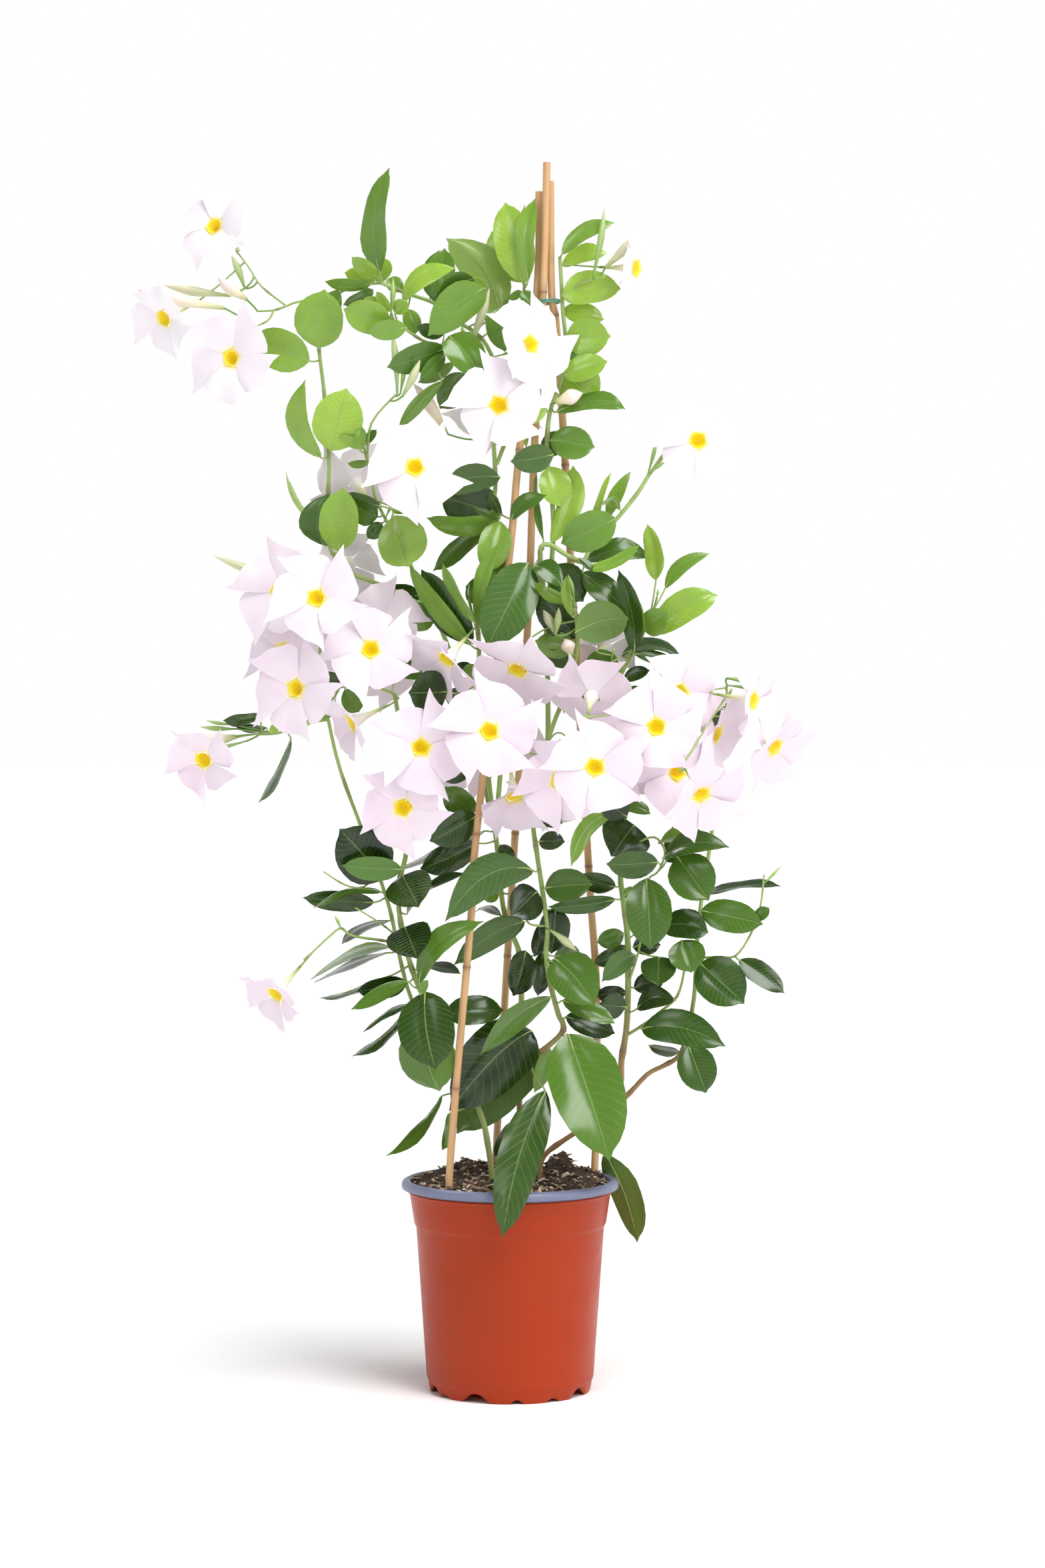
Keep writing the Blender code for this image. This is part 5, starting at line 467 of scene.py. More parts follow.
# Blooms: stem it hangs from; throat x, z, depth; which way it faces in the front view (right, up), and 1
# toward the viewer or -1 away; radius; turn about its axis; flare of the petals in degrees (90 is flat)
BLOOMS = [
    ("stem_top_left", -28.7, 112.7, 0.0, -0.4, 0.3, 1, 4.1, 10, 84),
    ("stem_top_left", -27.1, 99.9, -4.5, -0.45, -0.05, 1, 4.6, 40, 82),
    ("stem_top_left", -1.1, 95.4, -7.0, 0.0, 0.0, 1, 4.5, 5, 88),
    ("stem_left_tall", -9.2, 89.4, -7.0, 0.06, 0.0, 1, 4.5, 25, 88),
    ("stem_top_left", 2.2, 101.3, -6.0, 0.62, 0.15, 1, 4.6, 50, 86),
    ("stem_mid_right", 18.2, 92.0, -4.0, 0.1, 0.05, 1, 4.3, 12, 88),
    ("stem_top_right", 12.4, 108.5, -3.0, 0.85, -0.1, 1, 3.9, 30, 76),
    ("stem_left_outer", -22.4, 77.4, -5.5, -0.38, 0.05, 1, 4.5, 0, 84),
    ("stem_left_outer", -18.8, 76.8, -7.5, -0.1, 0.1, 1, 4.4, 30, 86),
    ("stem_left_outer", -19.9, 73.6, -4.0, -0.35, -0.2, 1, 4.3, 60, 84),
    ("stem_left", -13.5, 71.8, -8.0, 0.05, 0.05, 1, 4.4, 15, 88),
    ("stem_left", -20.9, 68.0, -8.5, -0.45, 0.0, 1, 4.5, 45, 84),
    ("stem_left_outer", -29.8, 61.0, -4.0, -0.35, -0.35, 1, 3.5, 20, 74),
    ("stem_left", -8.6, 62.3, -8.0, 0.1, 0.0, 1, 4.5, 50, 88),
    ("stem_center", -2.0, 63.9, -10.0, 0.0, 0.1, 1, 4.9, 0, 88),
    ("stem_left", -10.4, 56.4, -6.0, 0.0, -0.2, 1, 4.2, 35, 82),
    ("stem_front", 4.8, 59.0, -7.5, -0.1, -0.15, 1, 4.2, 20, 84),
    ("stem_front", 8.2, 60.4, -10.0, 0.0, 0.0, 1, 4.6, 5, 86),
    ("stem_right", 11.2, 61.8, -6.5, -0.2, 0.1, 1, 4.2, 40, 84),
    ("stem_right", 14.2, 64.3, -8.6, 0.1, 0.05, 1, 4.4, 60, 87),
    ("branch_right", 16.6, 67.7, -5.4, 0.45, 0.25, 1, 4.3, 30, 84),
    ("branch_right", 16.3, 59.9, -7.6, 0.42, 0.0, 1, 4.4, 15, 84),
    ("stem_front", 0.6, 69.6, -6.0, -0.3, -0.7, 1, 4.6, 25, 80),
    ("stem_center", -6.3, 70.7, -6.5, -0.55, -0.62, 1, 3.9, 10, 62),
    ("stem_left", -15.6, 64.6, -5.5, -0.84, -0.4, 1, 3.4, 40, 66),
    ("stem_front", 0.4, 57.4, -6.0, 0.1, -0.8, 1, 4.0, 0, 56),
    ("stem_left_outer", -22.9, 38.2, -6.0, -0.55, -0.62, 1, 3.3, 20, 70),
    ("stem_right", 7.9, 67.4, -2.6, 0.1, 0.45, -1, 4.0, 30, 74),
    ("stem_left_tall", -15.0, 88.0, 1.0, -0.4, 0.5, -1, 4.2, 10, 80),
    ("stem_left_outer", -15.6, 80.0, 2.2, 0.1, -0.1, -1, 3.2, 20, 84),
    ("branch_right", 20.3, 63.5, -4.6, 0.84, -0.3, 1, 4.2, 40, 76),
    ("branch_right", 25.8, 62.2, -3.0, 0.6, -0.5, 1, 3.9, 0, 74),
    ("stem_top_left", -33.6, 103.6, -2.0, -0.6, -0.4, 1, 3.6, 30, 76),
    ("branch_right", 18.6, 57.6, -5.6, 0.35, -0.6, 1, 4.2, 25, 72),
    ("branch_right", 23.8, 66.8, -3.0, 0.84, -0.15, 1, 4.0, 50, 78),
    ("stem_left", -12.2, 74.6, -4.0, 0.2, 0.1, -1, 4.0, 5, 84),
    ("stem_left_outer", -22.2, 71.6, -3.6, -0.5, 0.1, 1, 4.2, 35, 84),
    ("stem_right", 9.2, 72.0, 1.2, 0.2, 0.1, -1, 3.2, 45, 80),
]

# Leaves and blooms that fill the back, where the front of the plant hides them
BACK_LEAVES = 10
BACK_SEED = 7
BACK_TRIES = 1600
BACK_FROM = 27                        # height from which they grow
HIDDEN = 0.92                         # share of a leaf that the front must hide
BACK_BLOOMS = [
    ("stem_center", -4.6, 62.0, 9.0, 0.2, 0.0, -1, 4.4, 10, 86),
    ("stem_front", 4.6, 59.0, 9.5, 0.1, 0.1, -1, 4.4, 40, 86),
    ("stem_left", -12.4, 70.8, 7.0, -0.3, 0.1, -1, 4.3, 20, 84),
    ("stem_right", 12.6, 61.4, 8.0, 0.3, 0.1, -1, 4.4, 0, 86),
    ("stem_top_left", -1.6, 95.4, 8.0, 0.0, 0.1, -1, 4.3, 30, 86),
]

# The solids that the placing tests
# petal's edge from its notch: angle, share of the radius, rise
SOLID_PETAL = [(0.0, 0.6, 0.0), (22.0, 0.97, 0.16), (47.0, 1.0, -0.05)]
# section of a bloom from its foot: distance along the axis, radius; the row of the petals' edge is None
BLOOM_SECTION = [(0.0, 0.14), (3.55, 0.66), None, (BLOOM_TUBE, 0.72)]
# section of a short leaf: its two edges and the keel of its rib
KEEL_SECTION = [(1.0, 0.4), (-1.0, 0.4), (0.0, -1.5)]

# Leaf outline from the stalk to the tip: share of the length, share of the half width
LEAF_OUTLINE = [(0.0, 0.06), (0.04, 0.32), (0.11, 0.6), (0.21, 0.84), (0.34, 0.98), (0.48, 1.0), (0.61, 0.97),
                (0.73, 0.85), (0.83, 0.65), (0.9, 0.42), (0.945, 0.17), (1.0, 0.0)]
LEAF_COLUMNS = 6

# Petal from the throat's rim out: shares of its length
PETAL_ROWS = [0.0, 0.16, 0.34, 0.52, 0.7, 0.86, 1.0]
# how far its end reaches, from the side tucked under its neighbour to the pointed side
PETAL_EDGE = [0.62, 0.76, 0.85, 0.905, 0.935, 0.94, 0.94, 0.955, 1.03]
USUAL_BLOOM = 4.4                     # radius of the bloom that a petal's widths and rises fit

# Half section of a bloom's tube: up its outside, over the rim and down into the throat
FUNNEL = [(0.0, 0.0), (0.13, 0.02), (0.15, 0.6), (0.2, 1.5), (0.3, 2.2), (0.47, 2.9), (0.63, 3.5),
          (0.71, 3.85), (0.74, 3.98), (0.7, 3.96), (0.64, 3.78), (0.54, 3.55), (0.38, 3.35), (0.18, 3.2),
          (0.0, 3.35)]
THROAT_BOTTOM = 3.1                   # the inside is yellow above this

BUD_STALK_STEPS = 6
# Bud from its foot to near its tip: share of the length, share of the greatest radius
BUD_OUTLINE = [(0.0, 0.3), (0.12, 0.42), (0.28, 0.62), (0.45, 0.9), (0.58, 1.0), (0.72, 0.86), (0.86, 0.52),
               (0.95, 0.24)]

# Scallops of the pot's foot: degrees from the front, half width and height
FOOT_NOTCHES = [(-53, 0.5, 0.3), (-25, 0.95, 0.85), (5, 0.42, 0.4), (32, 0.5, 0.35), (58, 0.85, 0.85),
                (100, 0.9, 0.75), (145, 0.8, 0.7), (190, 0.9, 0.75), (235, 0.8, 0.7), (290, 0.9, 0.8)]


def held(share):
    """A share kept between 0 and 1."""
    return max(0.0, min(1.0, share))


def seen(x, z, depth):
    """The place, in cm, that the front view sees at (x, z), at a depth behind the pot's axis."""
    on_plane = Vector((x, 0.0, z))
    return EYE + (on_plane - EYE) * (1.0 + depth / -EYE.y)


def curve_through(start, middle, end, share):
    """A point on the smooth curve that passes through the middle at half way."""
    control = middle * 2.0 - (start + end) * 0.5
    return start * (1 - share) ** 2 + control * 2 * share * (1 - share) + end * share ** 2


def smooth_run(points, steps):
    """More points, on a smooth curve through the ones given."""
    run = []
    last = len(points) - 1
    for i in range(last):
        a = points[max(i - 1, 0)]
        b = points[i]
        c = points[i + 1]
        d = points[min(i + 2, last)]
        for step in range(steps):
            t = step / steps
            bend = (2 * a - 5 * b + 4 * c - d) * t ** 2 + (3 * b - a - 3 * c + d) * t ** 3
            run.append((2 * b + (c - a) * t + bend) * 0.5)
    run.append(points[-1])
    return run


def leaf_frame(turn, base, tip):
    """A leaf's side direction and its face direction."""
    along = (tip - base).normalized()
    sight = (EYE - base).normalized()
    side = along.cross(sight).normalized()
    face = side.cross(along).normalized()
    angle = math.radians(turn)
    turned = side * math.cos(angle) + face * math.sin(angle)
    return turned, turned.cross(along).normalized()


def row_and_angle(point, rows):
    """Which row of a ball a point is in, counted from the upper pole, and its angle around."""
    height = max(-1.0, min(1.0, point.z))
    return round(math.acos(height) / math.pi * rows), math.atan2(point.y, point.x)


def ball(columns, rows):
    """A closed ball whose points are then moved: each with its row and its angle around."""
    bm = bmesh.new()
    bmesh.ops.create_uvsphere(bm, u_segments=columns, v_segments=rows, radius=1.0)
    return bm, [(vert, *row_and_angle(vert.co, rows)) for vert in bm.verts]


def leaf_rows(start, base, middle, tip, width, age_and_shade, pad):
    """Rows of a leaf's solid: centre, direction, half width, half thickness and lift of its edges."""
    length = (tip - base).length
    thick = (0.8 + 0.4 * age_and_shade) * SOLID_LEAF / 2 + pad
    stalk = PETIOLE_HALF_WIDTH + pad if length > 3 else PETIOLE_HALF_WIDTH * 0.8 + pad
    along = (tip - base).normalized()
    leave = base - start
    rows = []
    if leave.length > SHORT_STALK:
        leave.normalize()
        rows.append((start, leave, stalk, stalk, 0.0))
        rows.append((base, (leave + along * 1.1).normalized(), stalk, stalk * 0.8, 0.0))
    else:
        rows.append((start, (tip - start).normalized(), stalk, stalk, 0.0))
    long_leaf = length > LONG_LEAF
    shares = [(0.2, 0.76), (0.5, 1.0), (0.8, 0.56)] if long_leaf else [(0.3, 0.93), (0.7, 0.78)]
    fold = 0.16 if long_leaf else 0.06
    for share, part in shares:
        half = width / 2 * part
        rows.append((curve_through(base, middle, tip, share), along, half + pad, thick, half * fold))
    return rows


def leaf_solid(start, base, middle, tip, width, turn, age_and_shade, pad=0.0):
    """The solid of one leaf with its stalk: a folded blade, thick at the rib and thin at its edge."""
    side, face = leaf_frame(turn, base, tip)
    blade = (tip - base).normalized()
    rows = leaf_rows(start, base, middle, tip, width, age_and_shade, pad)
    last = len(rows) + 1
    sides = 4 if (tip - base).length > LONG_LEAF else 3
    bm, places = ball(sides, last)
    for vert, row, angle in places:
        if row == 0:
            vert.co = start - rows[0][1] * 0.04
            continue
        if row == last:
            vert.co = tip + blade * pad
            continue
        around, up = math.cos(angle), math.sin(angle)
        if sides == 3:
            around, up = KEEL_SECTION[round(angle / math.tau * 3) % 3]
        centre, along, half_width, half_thick, lift = rows[row - 1]
        swing = blade.rotation_difference(along)
        across, normal = swing @ side, swing @ face
        vert.co = centre + across * (half_width * around) + normal * (half_thick * up + lift * abs(around))
    return bm


def carried(points):
    """The direction at each point of a run, and one across it that is carried along without a twist."""
    last = len(points) - 1
    along = [(points[min(i + 1, last)] - points[max(i - 1, 0)]).normalized() for i in range(last + 1)]
    across = along[0].orthogonal().normalized()
    pairs = []
    for step in along:
        across = (across - step * across.dot(step)).normalized()
        pairs.append((step, across))
    return pairs


def tube_solid(points, radii, sides=5, pad=0.0):
    """The solid of a stem, stalk or bud: a closed tube along points, with a radius at each."""
    count = len(points)
    bm, places = ball(sides, count + 1)
    pairs = carried(points)
    for vert, row, angle in places:
        if row == 0:
            vert.co = points[0] + pairs[0][0] * -pad
        elif row > count:
            vert.co = points[-1] + pairs[-1][0] * pad
        else:
            step, across = pairs[row - 1]
            out = across * math.cos(angle) + step.cross(across) * math.sin(angle)
            vert.co = points[row - 1] + out * (radii[row - 1] + pad)
    return bm


def bloom_axis(way):
    """Which way a bloom faces, from its direction in the front view."""
    right, up, toward = way
    depth = math.sqrt(max(0.0, 1.0 - right * right - up * up))
    return Vector((right, -toward * depth, up)).normalized()


def petal_place(bloom, degrees, share, rise, pad):
    """A point of a petal's edge: its distance along the bloom's axis and from it."""
    flare = math.radians(bloom[9] - 9.0 * math.sin(2.0 * int(degrees // 72) + bloom[8]))
    length = share * bloom[7] - SOLID_THROAT + pad
    return BLOOM_TUBE - 0.1 + length * math.cos(flare) + rise, SOLID_THROAT + length * math.sin(flare)


def bloom_solid(bloom, throat, pad=0.0):
    """The solid of one bloom: a slender tube that opens to a funnel, and five lopsided petals."""
    axis = bloom_axis(bloom[4:7])
    first = axis.cross(Vector((0, 0, 1))).normalized()
    second = axis.cross(first)
    foot = throat - axis * BLOOM_TUBE
    bm, places = ball(5, 5)
    edge_row = {vert for vert, row, angle in places if row == 3}

    def put(vert, degrees, along, out):
        turn = math.radians(degrees + bloom[8])
        vert.co = foot + axis * along + (first * math.cos(turn) + second * math.sin(turn)) * out

    degrees_of = {}
    for vert, row, angle in places:
        degrees = round(math.degrees(angle) / 72) % 5 * 72.0
        if row == 0:
            vert.co = foot - axis * pad
        elif row == 5:
            vert.co = foot + axis * (BLOOM_TUBE - 1.2 - pad)
        elif row == 3:
            degrees_of[vert] = degrees
            put(vert, degrees, *petal_place(bloom, degrees, *SOLID_PETAL[0][1:], pad))
        else:
            along, out = BLOOM_SECTION[row - 1]
            middle = degrees + 36.0 if row < 3 else degrees
            put(vert, middle, along + (pad if row == 4 else 0.0), out + (pad if row < 3 else -pad))
    for edge in [edge for edge in bm.edges if edge.verts[0] in edge_row and edge.verts[1] in edge_row]:
        low, high = sorted(edge.verts, key=lambda vert: degrees_of[vert])
        if degrees_of[high] - degrees_of[low] > 72.5:
            low = high
        start = degrees_of[low]
        anchor = edge.other_vert(low)
        for degrees, share, rise in SOLID_PETAL[:0:-1]:
            between = next(e for e in low.link_edges if e.other_vert(low) is anchor)
            new = bmesh.utils.edge_split(between, low, 0.5)[1]
            degrees_of[new] = start + degrees
            put(new, start + degrees, *petal_place(bloom, start + degrees, share, rise, pad))
            anchor = new
    for face in [face for face in bm.faces if len(face.verts) == 6]:
        corners = list(face.verts)
        turn = next(i for i in range(6) if corners[i] not in degrees_of and corners[i - 5] not in degrees_of)
        corners = corners[turn:] + corners[:turn]
        for a, b in ((0, 4), (1, 3), (0, 3)):
            other = bmesh.utils.face_split(face, corners[a], corners[b])[0]
            face = max(face, other, key=lambda side: len(side.verts))
    return bm


def folded(bm):
    """Whether a solid passes through itself."""
    flat_faces = bm.copy()
    bmesh.ops.triangulate(flat_faces, faces=flat_faces.faces)
    tree = BVHTree.FromBMesh(flat_faces)
    corners = [set(face.verts) for face in flat_faces.faces]
    found = any(i < j and not corners[i] & corners[j] for i, j in tree.overlap(tree))
    flat_faces.free()
    return found


class Placed:
    """A solid in its place, for the test of what another one would cross."""

    def __init__(self, node, kind, bm):
        self.node = node
        self.kind = kind
        self.bm = bm
        self.tree = BVHTree.FromBMesh(bm)
        self.low = Vector((min(v.co[i] for v in bm.verts) for i in range(3)))
        self.high = Vector((max(v.co[i] for v in bm.verts) for i in range(3)))


placed = []                                # every solid in its place
used_joints = []                           # points of the stems that carry something
stem_samples = {name: [] for name in STEMS}    # points of the stems that may carry something
stems = {name: [] for name in STEMS}       # runs: radius, points
leaves = {name: [] for name in STEMS}      # joint, base, middle, tip, width, turn, age with painted shade
buds = {name: [] for name in STEMS}        # points from the stem to the tip, greatest radius
blooms = {}                                # stem, throat, way, radius, turn, flare, points of its stalk


def crosses(bm, node, kind, joins=("stem", "stalk")):
    """Whether a padded solid crosses anything in its place. It may join the named kinds of its own node."""
    tried = Placed(node, kind, bm)
    for other in placed:
        if node == other.node and other.kind in joins:
            continue
        if any(tried.low[i] > other.high[i] or tried.high[i] < other.low[i] for i in range(3)):
            continue
        if tried.tree.overlap(other.tree):
            return True
    return False


def place_frame():
    """The pot, soil, canes and tie of the frame, in cm: everything else keeps clear of them."""
    for name in (*CANES, "pot", "soil", "tie"):
        bm = bmesh.new()
        bm.from_mesh(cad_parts[name].data)
        bmesh.ops.scale(bm, vec=(1 / CM, 1 / CM, 1 / CM), verts=bm.verts)
        placed.append(Placed(name, "fixed", bm))


def settle_steps(reach, step):
    """0, then one step forward, one back, two forward and so on."""
    yield 0.0
    for i in range(1, reach + 1):
        yield -step * i
        yield step * i


def flat(point):
    """Where the front view sees a point: x and z on the upright plane through the pot's axis."""
    share = -EYE.y / (point.y - EYE.y)
    return EYE.x + (point.x - EYE.x) * share, EYE.z + (point.z - EYE.z) * share


def nearest_joint(node, distance):
    """The point of a stem with the least distance, beside those already taken."""
    def far(point):
        gaps = [(point - other).length for other in used_joints]
        return distance(point) + CROWDING * sum(JOINT_ROOM - gap for gap in gaps if gap < JOINT_ROOM)
    return min(stem_samples[node], key=far)


def joint_seen(node, x, z):
    """The free point of a stem that the front view sees nearest to (x, z)."""
    return nearest_joint(node, lambda point: math.hypot(flat(point)[0] - x, flat(point)[1] - z))


def joint_near(node, place):
    """The free point of a stem nearest to a place."""
    return nearest_joint(node, lambda point: (point - place).length)


def tapered(radius, count):
    """A stem's radius at each of its points, from foot to tip."""
    return [radius * (1.0 - STEM_TAPER * i / (count - 1)) for i in range(count)]


def fork_chain(name):
    """The stems from a stem down to its root."""
    chain = [name]
    while chain[-1] in FORKS:
        chain.append(FORKS[chain[-1]])
    return chain


def forked(node, radius, points):
    """A forking stem's points, with its first one moved up to the trunk until the two nearly touch."""
    trunk = joint_near(FORKS[node], points[0])
    best = points
    for step in range(1, 100):
        tried = [points[0].lerp(trunk, step / 100)] + points[1:]
        if crosses(tube_solid(tried, tapered(radius, len(tried)), 5, GAP * 0.85), node, "stem"):
            break
        best = tried
    return best


def place_stems():
    """The stems with their side runs, the ones that others fork from first."""
    for node in sorted(STEMS, key=lambda name: len(fork_chain(name))):
        for number, (radius, run) in enumerate(STEMS[node]):
            points = [seen(*place) for place in run]
            if number == 0 and node in FORKS:
                points = forked(node, radius, points)
            for a, b in zip(points, points[1:]):
                count = max(2, int((b - a).length / STEM_STEP))
                stem_samples[node].extend(a + (b - a) * (i / count) for i in range(count + 1))
            stems[node].append((radius, points))
            placed.append(Placed(node, "stem", tube_solid(points, tapered(radius, len(points)))))


def stalk_ways(foot, axis, node):
    """Points of stalks that could carry a bloom: they leave along its tube and curve to the stem."""
    side = axis.cross(Vector((0, 0, 1))).normalized()
    up = side.cross(axis)
    near = joint_near(node, foot - axis * 2.0)
    higher = Vector((0, 0, 3))
    for joint in (near, joint_near(node, near - higher), joint_near(node, near + higher)):
        for away in (0.0, 2.5, 5.0):
            for turn in range(0, 360, 60):
                swing = side * math.cos(math.radians(turn)) + up * math.sin(math.radians(turn))
                for bend in (1.6, 3.6):
                    middle = (foot - axis * bend) * 0.6 + joint * 0.4 + swing * away
                    leave = foot - axis * 0.5
                    yield [foot, leave, curve_through(leave, middle, joint, 0.5), joint]
                if away == 0.0:
                    break


def place_bloom(number, bloom):
    """A bloom in its place with the stalk that carries it, moved in depth until both are clear."""
    name = f"bloom_{number:02d}"
    node = bloom[0]
    axis = bloom_axis(bloom[4:7])
    radii = [0.17, 0.13, STALK_RADIUS, STALK_RADIUS]
    for shift in settle_steps(9, BLOOM_STEP):
        throat = seen(bloom[1], bloom[2], bloom[3] + shift)
        if crosses(bloom_solid(bloom, throat, GAP), name, "bloom"):
            continue
        placed.append(Placed(name, "bloom", bloom_solid(bloom, throat)))
        for points in stalk_ways(throat - axis * (BLOOM_TUBE + GAP), axis, node):
            if crosses(tube_solid(points, radii, 3, GAP * 0.9), node, "stalk"):
                continue
            stalk = tube_solid(points, radii, 3)
            if folded(stalk):
                continue
            used_joints.append(points[-1])
            placed.append(Placed(node, "stalk", stalk))
            blooms[name] = (node, throat, bloom[4:7], *bloom[7:], points)
            return
        placed.pop()


def settled(node, bm, joint):
    """Notes a leaf or bud in its place, unless its solid passes through itself."""
    if folded(bm):
        return False
    used_joints.append(joint)
    placed.append(Placed(node, "leaf", bm))
    return True


def leaf_settled(node, shape, joins=("stem", "stalk")):
    """Notes a leaf in its place, unless it crosses the rest or itself."""
    if crosses(leaf_solid(*shape, GAP), node, "leaf", joins):
        return False
    if not settled(node, leaf_solid(*shape), shape[0]):
        return False
    leaves[node].append(shape)
    return True


def place_leaf(node, leaf):
    """A leaf in its place, or moved in depth or turned a little until it is clear of all the rest."""
    x, z, tip_x, tip_z, width, turn, depth, tip_depth, age_and_shade = leaf[:9]
    middle_seen = leaf[9:] or ((x + tip_x) / 2, (z + tip_z) / 2)
    joint = joint_seen(node, x, z)
    apart = ("stem", "stalk")
    # steps in depth, turn in degrees, share of the width, what it may join
    tries = [(9, 0, 1.0, apart)]
    tries += [(6, swing, 1.0, apart) for swing in (25, -25, 50)]
    tries += [(12, swing, 0.85, apart) for swing in (0, 35, -35)]
    tries.append((9, 0, 1.0, (*apart, "leaf")))
    steps = [(shift, *rest) for far, *rest in tries for shift in settle_steps(far, LEAF_STEP)]
    for shift, swing, size, joins in steps:
        reach = joint.y + depth + shift
        base = seen(x, z, reach)
        tip = seen(tip_x, tip_z, reach + tip_depth)
        middle = seen(*middle_seen, reach + tip_depth * 0.4)
        middle += leaf_frame(turn + swing, base, tip)[1] * (0.05 * (tip - base).length)
        if leaf_settled(node, (joint, base, middle, tip, width * size, turn + swing, age_and_shade), joins):
            return


def place_bud(node, bud):
    """A bud on its stalk, moved in depth until it is clear."""
    x, z, tip_x, tip_z, radius, depth = bud
    joint = joint_seen(node, x, z)
    ways = (("stem", "stalk"), ("stem", "stalk", "leaf"))
    for shift, joins in [(shift, joins) for joins in ways for shift in settle_steps(6, LEAF_STEP)]:
        base = seen(x, z, joint.y + depth + shift)
        tip = seen(tip_x, tip_z, joint.y + depth + shift)
        points = [joint, base, base + (tip - base) * 0.55, tip]
        radii = [0.09, 0.1, radius, 0.05]
        if (base - joint).length < 0.15:
            points = [joint] + points[2:]
            radii = [0.1] + radii[2:]
        sides = 4 if radius > 0.3 else 3
        if crosses(tube_solid(points, radii, sides, GAP), node, "leaf", joins):
            continue
        if settled(node, tube_solid(points, radii, sides), joint):
            buds[node].append((points[:-2] + points[-1:], max(radii)))
            return


def covered_cells():
    """Squares of the front view that the placed leaves and blooms cover."""
    cells = set()
    steps = 8
    for piece in placed:
        if piece.kind not in ("leaf", "bloom"):
            continue
        for face in piece.bm.faces:
            corners = [flat(v.co) for v in face.verts]
            halves = [corners[:3]]
            if len(corners) == 4:
                halves.append([corners[2], corners[3], corners[0]])
            for a, b, c in halves:
                for i in range(steps + 1):
                    for j in range(steps + 1 - i):
                        x = a[0] + (b[0] - a[0]) * i / steps + (c[0] - a[0]) * j / steps
                        z = a[1] + (b[1] - a[1]) * i / steps + (c[1] - a[1]) * j / steps
                        cells.add((round(x / CELL), round(z / CELL)))
    return cells


def hidden_share(base, tip, width, cells):
    """How much of a leaf's outline in the front view lies behind what is there."""
    bx, bz = flat(base)
    tx, tz = flat(tip)
    length = math.hypot(tx - bx, tz - bz) or 1.0
    sx, sz = -(tz - bz) / length, (tx - bx) / length
    inside = 0
    tests = [(share, off) for share in (0.15, 0.4, 0.65, 0.9) for off in (-0.45, 0.0, 0.45)]
    for share, off in tests:
        reach = off * width * math.sin(math.pi * min(1.0, share + 0.08))
        x = bx + (tx - bx) * share + sx * reach
        z = bz + (tz - bz) * share + sz * reach
        if (round(x / CELL), round(z / CELL)) in cells:
            inside += 1
    return inside / len(tests)


def place_back_leaves():
    """Leaves on the back of the stems, drawn from a seed and kept where the front hides them."""
    draw = random.Random(BACK_SEED)
    cells = covered_cells()
    names = [name for name in STEMS if name != "stem_top"]
    made = 0
    for _ in range(BACK_TRIES):
        if made >= BACK_LEAVES:
            break
        node = draw.choice(names)
        joint = draw.choice(stem_samples[node])
        length = draw.uniform(5.5, 8.5)
        width = length * draw.uniform(0.42, 0.55)
        swing = draw.uniform(-1.1, 1.1)
        rise = draw.uniform(-0.5, 0.6)
        age_and_shade = draw.uniform(0.3, 1.0)
        turn = draw.uniform(-30, 30)
        if joint.z < BACK_FROM:
            continue
        way = Vector((math.sin(swing), math.cos(swing), rise)).normalized()
        base = joint + way * 1.6
        tip = base + way * length
        if hidden_share(base, tip, width, cells) < HIDDEN:
            continue
        middle = (base + tip) / 2 + Vector((0, 0, 0.06 * length))
        if leaf_settled(node, (joint, base, middle, tip, width, turn, age_and_shade)):
            made += 1


def place_plant():
    """Everything that grows, in its place: stems, blooms, leaves, buds, then what fills the back."""
    place_frame()
    place_stems()
    for number, bloom in enumerate(BLOOMS, start=1):
        place_bloom(number, bloom)
    for node, spots in LEAVES.items():
        for leaf in spots:
            place_leaf(node, leaf)
    for node, spots in BUDS.items():
        for bud in spots:
            place_bud(node, bud)
    for number, bloom in enumerate(BACK_BLOOMS, start=len(BLOOMS) + 1):
        place_bloom(number, bloom)
    place_back_leaves()


def with_tone():
    """A new mesh whose points carry a tone, which the finishes read."""
    bm = bmesh.new()
    tone = bm.verts.layers.float_color.new("tone")
    return bm, tone


def mesh_of(name, bm):
    """A mesh with the faces made so far."""
    mesh = bpy.data.meshes.new(name)
    bm.to_mesh(mesh)
    bm.free()
    return mesh


def linked(name, data):
    """A mesh, lamp or camera put in the scene."""
    thing = bpy.data.objects.new(name, data)
    bpy.context.scene.collection.objects.link(thing)
    return thing


def aimed(name, data, place, target):
    """A lamp or camera at a place, turned to a point."""
    thing = linked(name, data)
    thing.location = place
    thing.rotation_mode = "QUATERNION"
    thing.rotation_quaternion = (target - place).to_track_quat("-Z", "Y")
    return thing


def finished(name, bm, node, finishes, sharp=50.0):
    """A mesh in cm made a piece in metres: it rides the one body and stands for its solid."""
    bmesh.ops.scale(bm, vec=(CM, CM, CM), verts=bm.verts)
    mesh = mesh_of(name, bm)
    for finish in finishes:
        mesh.materials.append(finish)
    mesh.shade_smooth()
    mesh.set_sharp_from_angle(angle=math.radians(sharp))
    piece = linked(name, mesh)
    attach(piece, "root")
    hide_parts(node)


def tube(bm, tone, points, radii, sides, tones):
    """A closed tube along points, with a radius and a tone at each."""
    count = len(points)
    pairs = carried(points)
    made = bmesh.ops.create_uvsphere(bm, u_segments=sides, v_segments=count + 1, radius=1.0)["verts"]
    for vert in made:
        row = row_and_angle(vert.co, count + 1)[0]
        i = max(0, min(count - 1, row - 1))
        vert[tone] = tones[i]
        if row in (0, count + 1):
            vert.co = points[i]
            continue
        step, across = pairs[i]
        out = Vector((vert.co.x, vert.co.y, 0.0)).normalized()
        vert.co = points[i] + (across * out.x + across.cross(step) * out.y) * radii[i]
    return made


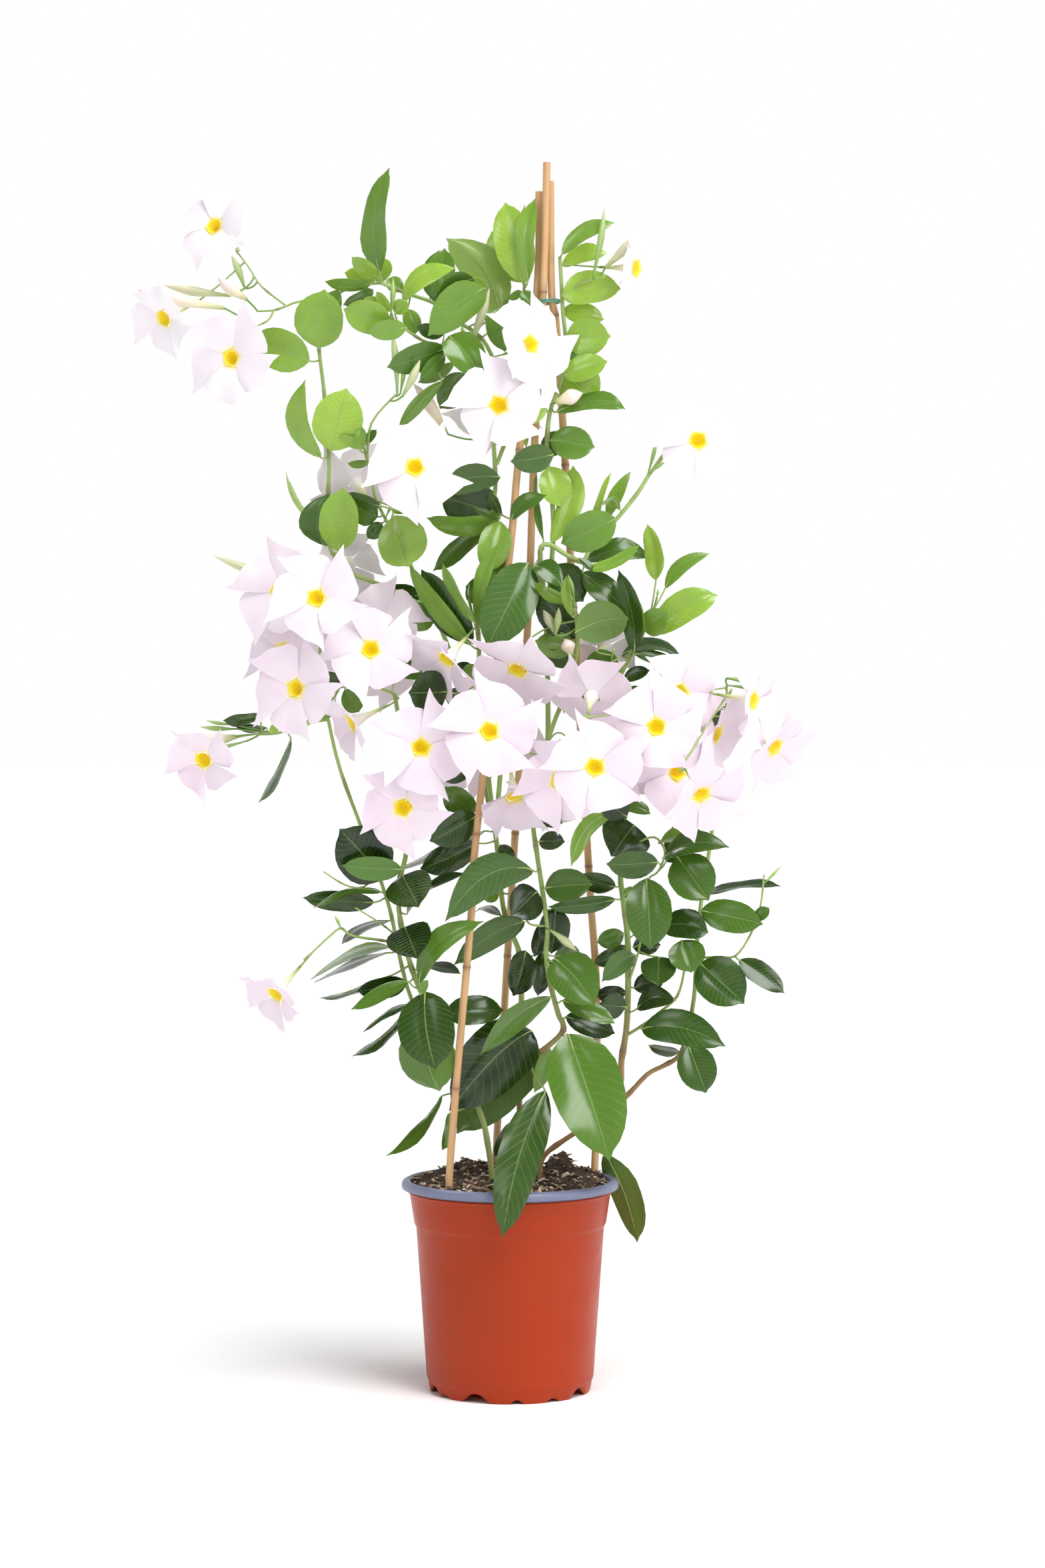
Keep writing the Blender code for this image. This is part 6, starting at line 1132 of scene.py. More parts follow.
def spun(bm, profile, steps, rounding=0.0):
    """A half section on +X, with its corners rounded, spun a full turn about Z and closed."""
    ring = [bm.verts.new((radius, 0.0, height)) for radius, height in profile]
    for pair in zip(ring, ring[1:]):
        bm.edges.new(pair)
    if rounding:
        bmesh.ops.bevel(bm, geom=ring[1:-1], offset=rounding, offset_type="OFFSET", segments=3, profile=0.5,
                        affect="VERTICES", material=-1)
    section = list(bm.verts) + list(bm.edges)
    bmesh.ops.spin(bm, geom=section, cent=(0, 0, 0), axis=(0, 0, 1), dvec=(0, 0, 0), angle=math.tau,
                   steps=steps, use_merge=True)
    bmesh.ops.remove_doubles(bm, verts=bm.verts, dist=0.0005)
    bmesh.ops.recalc_face_normals(bm, faces=bm.faces)


def leaf_blade(bm, tone, blade, leaf, draw):
    """A thin folded blade: pointed, a little wavy, with its two sides marked in the tone."""
    base, middle, tip, width, turn, age_and_shade = leaf[1:]
    length = (tip - base).length
    side, face = leaf_frame(turn, base, tip)
    fold = draw.uniform(0.12, 0.36)
    wave = draw.uniform(0.008, 0.026) * length
    phase = draw.uniform(0.0, math.tau)
    hook = draw.uniform(0.01, 0.05) * length
    tint = draw.random()
    last = len(LEAF_OUTLINE) - 1
    made = bmesh.ops.create_grid(bm, x_segments=LEAF_COLUMNS, y_segments=last, size=1.0)["verts"]
    faces = list({f for vert in made for f in vert.link_faces})
    end = []
    for f in faces:
        for loop in f.loops:
            row = round((loop.vert.co.y + 1.0) / 2.0 * last)
            loop[blade].uv = (loop.vert.co.x * 0.5 + 0.5, LEAF_OUTLINE[row][0])
    for vert in made:
        row = round((vert.co.y + 1.0) / 2.0 * last)
        share, part = LEAF_OUTLINE[row]
        across = vert.co.x
        reach = part * width / 2.0
        lift = reach * (fold * abs(across) - 0.1 * across ** 4)
        lift += wave * math.sin(phase + 8.0 * share + 1.5 * across) * across ** 2 * part
        lift -= hook * max(0.0, share - 0.7) ** 2 * 6.0
        vert.co = curve_through(base, middle, tip, share) + side * (reach * across) + face * lift
        vert[tone] = (age_and_shade, 0.0, tint, 1.0)
        if row == last:
            end.append(vert)
    bmesh.ops.remove_doubles(bm, verts=end, dist=0.01)
    faces = [f for f in faces if f.is_valid]
    top = {vert for f in faces for vert in f.verts}
    shell = bmesh.ops.solidify(bm, geom=faces, thickness=LEAF_THICKNESS)["geom"]
    under = {vert for f in shell if isinstance(f, bmesh.types.BMFace) for vert in f.verts} - top
    for vert in under:
        vert[tone] = (age_and_shade, 1.0, tint, 1.0)


def make_leaves(node, finish):
    """All the blades of a stem, as one piece."""
    draw = random.Random(node)
    bm, tone = with_tone()
    blade = bm.loops.layers.uv.new("blade")
    for leaf in leaves[node]:
        height = leaf[1].z
        # painted light and shade: blades high up are shifted toward the light greens and blades low down
        # toward the dark ones, by height alone
        painted_top_light = 0.45 * held((height - 60.0) / 42.0)
        painted_low_shade = 0.12 * held((58.0 - height) / 12.0)
        leaf_blade(bm, tone, blade, (*leaf[:6], held(leaf[6] - painted_top_light + painted_low_shade)), draw)
    finished(node + "_leaves", bm, node, [finish])


def wood_share(node, height, radius):
    """How woody a stem is: brown and thick low down, green and thin high up or on the youngest stem."""
    ripe = 0.36 if node == YOUNG_STEM else 1.0
    return ripe * held((46.0 - height) / 22.0) * min(1.0, radius / 0.24)


def stem_run(bm, tone, node, radius, run):
    """A stem that tapers, with a swelling every few centimetres where leaves have grown."""
    points = smooth_run(run, 4)
    count = len(points)
    reach = 0.0
    radii = []
    tones = []
    for i, point in enumerate(points):
        if i:
            reach += (point - points[i - 1]).length
        near = abs((reach / STEM_JOINTS) % 1.0 - 0.5) * STEM_JOINTS
        swell = math.exp(-(near / 0.35) ** 2)
        thin = radius * (1.0 - STEM_TAPER * i / (count - 1))
        radii.append(thin * (1.0 + 0.22 * swell))
        tones.append((wood_share(node, point.z, radius), swell, 0.5, 1.0))
    tube(bm, tone, points, radii, 8, tones)


def stalk_run(bm, tone, points, radii, sides, age_and_shade, steps=3):
    """A thin green stalk, redder where it meets the stem."""
    run = smooth_run(points, steps)
    share = [i / (len(run) - 1) for i in range(len(run))]
    last = len(radii) - 1
    sizes = []
    for s in share:
        i = min(last - 1, int(s * last))
        sizes.append(radii[i] + (radii[i + 1] - radii[i]) * (s * last - i))
    tones = [(0.15 * age_and_shade, 0.7 * max(0.0, 1.0 - 4.0 * s), 0.5, 1.0) for s in share]
    tube(bm, tone, run, sizes, sides, tones)


def make_stems(node, finish):
    """A stem with its side runs, the leaves' petioles and midribs, and the blooms' stalks, as one piece."""
    bm, tone = with_tone()
    for radius, run in stems[node]:
        stem_run(bm, tone, node, radius, run)
    for leaf in leaves[node]:
        joint, base, middle, tip = leaf[:4]
        face = leaf_frame(leaf[5], base, tip)[1]
        into = [curve_through(base, middle, tip, share) - face * (0.03 + 0.12 * share)
                for share in (0.12, 0.5, 0.85)]
        bow = (joint + base) * 0.5 - Vector((0, 0, 0.06)) * (base - joint).length
        radii = [PETIOLE_RADIUS * 1.3, PETIOLE_RADIUS, PETIOLE_RADIUS, 0.07, 0.045, 0.02]
        stalk_run(bm, tone, [joint, bow, base - face * 0.02] + into, radii, 6, leaf[6])
    for bloom in blooms.values():
        if bloom[0] == node:
            stalk_run(bm, tone, bloom[-1][::-1], [STALK_RADIUS, 0.085, 0.095, 0.14], 6, 0.0, 6)
    finished(node + "_stems", bm, node, [finish])


def make_buds(node, finish):
    """The buds of a stem on their stalks: slender spindles with a slight twist, as one piece."""
    bm, tone = with_tone()
    for number, (points, radius) in enumerate(buds[node]):
        ripe = held((radius - 0.3) / 0.3)
        base, tip = points[-2], points[-1]
        if len(points) > 2:
            joint = points[0]
            bow = (tip - base).normalized() * (0.16 * (base - joint).length)
            shares = [i / BUD_STALK_STEPS for i in range(BUD_STALK_STEPS + 1)]
            run = [curve_through(joint, (joint + base) * 0.5 - bow, base, share) for share in shares]
            tube(bm, tone, run, [0.09 + 0.01 * share for share in shares], 6,
                 [(0.0, 0.2 * (1.0 - share), 0.5, 1.0) for share in shares])
        across = (tip - base).orthogonal().normalized()
        bow = across * (0.03 * (tip - base).length)
        middle = (base + tip) / 2 + bow
        rows = [curve_through(base, middle, tip, share) for share, part in BUD_OUTLINE] + [tip]
        sizes = [max(0.06, radius * part) for share, part in BUD_OUTLINE] + [0.025]
        tones = [(share, ripe, (number * 0.37) % 1.0, 1.0) for share, part in BUD_OUTLINE]
        made = tube(bm, tone, rows, sizes, 10, tones + [(1.0, ripe, 0.5, 1.0)])
        along = (tip - base).normalized()
        for vert in made:
            share = (vert.co - base).dot(along) / (tip - base).length
            on_line = base + along * (share * (tip - base).length)
            out = vert.co - on_line
            angle = math.atan2(out.dot(across.cross(along)), out.dot(across))
            vert.co += out * (0.12 * math.cos(5.0 * angle + 5.0 * share) * (1.0 - share))
    finished(node + "_buds", bm, node, [finish])


def bloom_place(throat, way):
    """The frame of a bloom: its foot, and its axis as Z."""
    axis = bloom_axis(way)
    first = axis.cross(Vector((0, 0, 1))).normalized()
    second = axis.cross(first)
    foot = throat - axis * BLOOM_TUBE
    turn = Matrix((first, second, axis)).transposed().to_4x4()
    return Matrix.Translation(foot) @ turn


def petal(bm, tone, number, radius, roll, flare, painted_top_glare, draw):
    """One lopsided petal that bends out from the rim of the throat, over its neighbour on one side."""
    centre = math.radians(roll + 72.0 * number + 36.0)
    out = Vector((math.cos(centre), math.sin(centre), 0.0))
    around = Vector((-math.sin(centre), math.cos(centre), 0.0))
    bent = math.radians(flare - 9.0 * math.sin(2.0 * number + roll))
    way = Vector((0, 0, 1)) * math.cos(bent) + out * math.sin(bent)
    front = Vector((0, 0, 1)) * math.sin(bent) - out * math.cos(bent)
    length = radius - THROAT_RADIUS
    size = radius / USUAL_BLOOM
    ruffle = draw.uniform(0.05, 0.22)
    reach = draw.uniform(0.93, 1.06)
    point = draw.uniform(-0.02, 0.09)
    tilt = draw.uniform(0.05, 0.19)
    phase = draw.uniform(0.0, math.tau)
    curl = draw.uniform(0.02, 0.42)
    roll_back = draw.uniform(-0.12, 0.26)
    last = len(PETAL_ROWS) - 1
    columns = len(PETAL_EDGE) - 1
    made = bmesh.ops.create_grid(bm, x_segments=columns, y_segments=last, size=1.0)["verts"]
    faces = list({f for vert in made for f in vert.link_faces})
    # the petal's tint: a random share plus painted glare from the bloom's height
    tint = 0.3 * draw.random() + 0.7 * painted_top_glare
    for vert in made:
        column = round((vert.co.x + 1.0) / 2.0 * columns)
        share = PETAL_ROWS[round((vert.co.y + 1.0) / 2.0 * last)]
        across = -vert.co.x
        edge = PETAL_EDGE[columns - column] + point * max(0.0, across) ** 4
        edge = reach * (edge + 0.022 * math.sin(6.5 * across + 2.0 * phase) * share)
        edge = 1.0 + (edge - 1.0) * min(1.0, 0.35 + 1.2 * share)
        reached = share * edge
        half = 0.62 + 2.75 * reached - 0.6 * reached ** 2
        rise = tilt * across * (0.25 + 0.75 * share) * size
        rise -= 0.3 * (1.0 - share) ** 3
        rise -= curl * share ** 2 * size
        rise += ruffle * math.sin(4.0 * across + phase) * share ** 2
        rise += 0.3 * ruffle * math.sin(9.0 * across + 3.0 * phase) * share ** 3
        rise -= roll_back * across ** 2 * share
        rise -= 0.09 * math.exp(-(across / 0.2) ** 2) * share * (1.2 - share)
        place = out * (THROAT_RADIUS - 0.06) + Vector((0, 0, BLOOM_TUBE - 0.05))
        place += way * (length * reached) + around * (half * size * across) + front * rise
        vert.co = place
        vert[tone] = (share, abs(across) ** 2 * share, tint, 1.0)
    upper = set(bm.verts)
    bmesh.ops.solidify(bm, geom=faces, thickness=PETAL_THICKNESS)
    for vert in set(bm.verts) - upper:
        vert[tone] = (max(vert[tone][0], 0.22), *vert[tone][1:])


def make_bloom(name, finishes):
    """A bloom: a slender tube that opens to a yellow throat, and five petals."""
    throat, way, radius, roll, flare = blooms[name][1:6]
    draw = random.Random(name)
    bm, tone = with_tone()
    spun(bm, FUNNEL, 20)
    rim = max(place[1] for place in FUNNEL)
    for f in bm.faces:
        middle = f.calc_center_median()
        inward = f.normal.x * middle.x + f.normal.y * middle.y < 0 or f.normal.z > 0.6
        f.material_index = 1 if inward and middle.z > THROAT_BOTTOM else 2
    for vert in bm.verts:
        share = vert.co.z / rim
        vert[tone] = (share, 0.0, 0.5, 1.0)
        off = (math.degrees(math.atan2(vert.co.y, vert.co.x)) - roll) % 72.0 - 36.0
        open_out = 1.0 + 0.35 * (1.0 / math.cos(math.radians(off)) - 1.0) * max(0.0, share * 3.0 - 2.0)
        vert.co.x *= open_out
        vert.co.y *= open_out
    # painted light: blooms higher up are made whiter, as if washed out by the light
    painted_top_glare = held((throat.z - 62.0) / 45.0)
    for number in range(5):
        petal(bm, tone, number, radius, roll, flare, painted_top_glare, draw)
    bmesh.ops.transform(bm, matrix=bloom_place(throat, way), verts=bm.verts)
    finished(name + "_petals", bm, name, finishes)


def make_cane(name, finish):
    """A bamboo cane: thin internodes between ringed nodes, cut square at its top."""
    draw = random.Random(name)
    points = smooth_run([seen(*place) for place in CANES[name]], 16)
    nodes = []
    height = points[0].z + draw.uniform(4.0, 9.0)
    while height < points[-1].z - 3.0:
        nodes.append(height)
        height += draw.uniform(11.0, 16.0)
    run = []
    for a, b in zip(points, points[1:]):
        run.append(a)
        for node in nodes:
            if a.z < node <= b.z:
                step = (b - a) / (b.z - a.z)
                middle = a + step * (node - a.z)
                run.extend(middle + step * off for off in (-0.22, -0.1, 0.0, 0.1, 0.22))
    run.append(points[-1])
    run.sort(key=lambda place: place.z)
    run = [place for i, place in enumerate(run) if i == 0 or place.z - run[i - 1].z > 0.03]
    radii = []
    tones = []
    for place in run:
        near = min(abs(place.z - node) for node in nodes)
        ring = math.exp(-(near / 0.13) ** 2)
        radii.append(CANE_RADIUS * (0.95 + 0.13 * ring))
        tones.append((ring, math.exp(-(near / 0.6) ** 2), draw.random(), 1.0))
    bm, tone = with_tone()
    tube(bm, tone, run, radii, 14, tones)
    finished(name + "_bamboo", bm, name, [finish], 40.0)


def make_tie(finish):
    """Coated wire wound twice round the canes, with its two ends twisted together at the right."""
    centre = seen(*TIE_CENTRE)
    bm, tone = with_tone()
    count = 60
    loop = []
    for i in range(count + 1):
        turn = math.tau * (i / count) * 0.965
        height = 0.25 * math.sin(turn / 2)
        loop.append(centre + Vector((-0.75 - 1.5 * math.cos(turn), -1.15 * math.sin(turn), height)))
    second = [place + Vector((0.0, 0.0, 0.19 - 0.02 * math.sin(i / 5.0))) for i, place in enumerate(loop)]
    for wind in (loop, second):
        tube(bm, tone, wind, [WIRE_RADIUS] * len(wind), 8, [PLAIN] * len(wind))
    foot = loop[-1]
    for phase in (0.0, math.pi):
        twist = []
        for i in range(24):
            angle = phase + i * 0.9
            rise = 0.1 + 0.1 * math.sin(angle) - 0.02 * i
            twist.append(foot + Vector((0.05 + 0.045 * i, 0.1 * math.cos(angle), rise)))
        tube(bm, tone, twist, [0.075] * len(twist), 6, [PLAIN] * len(twist))
    finished("tie_wire", bm, "tie", [finish])


def notch_height(angle, radius):
    """How far the pot's foot is cut away at an angle."""
    found = 0.0
    for degrees, half_width, height in FOOT_NOTCHES:
        turn = math.radians(degrees - 90)
        off = (angle - turn + math.pi) % math.tau - math.pi
        across = abs(off) * radius / (half_width * NOTCH_SPREAD)
        if across < 1.0:
            found = max(found, height * (0.5 + 0.5 * math.cos(math.pi * across ** 1.3)))
    return found


def make_pot(body, lip):
    """The pot: tapered wall with a collar, rolled lip, stepped base and a scalloped foot."""
    top = POT_HEIGHT
    rim = POT_RIM_RADIUS
    inside = [(0.0, 0.3), (5.2, 0.3), (5.5, 1.1), (7.9, 1.25), (8.95, 15.9), (9.5, 18.9), (9.7, top - 0.12)]
    roll = [(10.05, top), (rim - 0.1, top - 0.2), (rim, top - 0.5), (rim - 0.05, top - 0.85),
            (9.8, top - 0.95)]
    outside = [(9.78, 19.46), (9.9, 19.38), (9.9, 19.24), (9.74, 19.14), (9.66, 18.6), (9.32, 16.3),
               (9.12, 15.9), (8.1, 1.35), (8.02, 1.2), (7.97, 1.05), (7.75, 0.0)]
    under = [(7.5, 0.0), (7.4, NOTCH_FROM), (5.8, 0.85), (5.4, 0.0), (0.0, 0.0)]
    bm, tone = with_tone()
    spun(bm, inside + roll + outside + under, 180, 0.06)
    for vert in bm.verts:
        radius = math.hypot(vert.co.x, vert.co.y)
        if vert.co.z < NOTCH_FROM - 0.01 and radius > FOOT_INSIDE:
            cut = notch_height(math.atan2(vert.co.y, vert.co.x), FOOT_RADIUS)
            vert.co.z += cut * (1.0 - vert.co.z / NOTCH_FROM)
        vert[tone] = PLAIN
    for f in bm.faces:
        middle = f.calc_center_median()
        inner = f.normal.x * middle.x + f.normal.y * middle.y < 0 and middle.z > 1.4
        f.material_index = 1 if inner or middle.z > LIP_FROM else 0
    finished("pot_shell", bm, "pot", [body, lip], 35.0)


def soil_height(x, y):
    """Lumpy top of the soil, up to the brim, with a tall clod behind the branch and heaps at the back."""
    lumps = 0.16 * math.sin(1.9 * x + 0.7) * math.sin(1.6 * y - 0.4) + 0.1 * math.sin(3.1 * x - 2.2 * y)
    clod = 2.0 * math.exp(-((x - 4.7) / 1.3) ** 4 - ((y - 3.6) / 1.5) ** 2)
    clod += 0.9 * math.exp(-((x - 7.0) ** 2 + (y - 3.2) ** 2) / 2.4)
    heap = 0.75 * math.exp(-((x + 3.6) / 3.4) ** 2 - ((y - 6.4) / 2.4) ** 2)
    back = 0.35 * held((y - 1.0) / 5.0)
    coarse = 0.2 * noise.noise(Vector((x * 1.7, y * 1.7, 3.0)))
    grain = coarse + 0.16 * noise.noise(Vector((x * 4.5, y * 4.5, 9.0)))
    return SOIL_LEVEL + 0.2 + lumps + clod + heap + back + grain


def soil_top(x, y, radius):
    """Height of the soil at a place, lower against the pot."""
    return soil_height(x, y) - SOIL_FALL * held((radius - 8.0) / 1.5)


def make_soil(finish, crumb_finish):
    """The root ball under a grainy top, and the loose crumbs, bark and fibres on it."""
    rows = [(5.13, 0.335), (5.43, 1.135), (7.86, 1.287), (8.912, 15.9), (9.46, 18.9), (9.6, 19.5)]
    count = len(rows) + SOIL_RINGS
    bm, tone = with_tone()
    made = bmesh.ops.create_uvsphere(bm, u_segments=84, v_segments=count, radius=1.0)["verts"]
    for vert in made:
        row = row_and_angle(-vert.co, count)[0]
        out = Vector((vert.co.x, vert.co.y, 0.0))
        out = out.normalized() if 0 < row < count else Vector((0, 0, 0))
        if row == 0:
            vert.co = Vector((0, 0, rows[0][1]))
        elif row <= len(rows):
            radius, height = rows[row - 1]
            vert.co = out * radius + Vector((0, 0, height))
        else:
            radius = SOIL_RADIUS * (1.0 - (row - len(rows)) / SOIL_RINGS)
            place = out * radius
            vert.co = Vector((place.x, place.y, soil_top(place.x, place.y, radius)))
        vert[tone] = (0.2 + 0.3 * noise.noise(vert.co * 0.9), 0.0, 0.5, 1.0)
    bmesh.ops.recalc_face_normals(bm, faces=bm.faces)
    finished("soil_ball", bm, "soil", [finish], 60.0)

    draw = random.Random("crumbs")
    bm, tone = with_tone()
    for number in range(CRUMBS):
        radius = 9.5 * math.sqrt(draw.random())
        angle = draw.uniform(0.0, math.tau)
        x, y = radius * math.cos(angle), radius * math.sin(angle)
        size = draw.uniform(0.06, 0.22)
        long = size * (draw.uniform(2.5, 6.0) if number % 4 == 0 else draw.uniform(1.0, 1.7))
        thin = size * (0.35 if number % 4 == 0 else draw.uniform(0.6, 1.0))
        pale = draw.random() ** 0.9
        made = bmesh.ops.create_icosphere(bm, subdivisions=1, radius=1.0)["verts"]
        around = Matrix.Rotation(draw.uniform(0, math.tau), 4, "Z")
        tilt = around @ Matrix.Rotation(draw.uniform(-0.6, 0.6), 4, "Y")
        spot = Vector((x, y, soil_top(x, y, radius) + size * 0.35))
        for vert in made:
            rough = 1.0 + 0.35 * noise.noise(vert.co * 1.7 + Vector((number, 0, 0)))
            vert.co = Vector((vert.co.x * long, vert.co.y * size, vert.co.z * thin)) * rough
            vert[tone] = (pale, 0.0, draw.random(), 1.0)
        bmesh.ops.transform(bm, matrix=Matrix.Translation(spot) @ tilt, verts=made)
    finished("soil_crumbs", bm, "soil", [crumb_finish], 30.0)


class Nodes:
    """A tree of nodes, with a short way to add each kind that the finishes use."""

    def __init__(self, tree):
        self.tree = tree

    def add(self, kind, **settings):
        """A new node with its settings."""
        node = self.tree.nodes.new(kind)
        for key, value in settings.items():
            setattr(node, key, value)
        return node

    def put(self, value, socket):
        """A colour or a number set on a socket; anything else is linked to it."""
        if isinstance(value, tuple):
            socket.default_value = (*value, 1.0)
        elif isinstance(value, (int, float)):
            socket.default_value = value
        else:
            self.tree.links.new(value, socket)

    def calc(self, operation, first, second=None, clamp=False):
        """One sum of numbers or sockets."""
        node = self.add("ShaderNodeMath", operation=operation, use_clamp=clamp)
        self.put(first, node.inputs[0])
        if second is not None:
            self.put(second, node.inputs[1])
        return node.outputs[0]

    def step(self, value, low, high, to_low=0.0, to_high=1.0):
        """A soft step from one value to another."""
        node = self.add("ShaderNodeMapRange", interpolation_type="SMOOTHSTEP")
        for number, socket in zip((value, low, high, to_low, to_high), node.inputs):
            self.put(number, socket)
        return node.outputs[0]

    def blend(self, share, first, second, kind="MIX"):
        """A colour mixed from two; each is a colour or a socket."""
        node = self.add("ShaderNodeMix", data_type="RGBA", blend_type=kind)
        for number, value in ((0, share), (6, first), (7, second)):
            self.put(value, node.inputs[number])
        return node.outputs[2]

    def ramp(self, value, stops):
        """A colour for each share of a value."""
        node = self.add("ShaderNodeValToRGB")
        self.put(value, node.inputs[0])
        bar = node.color_ramp
        while len(bar.elements) < len(stops):
            bar.elements.new(0.5)
        for element, (share, colour) in zip(bar.elements, stops):
            element.position = share
            element.color = (*colour, 1.0)
        return node.outputs[0]

    def split(self, value):
        """The three parts of a place or a direction."""
        node = self.add("ShaderNodeSeparateXYZ")
        self.put(value, node.inputs[0])
        return tuple(node.outputs)

    def tone(self):
        """The three numbers that a mesh's points carry."""
        node = self.add("ShaderNodeSeparateColor")
        self.put(self.add("ShaderNodeAttribute", attribute_name="tone").outputs["Color"], node.inputs[0])
        return tuple(node.outputs)

    def grain(self, scale, detail=3.0, stretch=(1.0, 1.0, 1.0)):
        """Noise in the object's own places, stretched if wanted."""
        spread = self.add("ShaderNodeMapping")
        spread.inputs["Scale"].default_value = stretch
        self.put(self.add("ShaderNodeTexCoord").outputs["Object"], spread.inputs["Vector"])
        node = self.add("ShaderNodeTexNoise")
        self.put(scale, node.inputs["Scale"])
        self.put(detail, node.inputs["Detail"])
        self.put(spread.outputs[0], node.inputs["Vector"])
        return node.outputs[0]


class Finish(Nodes):
    """A finish: its material, and the looks of its shader."""

    def __init__(self, name, rough):
        self.material = bpy.data.materials.new(name)
        self.material.use_nodes = True
        super().__init__(self.material.node_tree)
        self.look("Roughness", rough)

    def look(self, name, value):
        """One of the shader's inputs: a number, a colour or a socket."""
        self.put(value, self.tree.nodes["Principled BSDF"].inputs[name])

    def bump(self, height, strength, distance):
        """Fine relief, by a height."""
        node = self.add("ShaderNodeBump")
        self.put(strength, node.inputs["Strength"])
        self.put(distance, node.inputs["Distance"])
        self.put(height, node.inputs["Height"])
        self.look("Normal", node.outputs[0])


def leaf_finish():
    """Glossy leaf: fresh to dark green with age and painted shade, a pale midrib, faint side veins and a dull
    underside.
    """
    leaf = Finish("leaf_gloss", 0.3)
    leaf.look("Coat Weight", 0.75)
    leaf.look("Coat Roughness", 0.18)
    leaf.look("Specular IOR Level", 0.12)
    age_and_shade, under, tint = leaf.tone()
    place = leaf.split(leaf.add("ShaderNodeUVMap", uv_map="blade").outputs[0])
    across = leaf.calc("ABSOLUTE", leaf.calc("SUBTRACT", place[0], 0.5))
    # painted shade and light: the darkest greens also stand for shade deep in the plant, the lightest for
    # leaves lit from behind
    green = leaf.ramp(age_and_shade, [(0.0, (0.28, 0.46, 0.055)), (0.35, (0.11, 0.235, 0.026)),
                            (0.7, (0.03, 0.08, 0.007)), (1.0, (0.009, 0.026, 0.003))])
    warm = leaf.blend(tint, (0.6, 0.7, 0.68), (1.36, 1.28, 1.16))
    green = leaf.blend(1.0, green, warm, "MULTIPLY")
    patch = leaf.step(leaf.grain(60.0), 0.35, 0.7, 0.0, 0.16)
    green = leaf.blend(patch, green, (0.09, 0.17, 0.015))
    slant = leaf.calc("SUBTRACT", leaf.calc("MULTIPLY", place[1], 13.0), leaf.calc("MULTIPLY", across, 5.0))
    wave = leaf.calc("ABSOLUTE", leaf.calc("SUBTRACT", leaf.calc("FRACT", slant), 0.5))
    vein = leaf.step(wave, 0.0, 0.14, 1.0, 0.0)
    rib = leaf.step(across, 0.005, 0.02, 1.0, 0.0)
    green = leaf.blend(leaf.calc("MULTIPLY", vein, 0.2), green, (0.16, 0.27, 0.07))
    green = leaf.blend(leaf.calc("MULTIPLY", rib, 0.45), green, (0.24, 0.37, 0.13))
    dull = leaf.blend(leaf.calc("MULTIPLY", vein, 0.3), (0.17, 0.28, 0.07), (0.22, 0.34, 0.1))
    dull = leaf.blend(0.4, dull, green)
    leaf.look("Base Color", leaf.blend(under, green, dull))
    leaf.look("Roughness", leaf.step(under, 0.0, 1.0, 0.24, 0.5))
    leaf.bump(leaf.calc("ADD", leaf.calc("MULTIPLY", vein, 0.5), rib), 0.3, -0.001)
    return leaf.material


def petal_finish():
    """Petal: white with a breath of pink lavender, cream at the throat and yellow at its very rim; its tint
    is partly random and partly painted glare, whiter and less pink on blooms higher up.
    """
    skin = Finish("petal_pale", 0.55)
    share, tint = skin.tone()[::2]
    # toward white by the tint: partly random, partly painted glare
    pale = skin.blend(tint, (0.8, 0.68, 0.775), (0.9, 0.87, 0.9))
    blush = skin.step(skin.grain(45.0), 0.35, 0.75, 0.0, 0.5)
    pinker = skin.calc("MULTIPLY", blush, skin.calc("SUBTRACT", 1.0, tint))
    pale = skin.blend(pinker, pale, (0.8, 0.62, 0.74))
    pale = skin.blend(skin.step(share, 0.0, 0.16, 1.0, 0.0), pale, (0.86, 0.78, 0.4))
    skin.look("Base Color", skin.blend(skin.step(share, 0.0, 0.06, 1.0, 0.0), pale, (0.9, 0.7, 0.02)))
    skin.look("Sheen Weight", 0.1)
    skin.bump(skin.grain(260.0), 0.12, 0.0006)
    return skin.material


def throat_finish():
    """Throat: strong yellow, ochre in its depth."""
    skin = Finish("throat_yellow", 0.5)
    yellow = skin.ramp(skin.tone()[0], [(0.76, (0.72, 0.46, 0.004)), (0.82, (0.86, 0.62, 0.004)),
                                        (0.92, (0.9, 0.7, 0.008)), (1.0, (0.9, 0.78, 0.08))])
    skin.look("Base Color", yellow)
    return skin.material


def tube_finish():
    """Outside of a bloom's tube: green at the foot, then yellowish, then as pale as the petals."""
    skin = Finish("bloom_tube", 0.5)
    colour = skin.ramp(skin.tone()[0], [(0.0, (0.16, 0.3, 0.06)), (0.12, (0.3, 0.42, 0.12)),
                                        (0.4, (0.72, 0.72, 0.36)), (0.75, (0.9, 0.84, 0.76)),
                                        (1.0, (0.93, 0.85, 0.9))])
    skin.look("Base Color", colour)
    return skin.material


def stem_finish():
    """Stem: brown wood low down, fresh green above, reddish brown at its joints."""
    bark = Finish("stem_bark", 0.45)
    wood, knot = bark.tone()[:2]
    grain = bark.grain(120.0, 4.0, (1.0, 1.0, 0.15))
    green = bark.blend(grain, (0.24, 0.37, 0.08), (0.4, 0.53, 0.17))
    brown = bark.blend(grain, (0.2, 0.1, 0.035), (0.42, 0.25, 0.11))
    colour = bark.blend(bark.step(wood, 0.15, 0.75), green, brown)
    bark.look("Base Color", bark.blend(bark.calc("MULTIPLY", knot, 0.6), colour, (0.2, 0.1, 0.05)))
    bark.bump(grain, 0.4, 0.0006)
    return bark.material


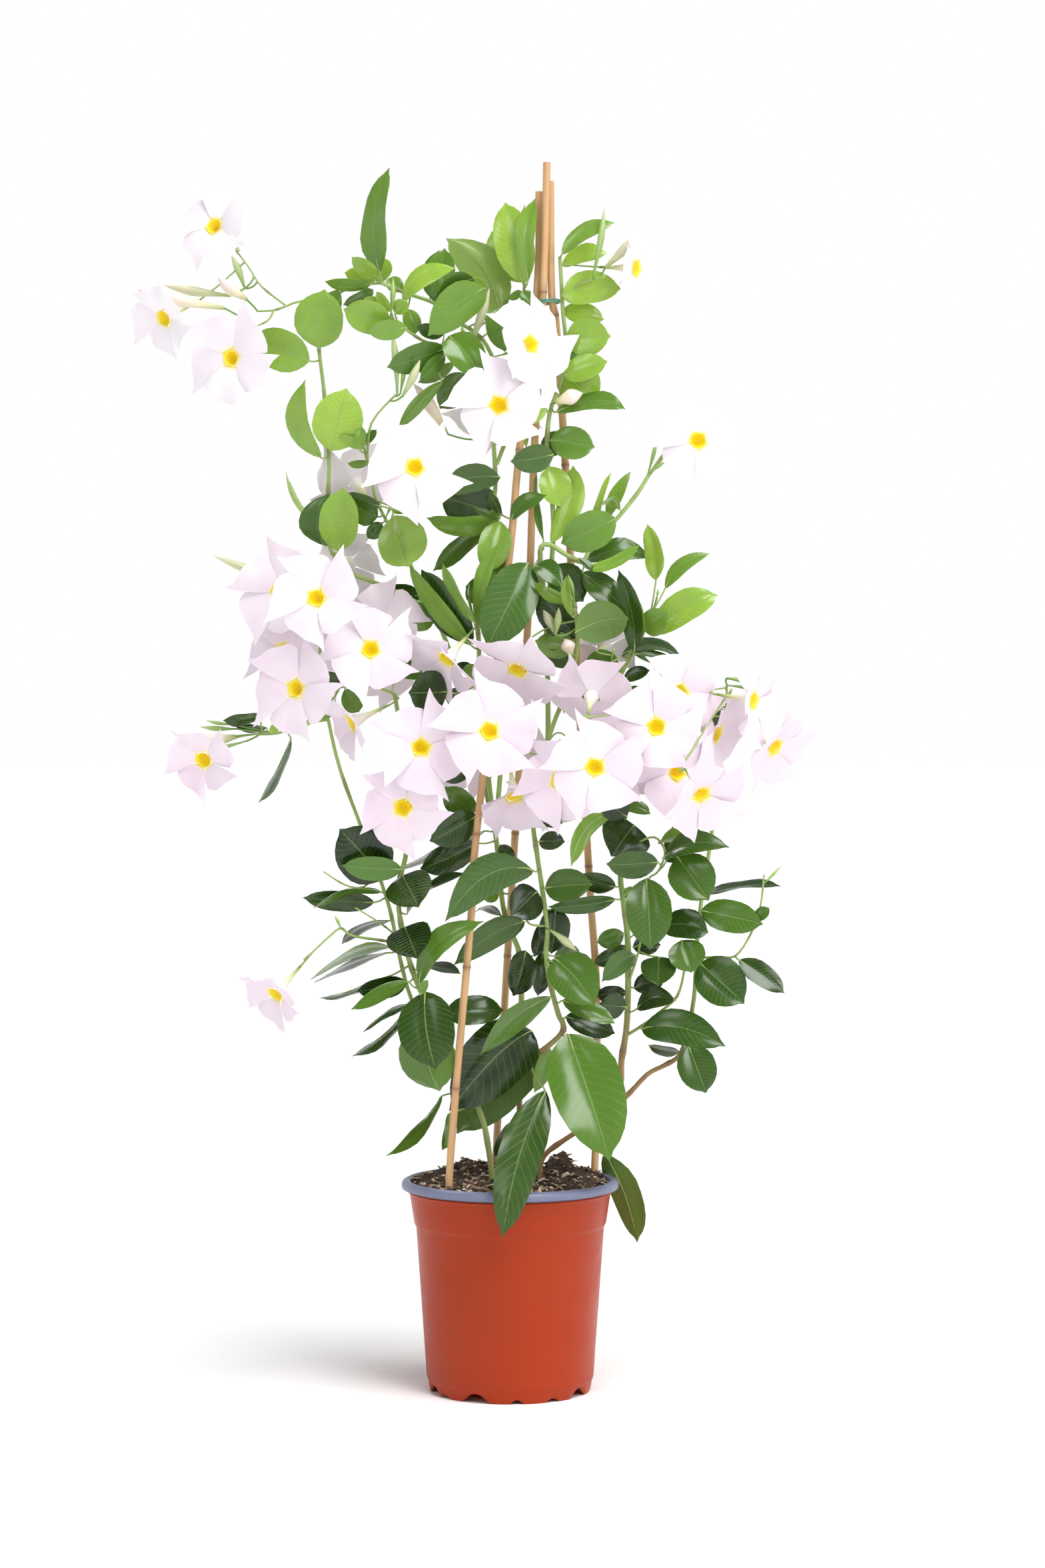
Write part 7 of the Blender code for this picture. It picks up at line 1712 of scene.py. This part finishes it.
def bud_finish():
    """Bud: green when small; cream at the foot and pink toward the tip when ripe."""
    skin = Finish("bud_skin", 0.42)
    share, ripe = skin.tone()[:2]
    green = skin.ramp(share, [(0.0, (0.16, 0.32, 0.06)), (0.6, (0.32, 0.5, 0.13)), (1.0, (0.5, 0.62, 0.24))])
    rosy = skin.ramp(share, [(0.0, (0.4, 0.46, 0.16)), (0.3, (0.8, 0.72, 0.5)),
                             (0.7, (0.9, 0.72, 0.7)), (1.0, (0.85, 0.66, 0.6))])
    skin.look("Base Color", skin.blend(ripe, green, rosy))
    return skin.material


def cane_finish():
    """Bamboo: tan with long streaks, darker at the node rings."""
    cane = Finish("bamboo_tan", 0.42)
    ring, near = cane.tone()[:2]
    streak = cane.grain(260.0, 3.0, (1.0, 1.0, 0.03))
    patch = cane.grain(14.0, 2.0, (1.0, 1.0, 0.5))
    tan = cane.blend(streak, (0.56, 0.31, 0.13), (0.74, 0.49, 0.25))
    tan = cane.blend(cane.step(patch, 0.4, 0.7, 0.0, 0.4), tan, (0.46, 0.22, 0.1))
    tan = cane.blend(cane.calc("MULTIPLY", near, 0.35), tan, (0.28, 0.12, 0.05))
    cane.look("Base Color", cane.blend(cane.calc("MULTIPLY", ring, 0.6), tan, (0.14, 0.06, 0.03)))
    cane.bump(streak, 0.25, 0.0005)
    return cane.material


def soil_finish(name, pale):
    """Soil or its crumbs: nearly black to beige by the tone."""
    soil = Finish(name, 0.9)
    grain = soil.grain(420.0, 6.0)
    mixed = soil.calc("ADD", soil.calc("MULTIPLY", soil.tone()[0], pale),
                      soil.calc("MULTIPLY", soil.calc("SUBTRACT", grain, 0.5), 0.7), True)
    soil.look("Base Color", soil.ramp(mixed, [(0.0, (0.032, 0.02, 0.014)), (0.3, (0.11, 0.062, 0.038)),
                                              (0.6, (0.33, 0.21, 0.125)), (1.0, (0.74, 0.62, 0.48))]))
    soil.bump(grain, 0.7, 0.002)
    return soil.material


def pot_finish():
    """Terracotta-coloured plastic, satin, with a slight unevenness from moulding."""
    wall = Finish("terracotta_plastic", 0.4)
    wall.look("Specular IOR Level", 0.22)
    wall.look("Base Color", wall.blend(wall.grain(9.0), (0.33, 0.03, 0.003), (0.4, 0.038, 0.005)))
    wall.look("Roughness", wall.step(wall.grain(30.0, 4.0), 0.3, 0.7, 0.34, 0.46))
    return wall.material


def lip_finish():
    """Blue-grey plastic of the lip and the inside of the pot."""
    lip = Finish("blue_grey_plastic", 0.38)
    lip.look("Base Color", lip.blend(lip.grain(40.0), (0.13, 0.145, 0.24), (0.19, 0.205, 0.31)))
    return lip.material


def wire_finish():
    """Green coating of the tie's wire."""
    coating = Finish("tie_coating", 0.35)
    coating.look("Base Color", (0.06, 0.27, 0.18))
    return coating.material


def make_floor():
    """A plain white floor that sweeps far out, with no edge in view."""
    finish = Finish("floor_white", 0.9)
    finish.look("Base Color", (0.98, 0.98, 0.98))
    finish.look("Specular IOR Level", 0.0)
    bm = bmesh.new()
    bmesh.ops.create_circle(bm, cap_ends=True, segments=64, radius=FLOOR_RADIUS)
    mesh = mesh_of("floor", bm)
    mesh.materials.append(finish.material)
    linked("floor", mesh)


def soft_light(name, place, target, size, power, colour):
    """A square softbox turned to a point."""
    lamp = bpy.data.lights.new(name, "AREA")
    lamp.shape = "SQUARE"
    lamp.size = size
    lamp.energy = power
    lamp.color = colour
    aimed(name, lamp, Vector(place), Vector(target))


def make_studio():
    """White surroundings that darken upward, a high sun, and four softboxes."""
    world = bpy.data.worlds.new("white_surround")
    world.use_nodes = True
    nodes = Nodes(world.node_tree)
    back = world.node_tree.nodes["Background"]
    nodes.put((1.0, 1.0, 1.0), back.inputs["Color"])
    way = nodes.split(nodes.add("ShaderNodeTexCoord").outputs["Generated"])
    low = nodes.step(way[2], 0.22, 0.5, 1.0, 0.25)
    behind = nodes.step(way[1], -0.75, -0.15, 0.7, 1.0)
    nodes.put(nodes.calc("MULTIPLY", low, behind), back.inputs["Strength"])
    bpy.context.scene.world = world
    overhead = bpy.data.lights.new("overhead", "SUN")
    overhead.energy = 2.55
    overhead.angle = math.radians(35)
    linked("overhead", overhead).rotation_euler = (math.radians(18), math.radians(14), 0.0)
    soft_light("key_right", (1.0, -1.7, 1.7), (0.0, 0.0, 0.7), 0.7, 13.5, (1.0, 0.99, 0.98))
    soft_light("side_right", (1.5, -0.8, 0.5), (0.0, 0.0, 0.2), 0.6, 3.0, (1.0, 0.98, 0.97))
    soft_light("fill_left", (-1.0, -1.8, 1.6), (0.0, 0.0, 0.7), 0.6, 4.0, (0.98, 0.99, 1.0))
    soft_light("rim_back", (-0.6, 1.2, 1.9), (0.0, 0.0, 0.9), 0.6, 6.0, (1.0, 1.0, 1.0))
    bpy.context.scene.view_settings.view_transform = "Standard"


def make_camera():
    """The photograph's viewing angle."""
    lens = bpy.data.cameras.new("front")
    lens.lens = LENS
    lens.sensor_width = SENSOR
    bpy.context.scene.camera = aimed("front", lens, EYE * CM, AIM)


place_plant()
leaf_skin = leaf_finish()
stem_skin = stem_finish()
bud_skin = bud_finish()
petal_skins = [petal_finish(), throat_finish(), tube_finish()]
bamboo = cane_finish()
for stem_name in STEMS:
    make_stems(stem_name, stem_skin)
    make_leaves(stem_name, leaf_skin)
    if buds[stem_name]:
        make_buds(stem_name, bud_skin)
for bloom_name in blooms:
    make_bloom(bloom_name, petal_skins)
for cane_name in CANES:
    make_cane(cane_name, bamboo)
make_tie(wire_finish())
make_pot(pot_finish(), lip_finish())
make_soil(soil_finish("soil_dark", 0.5), soil_finish("soil_bits", 1.0))
make_floor()
make_studio()
make_camera()
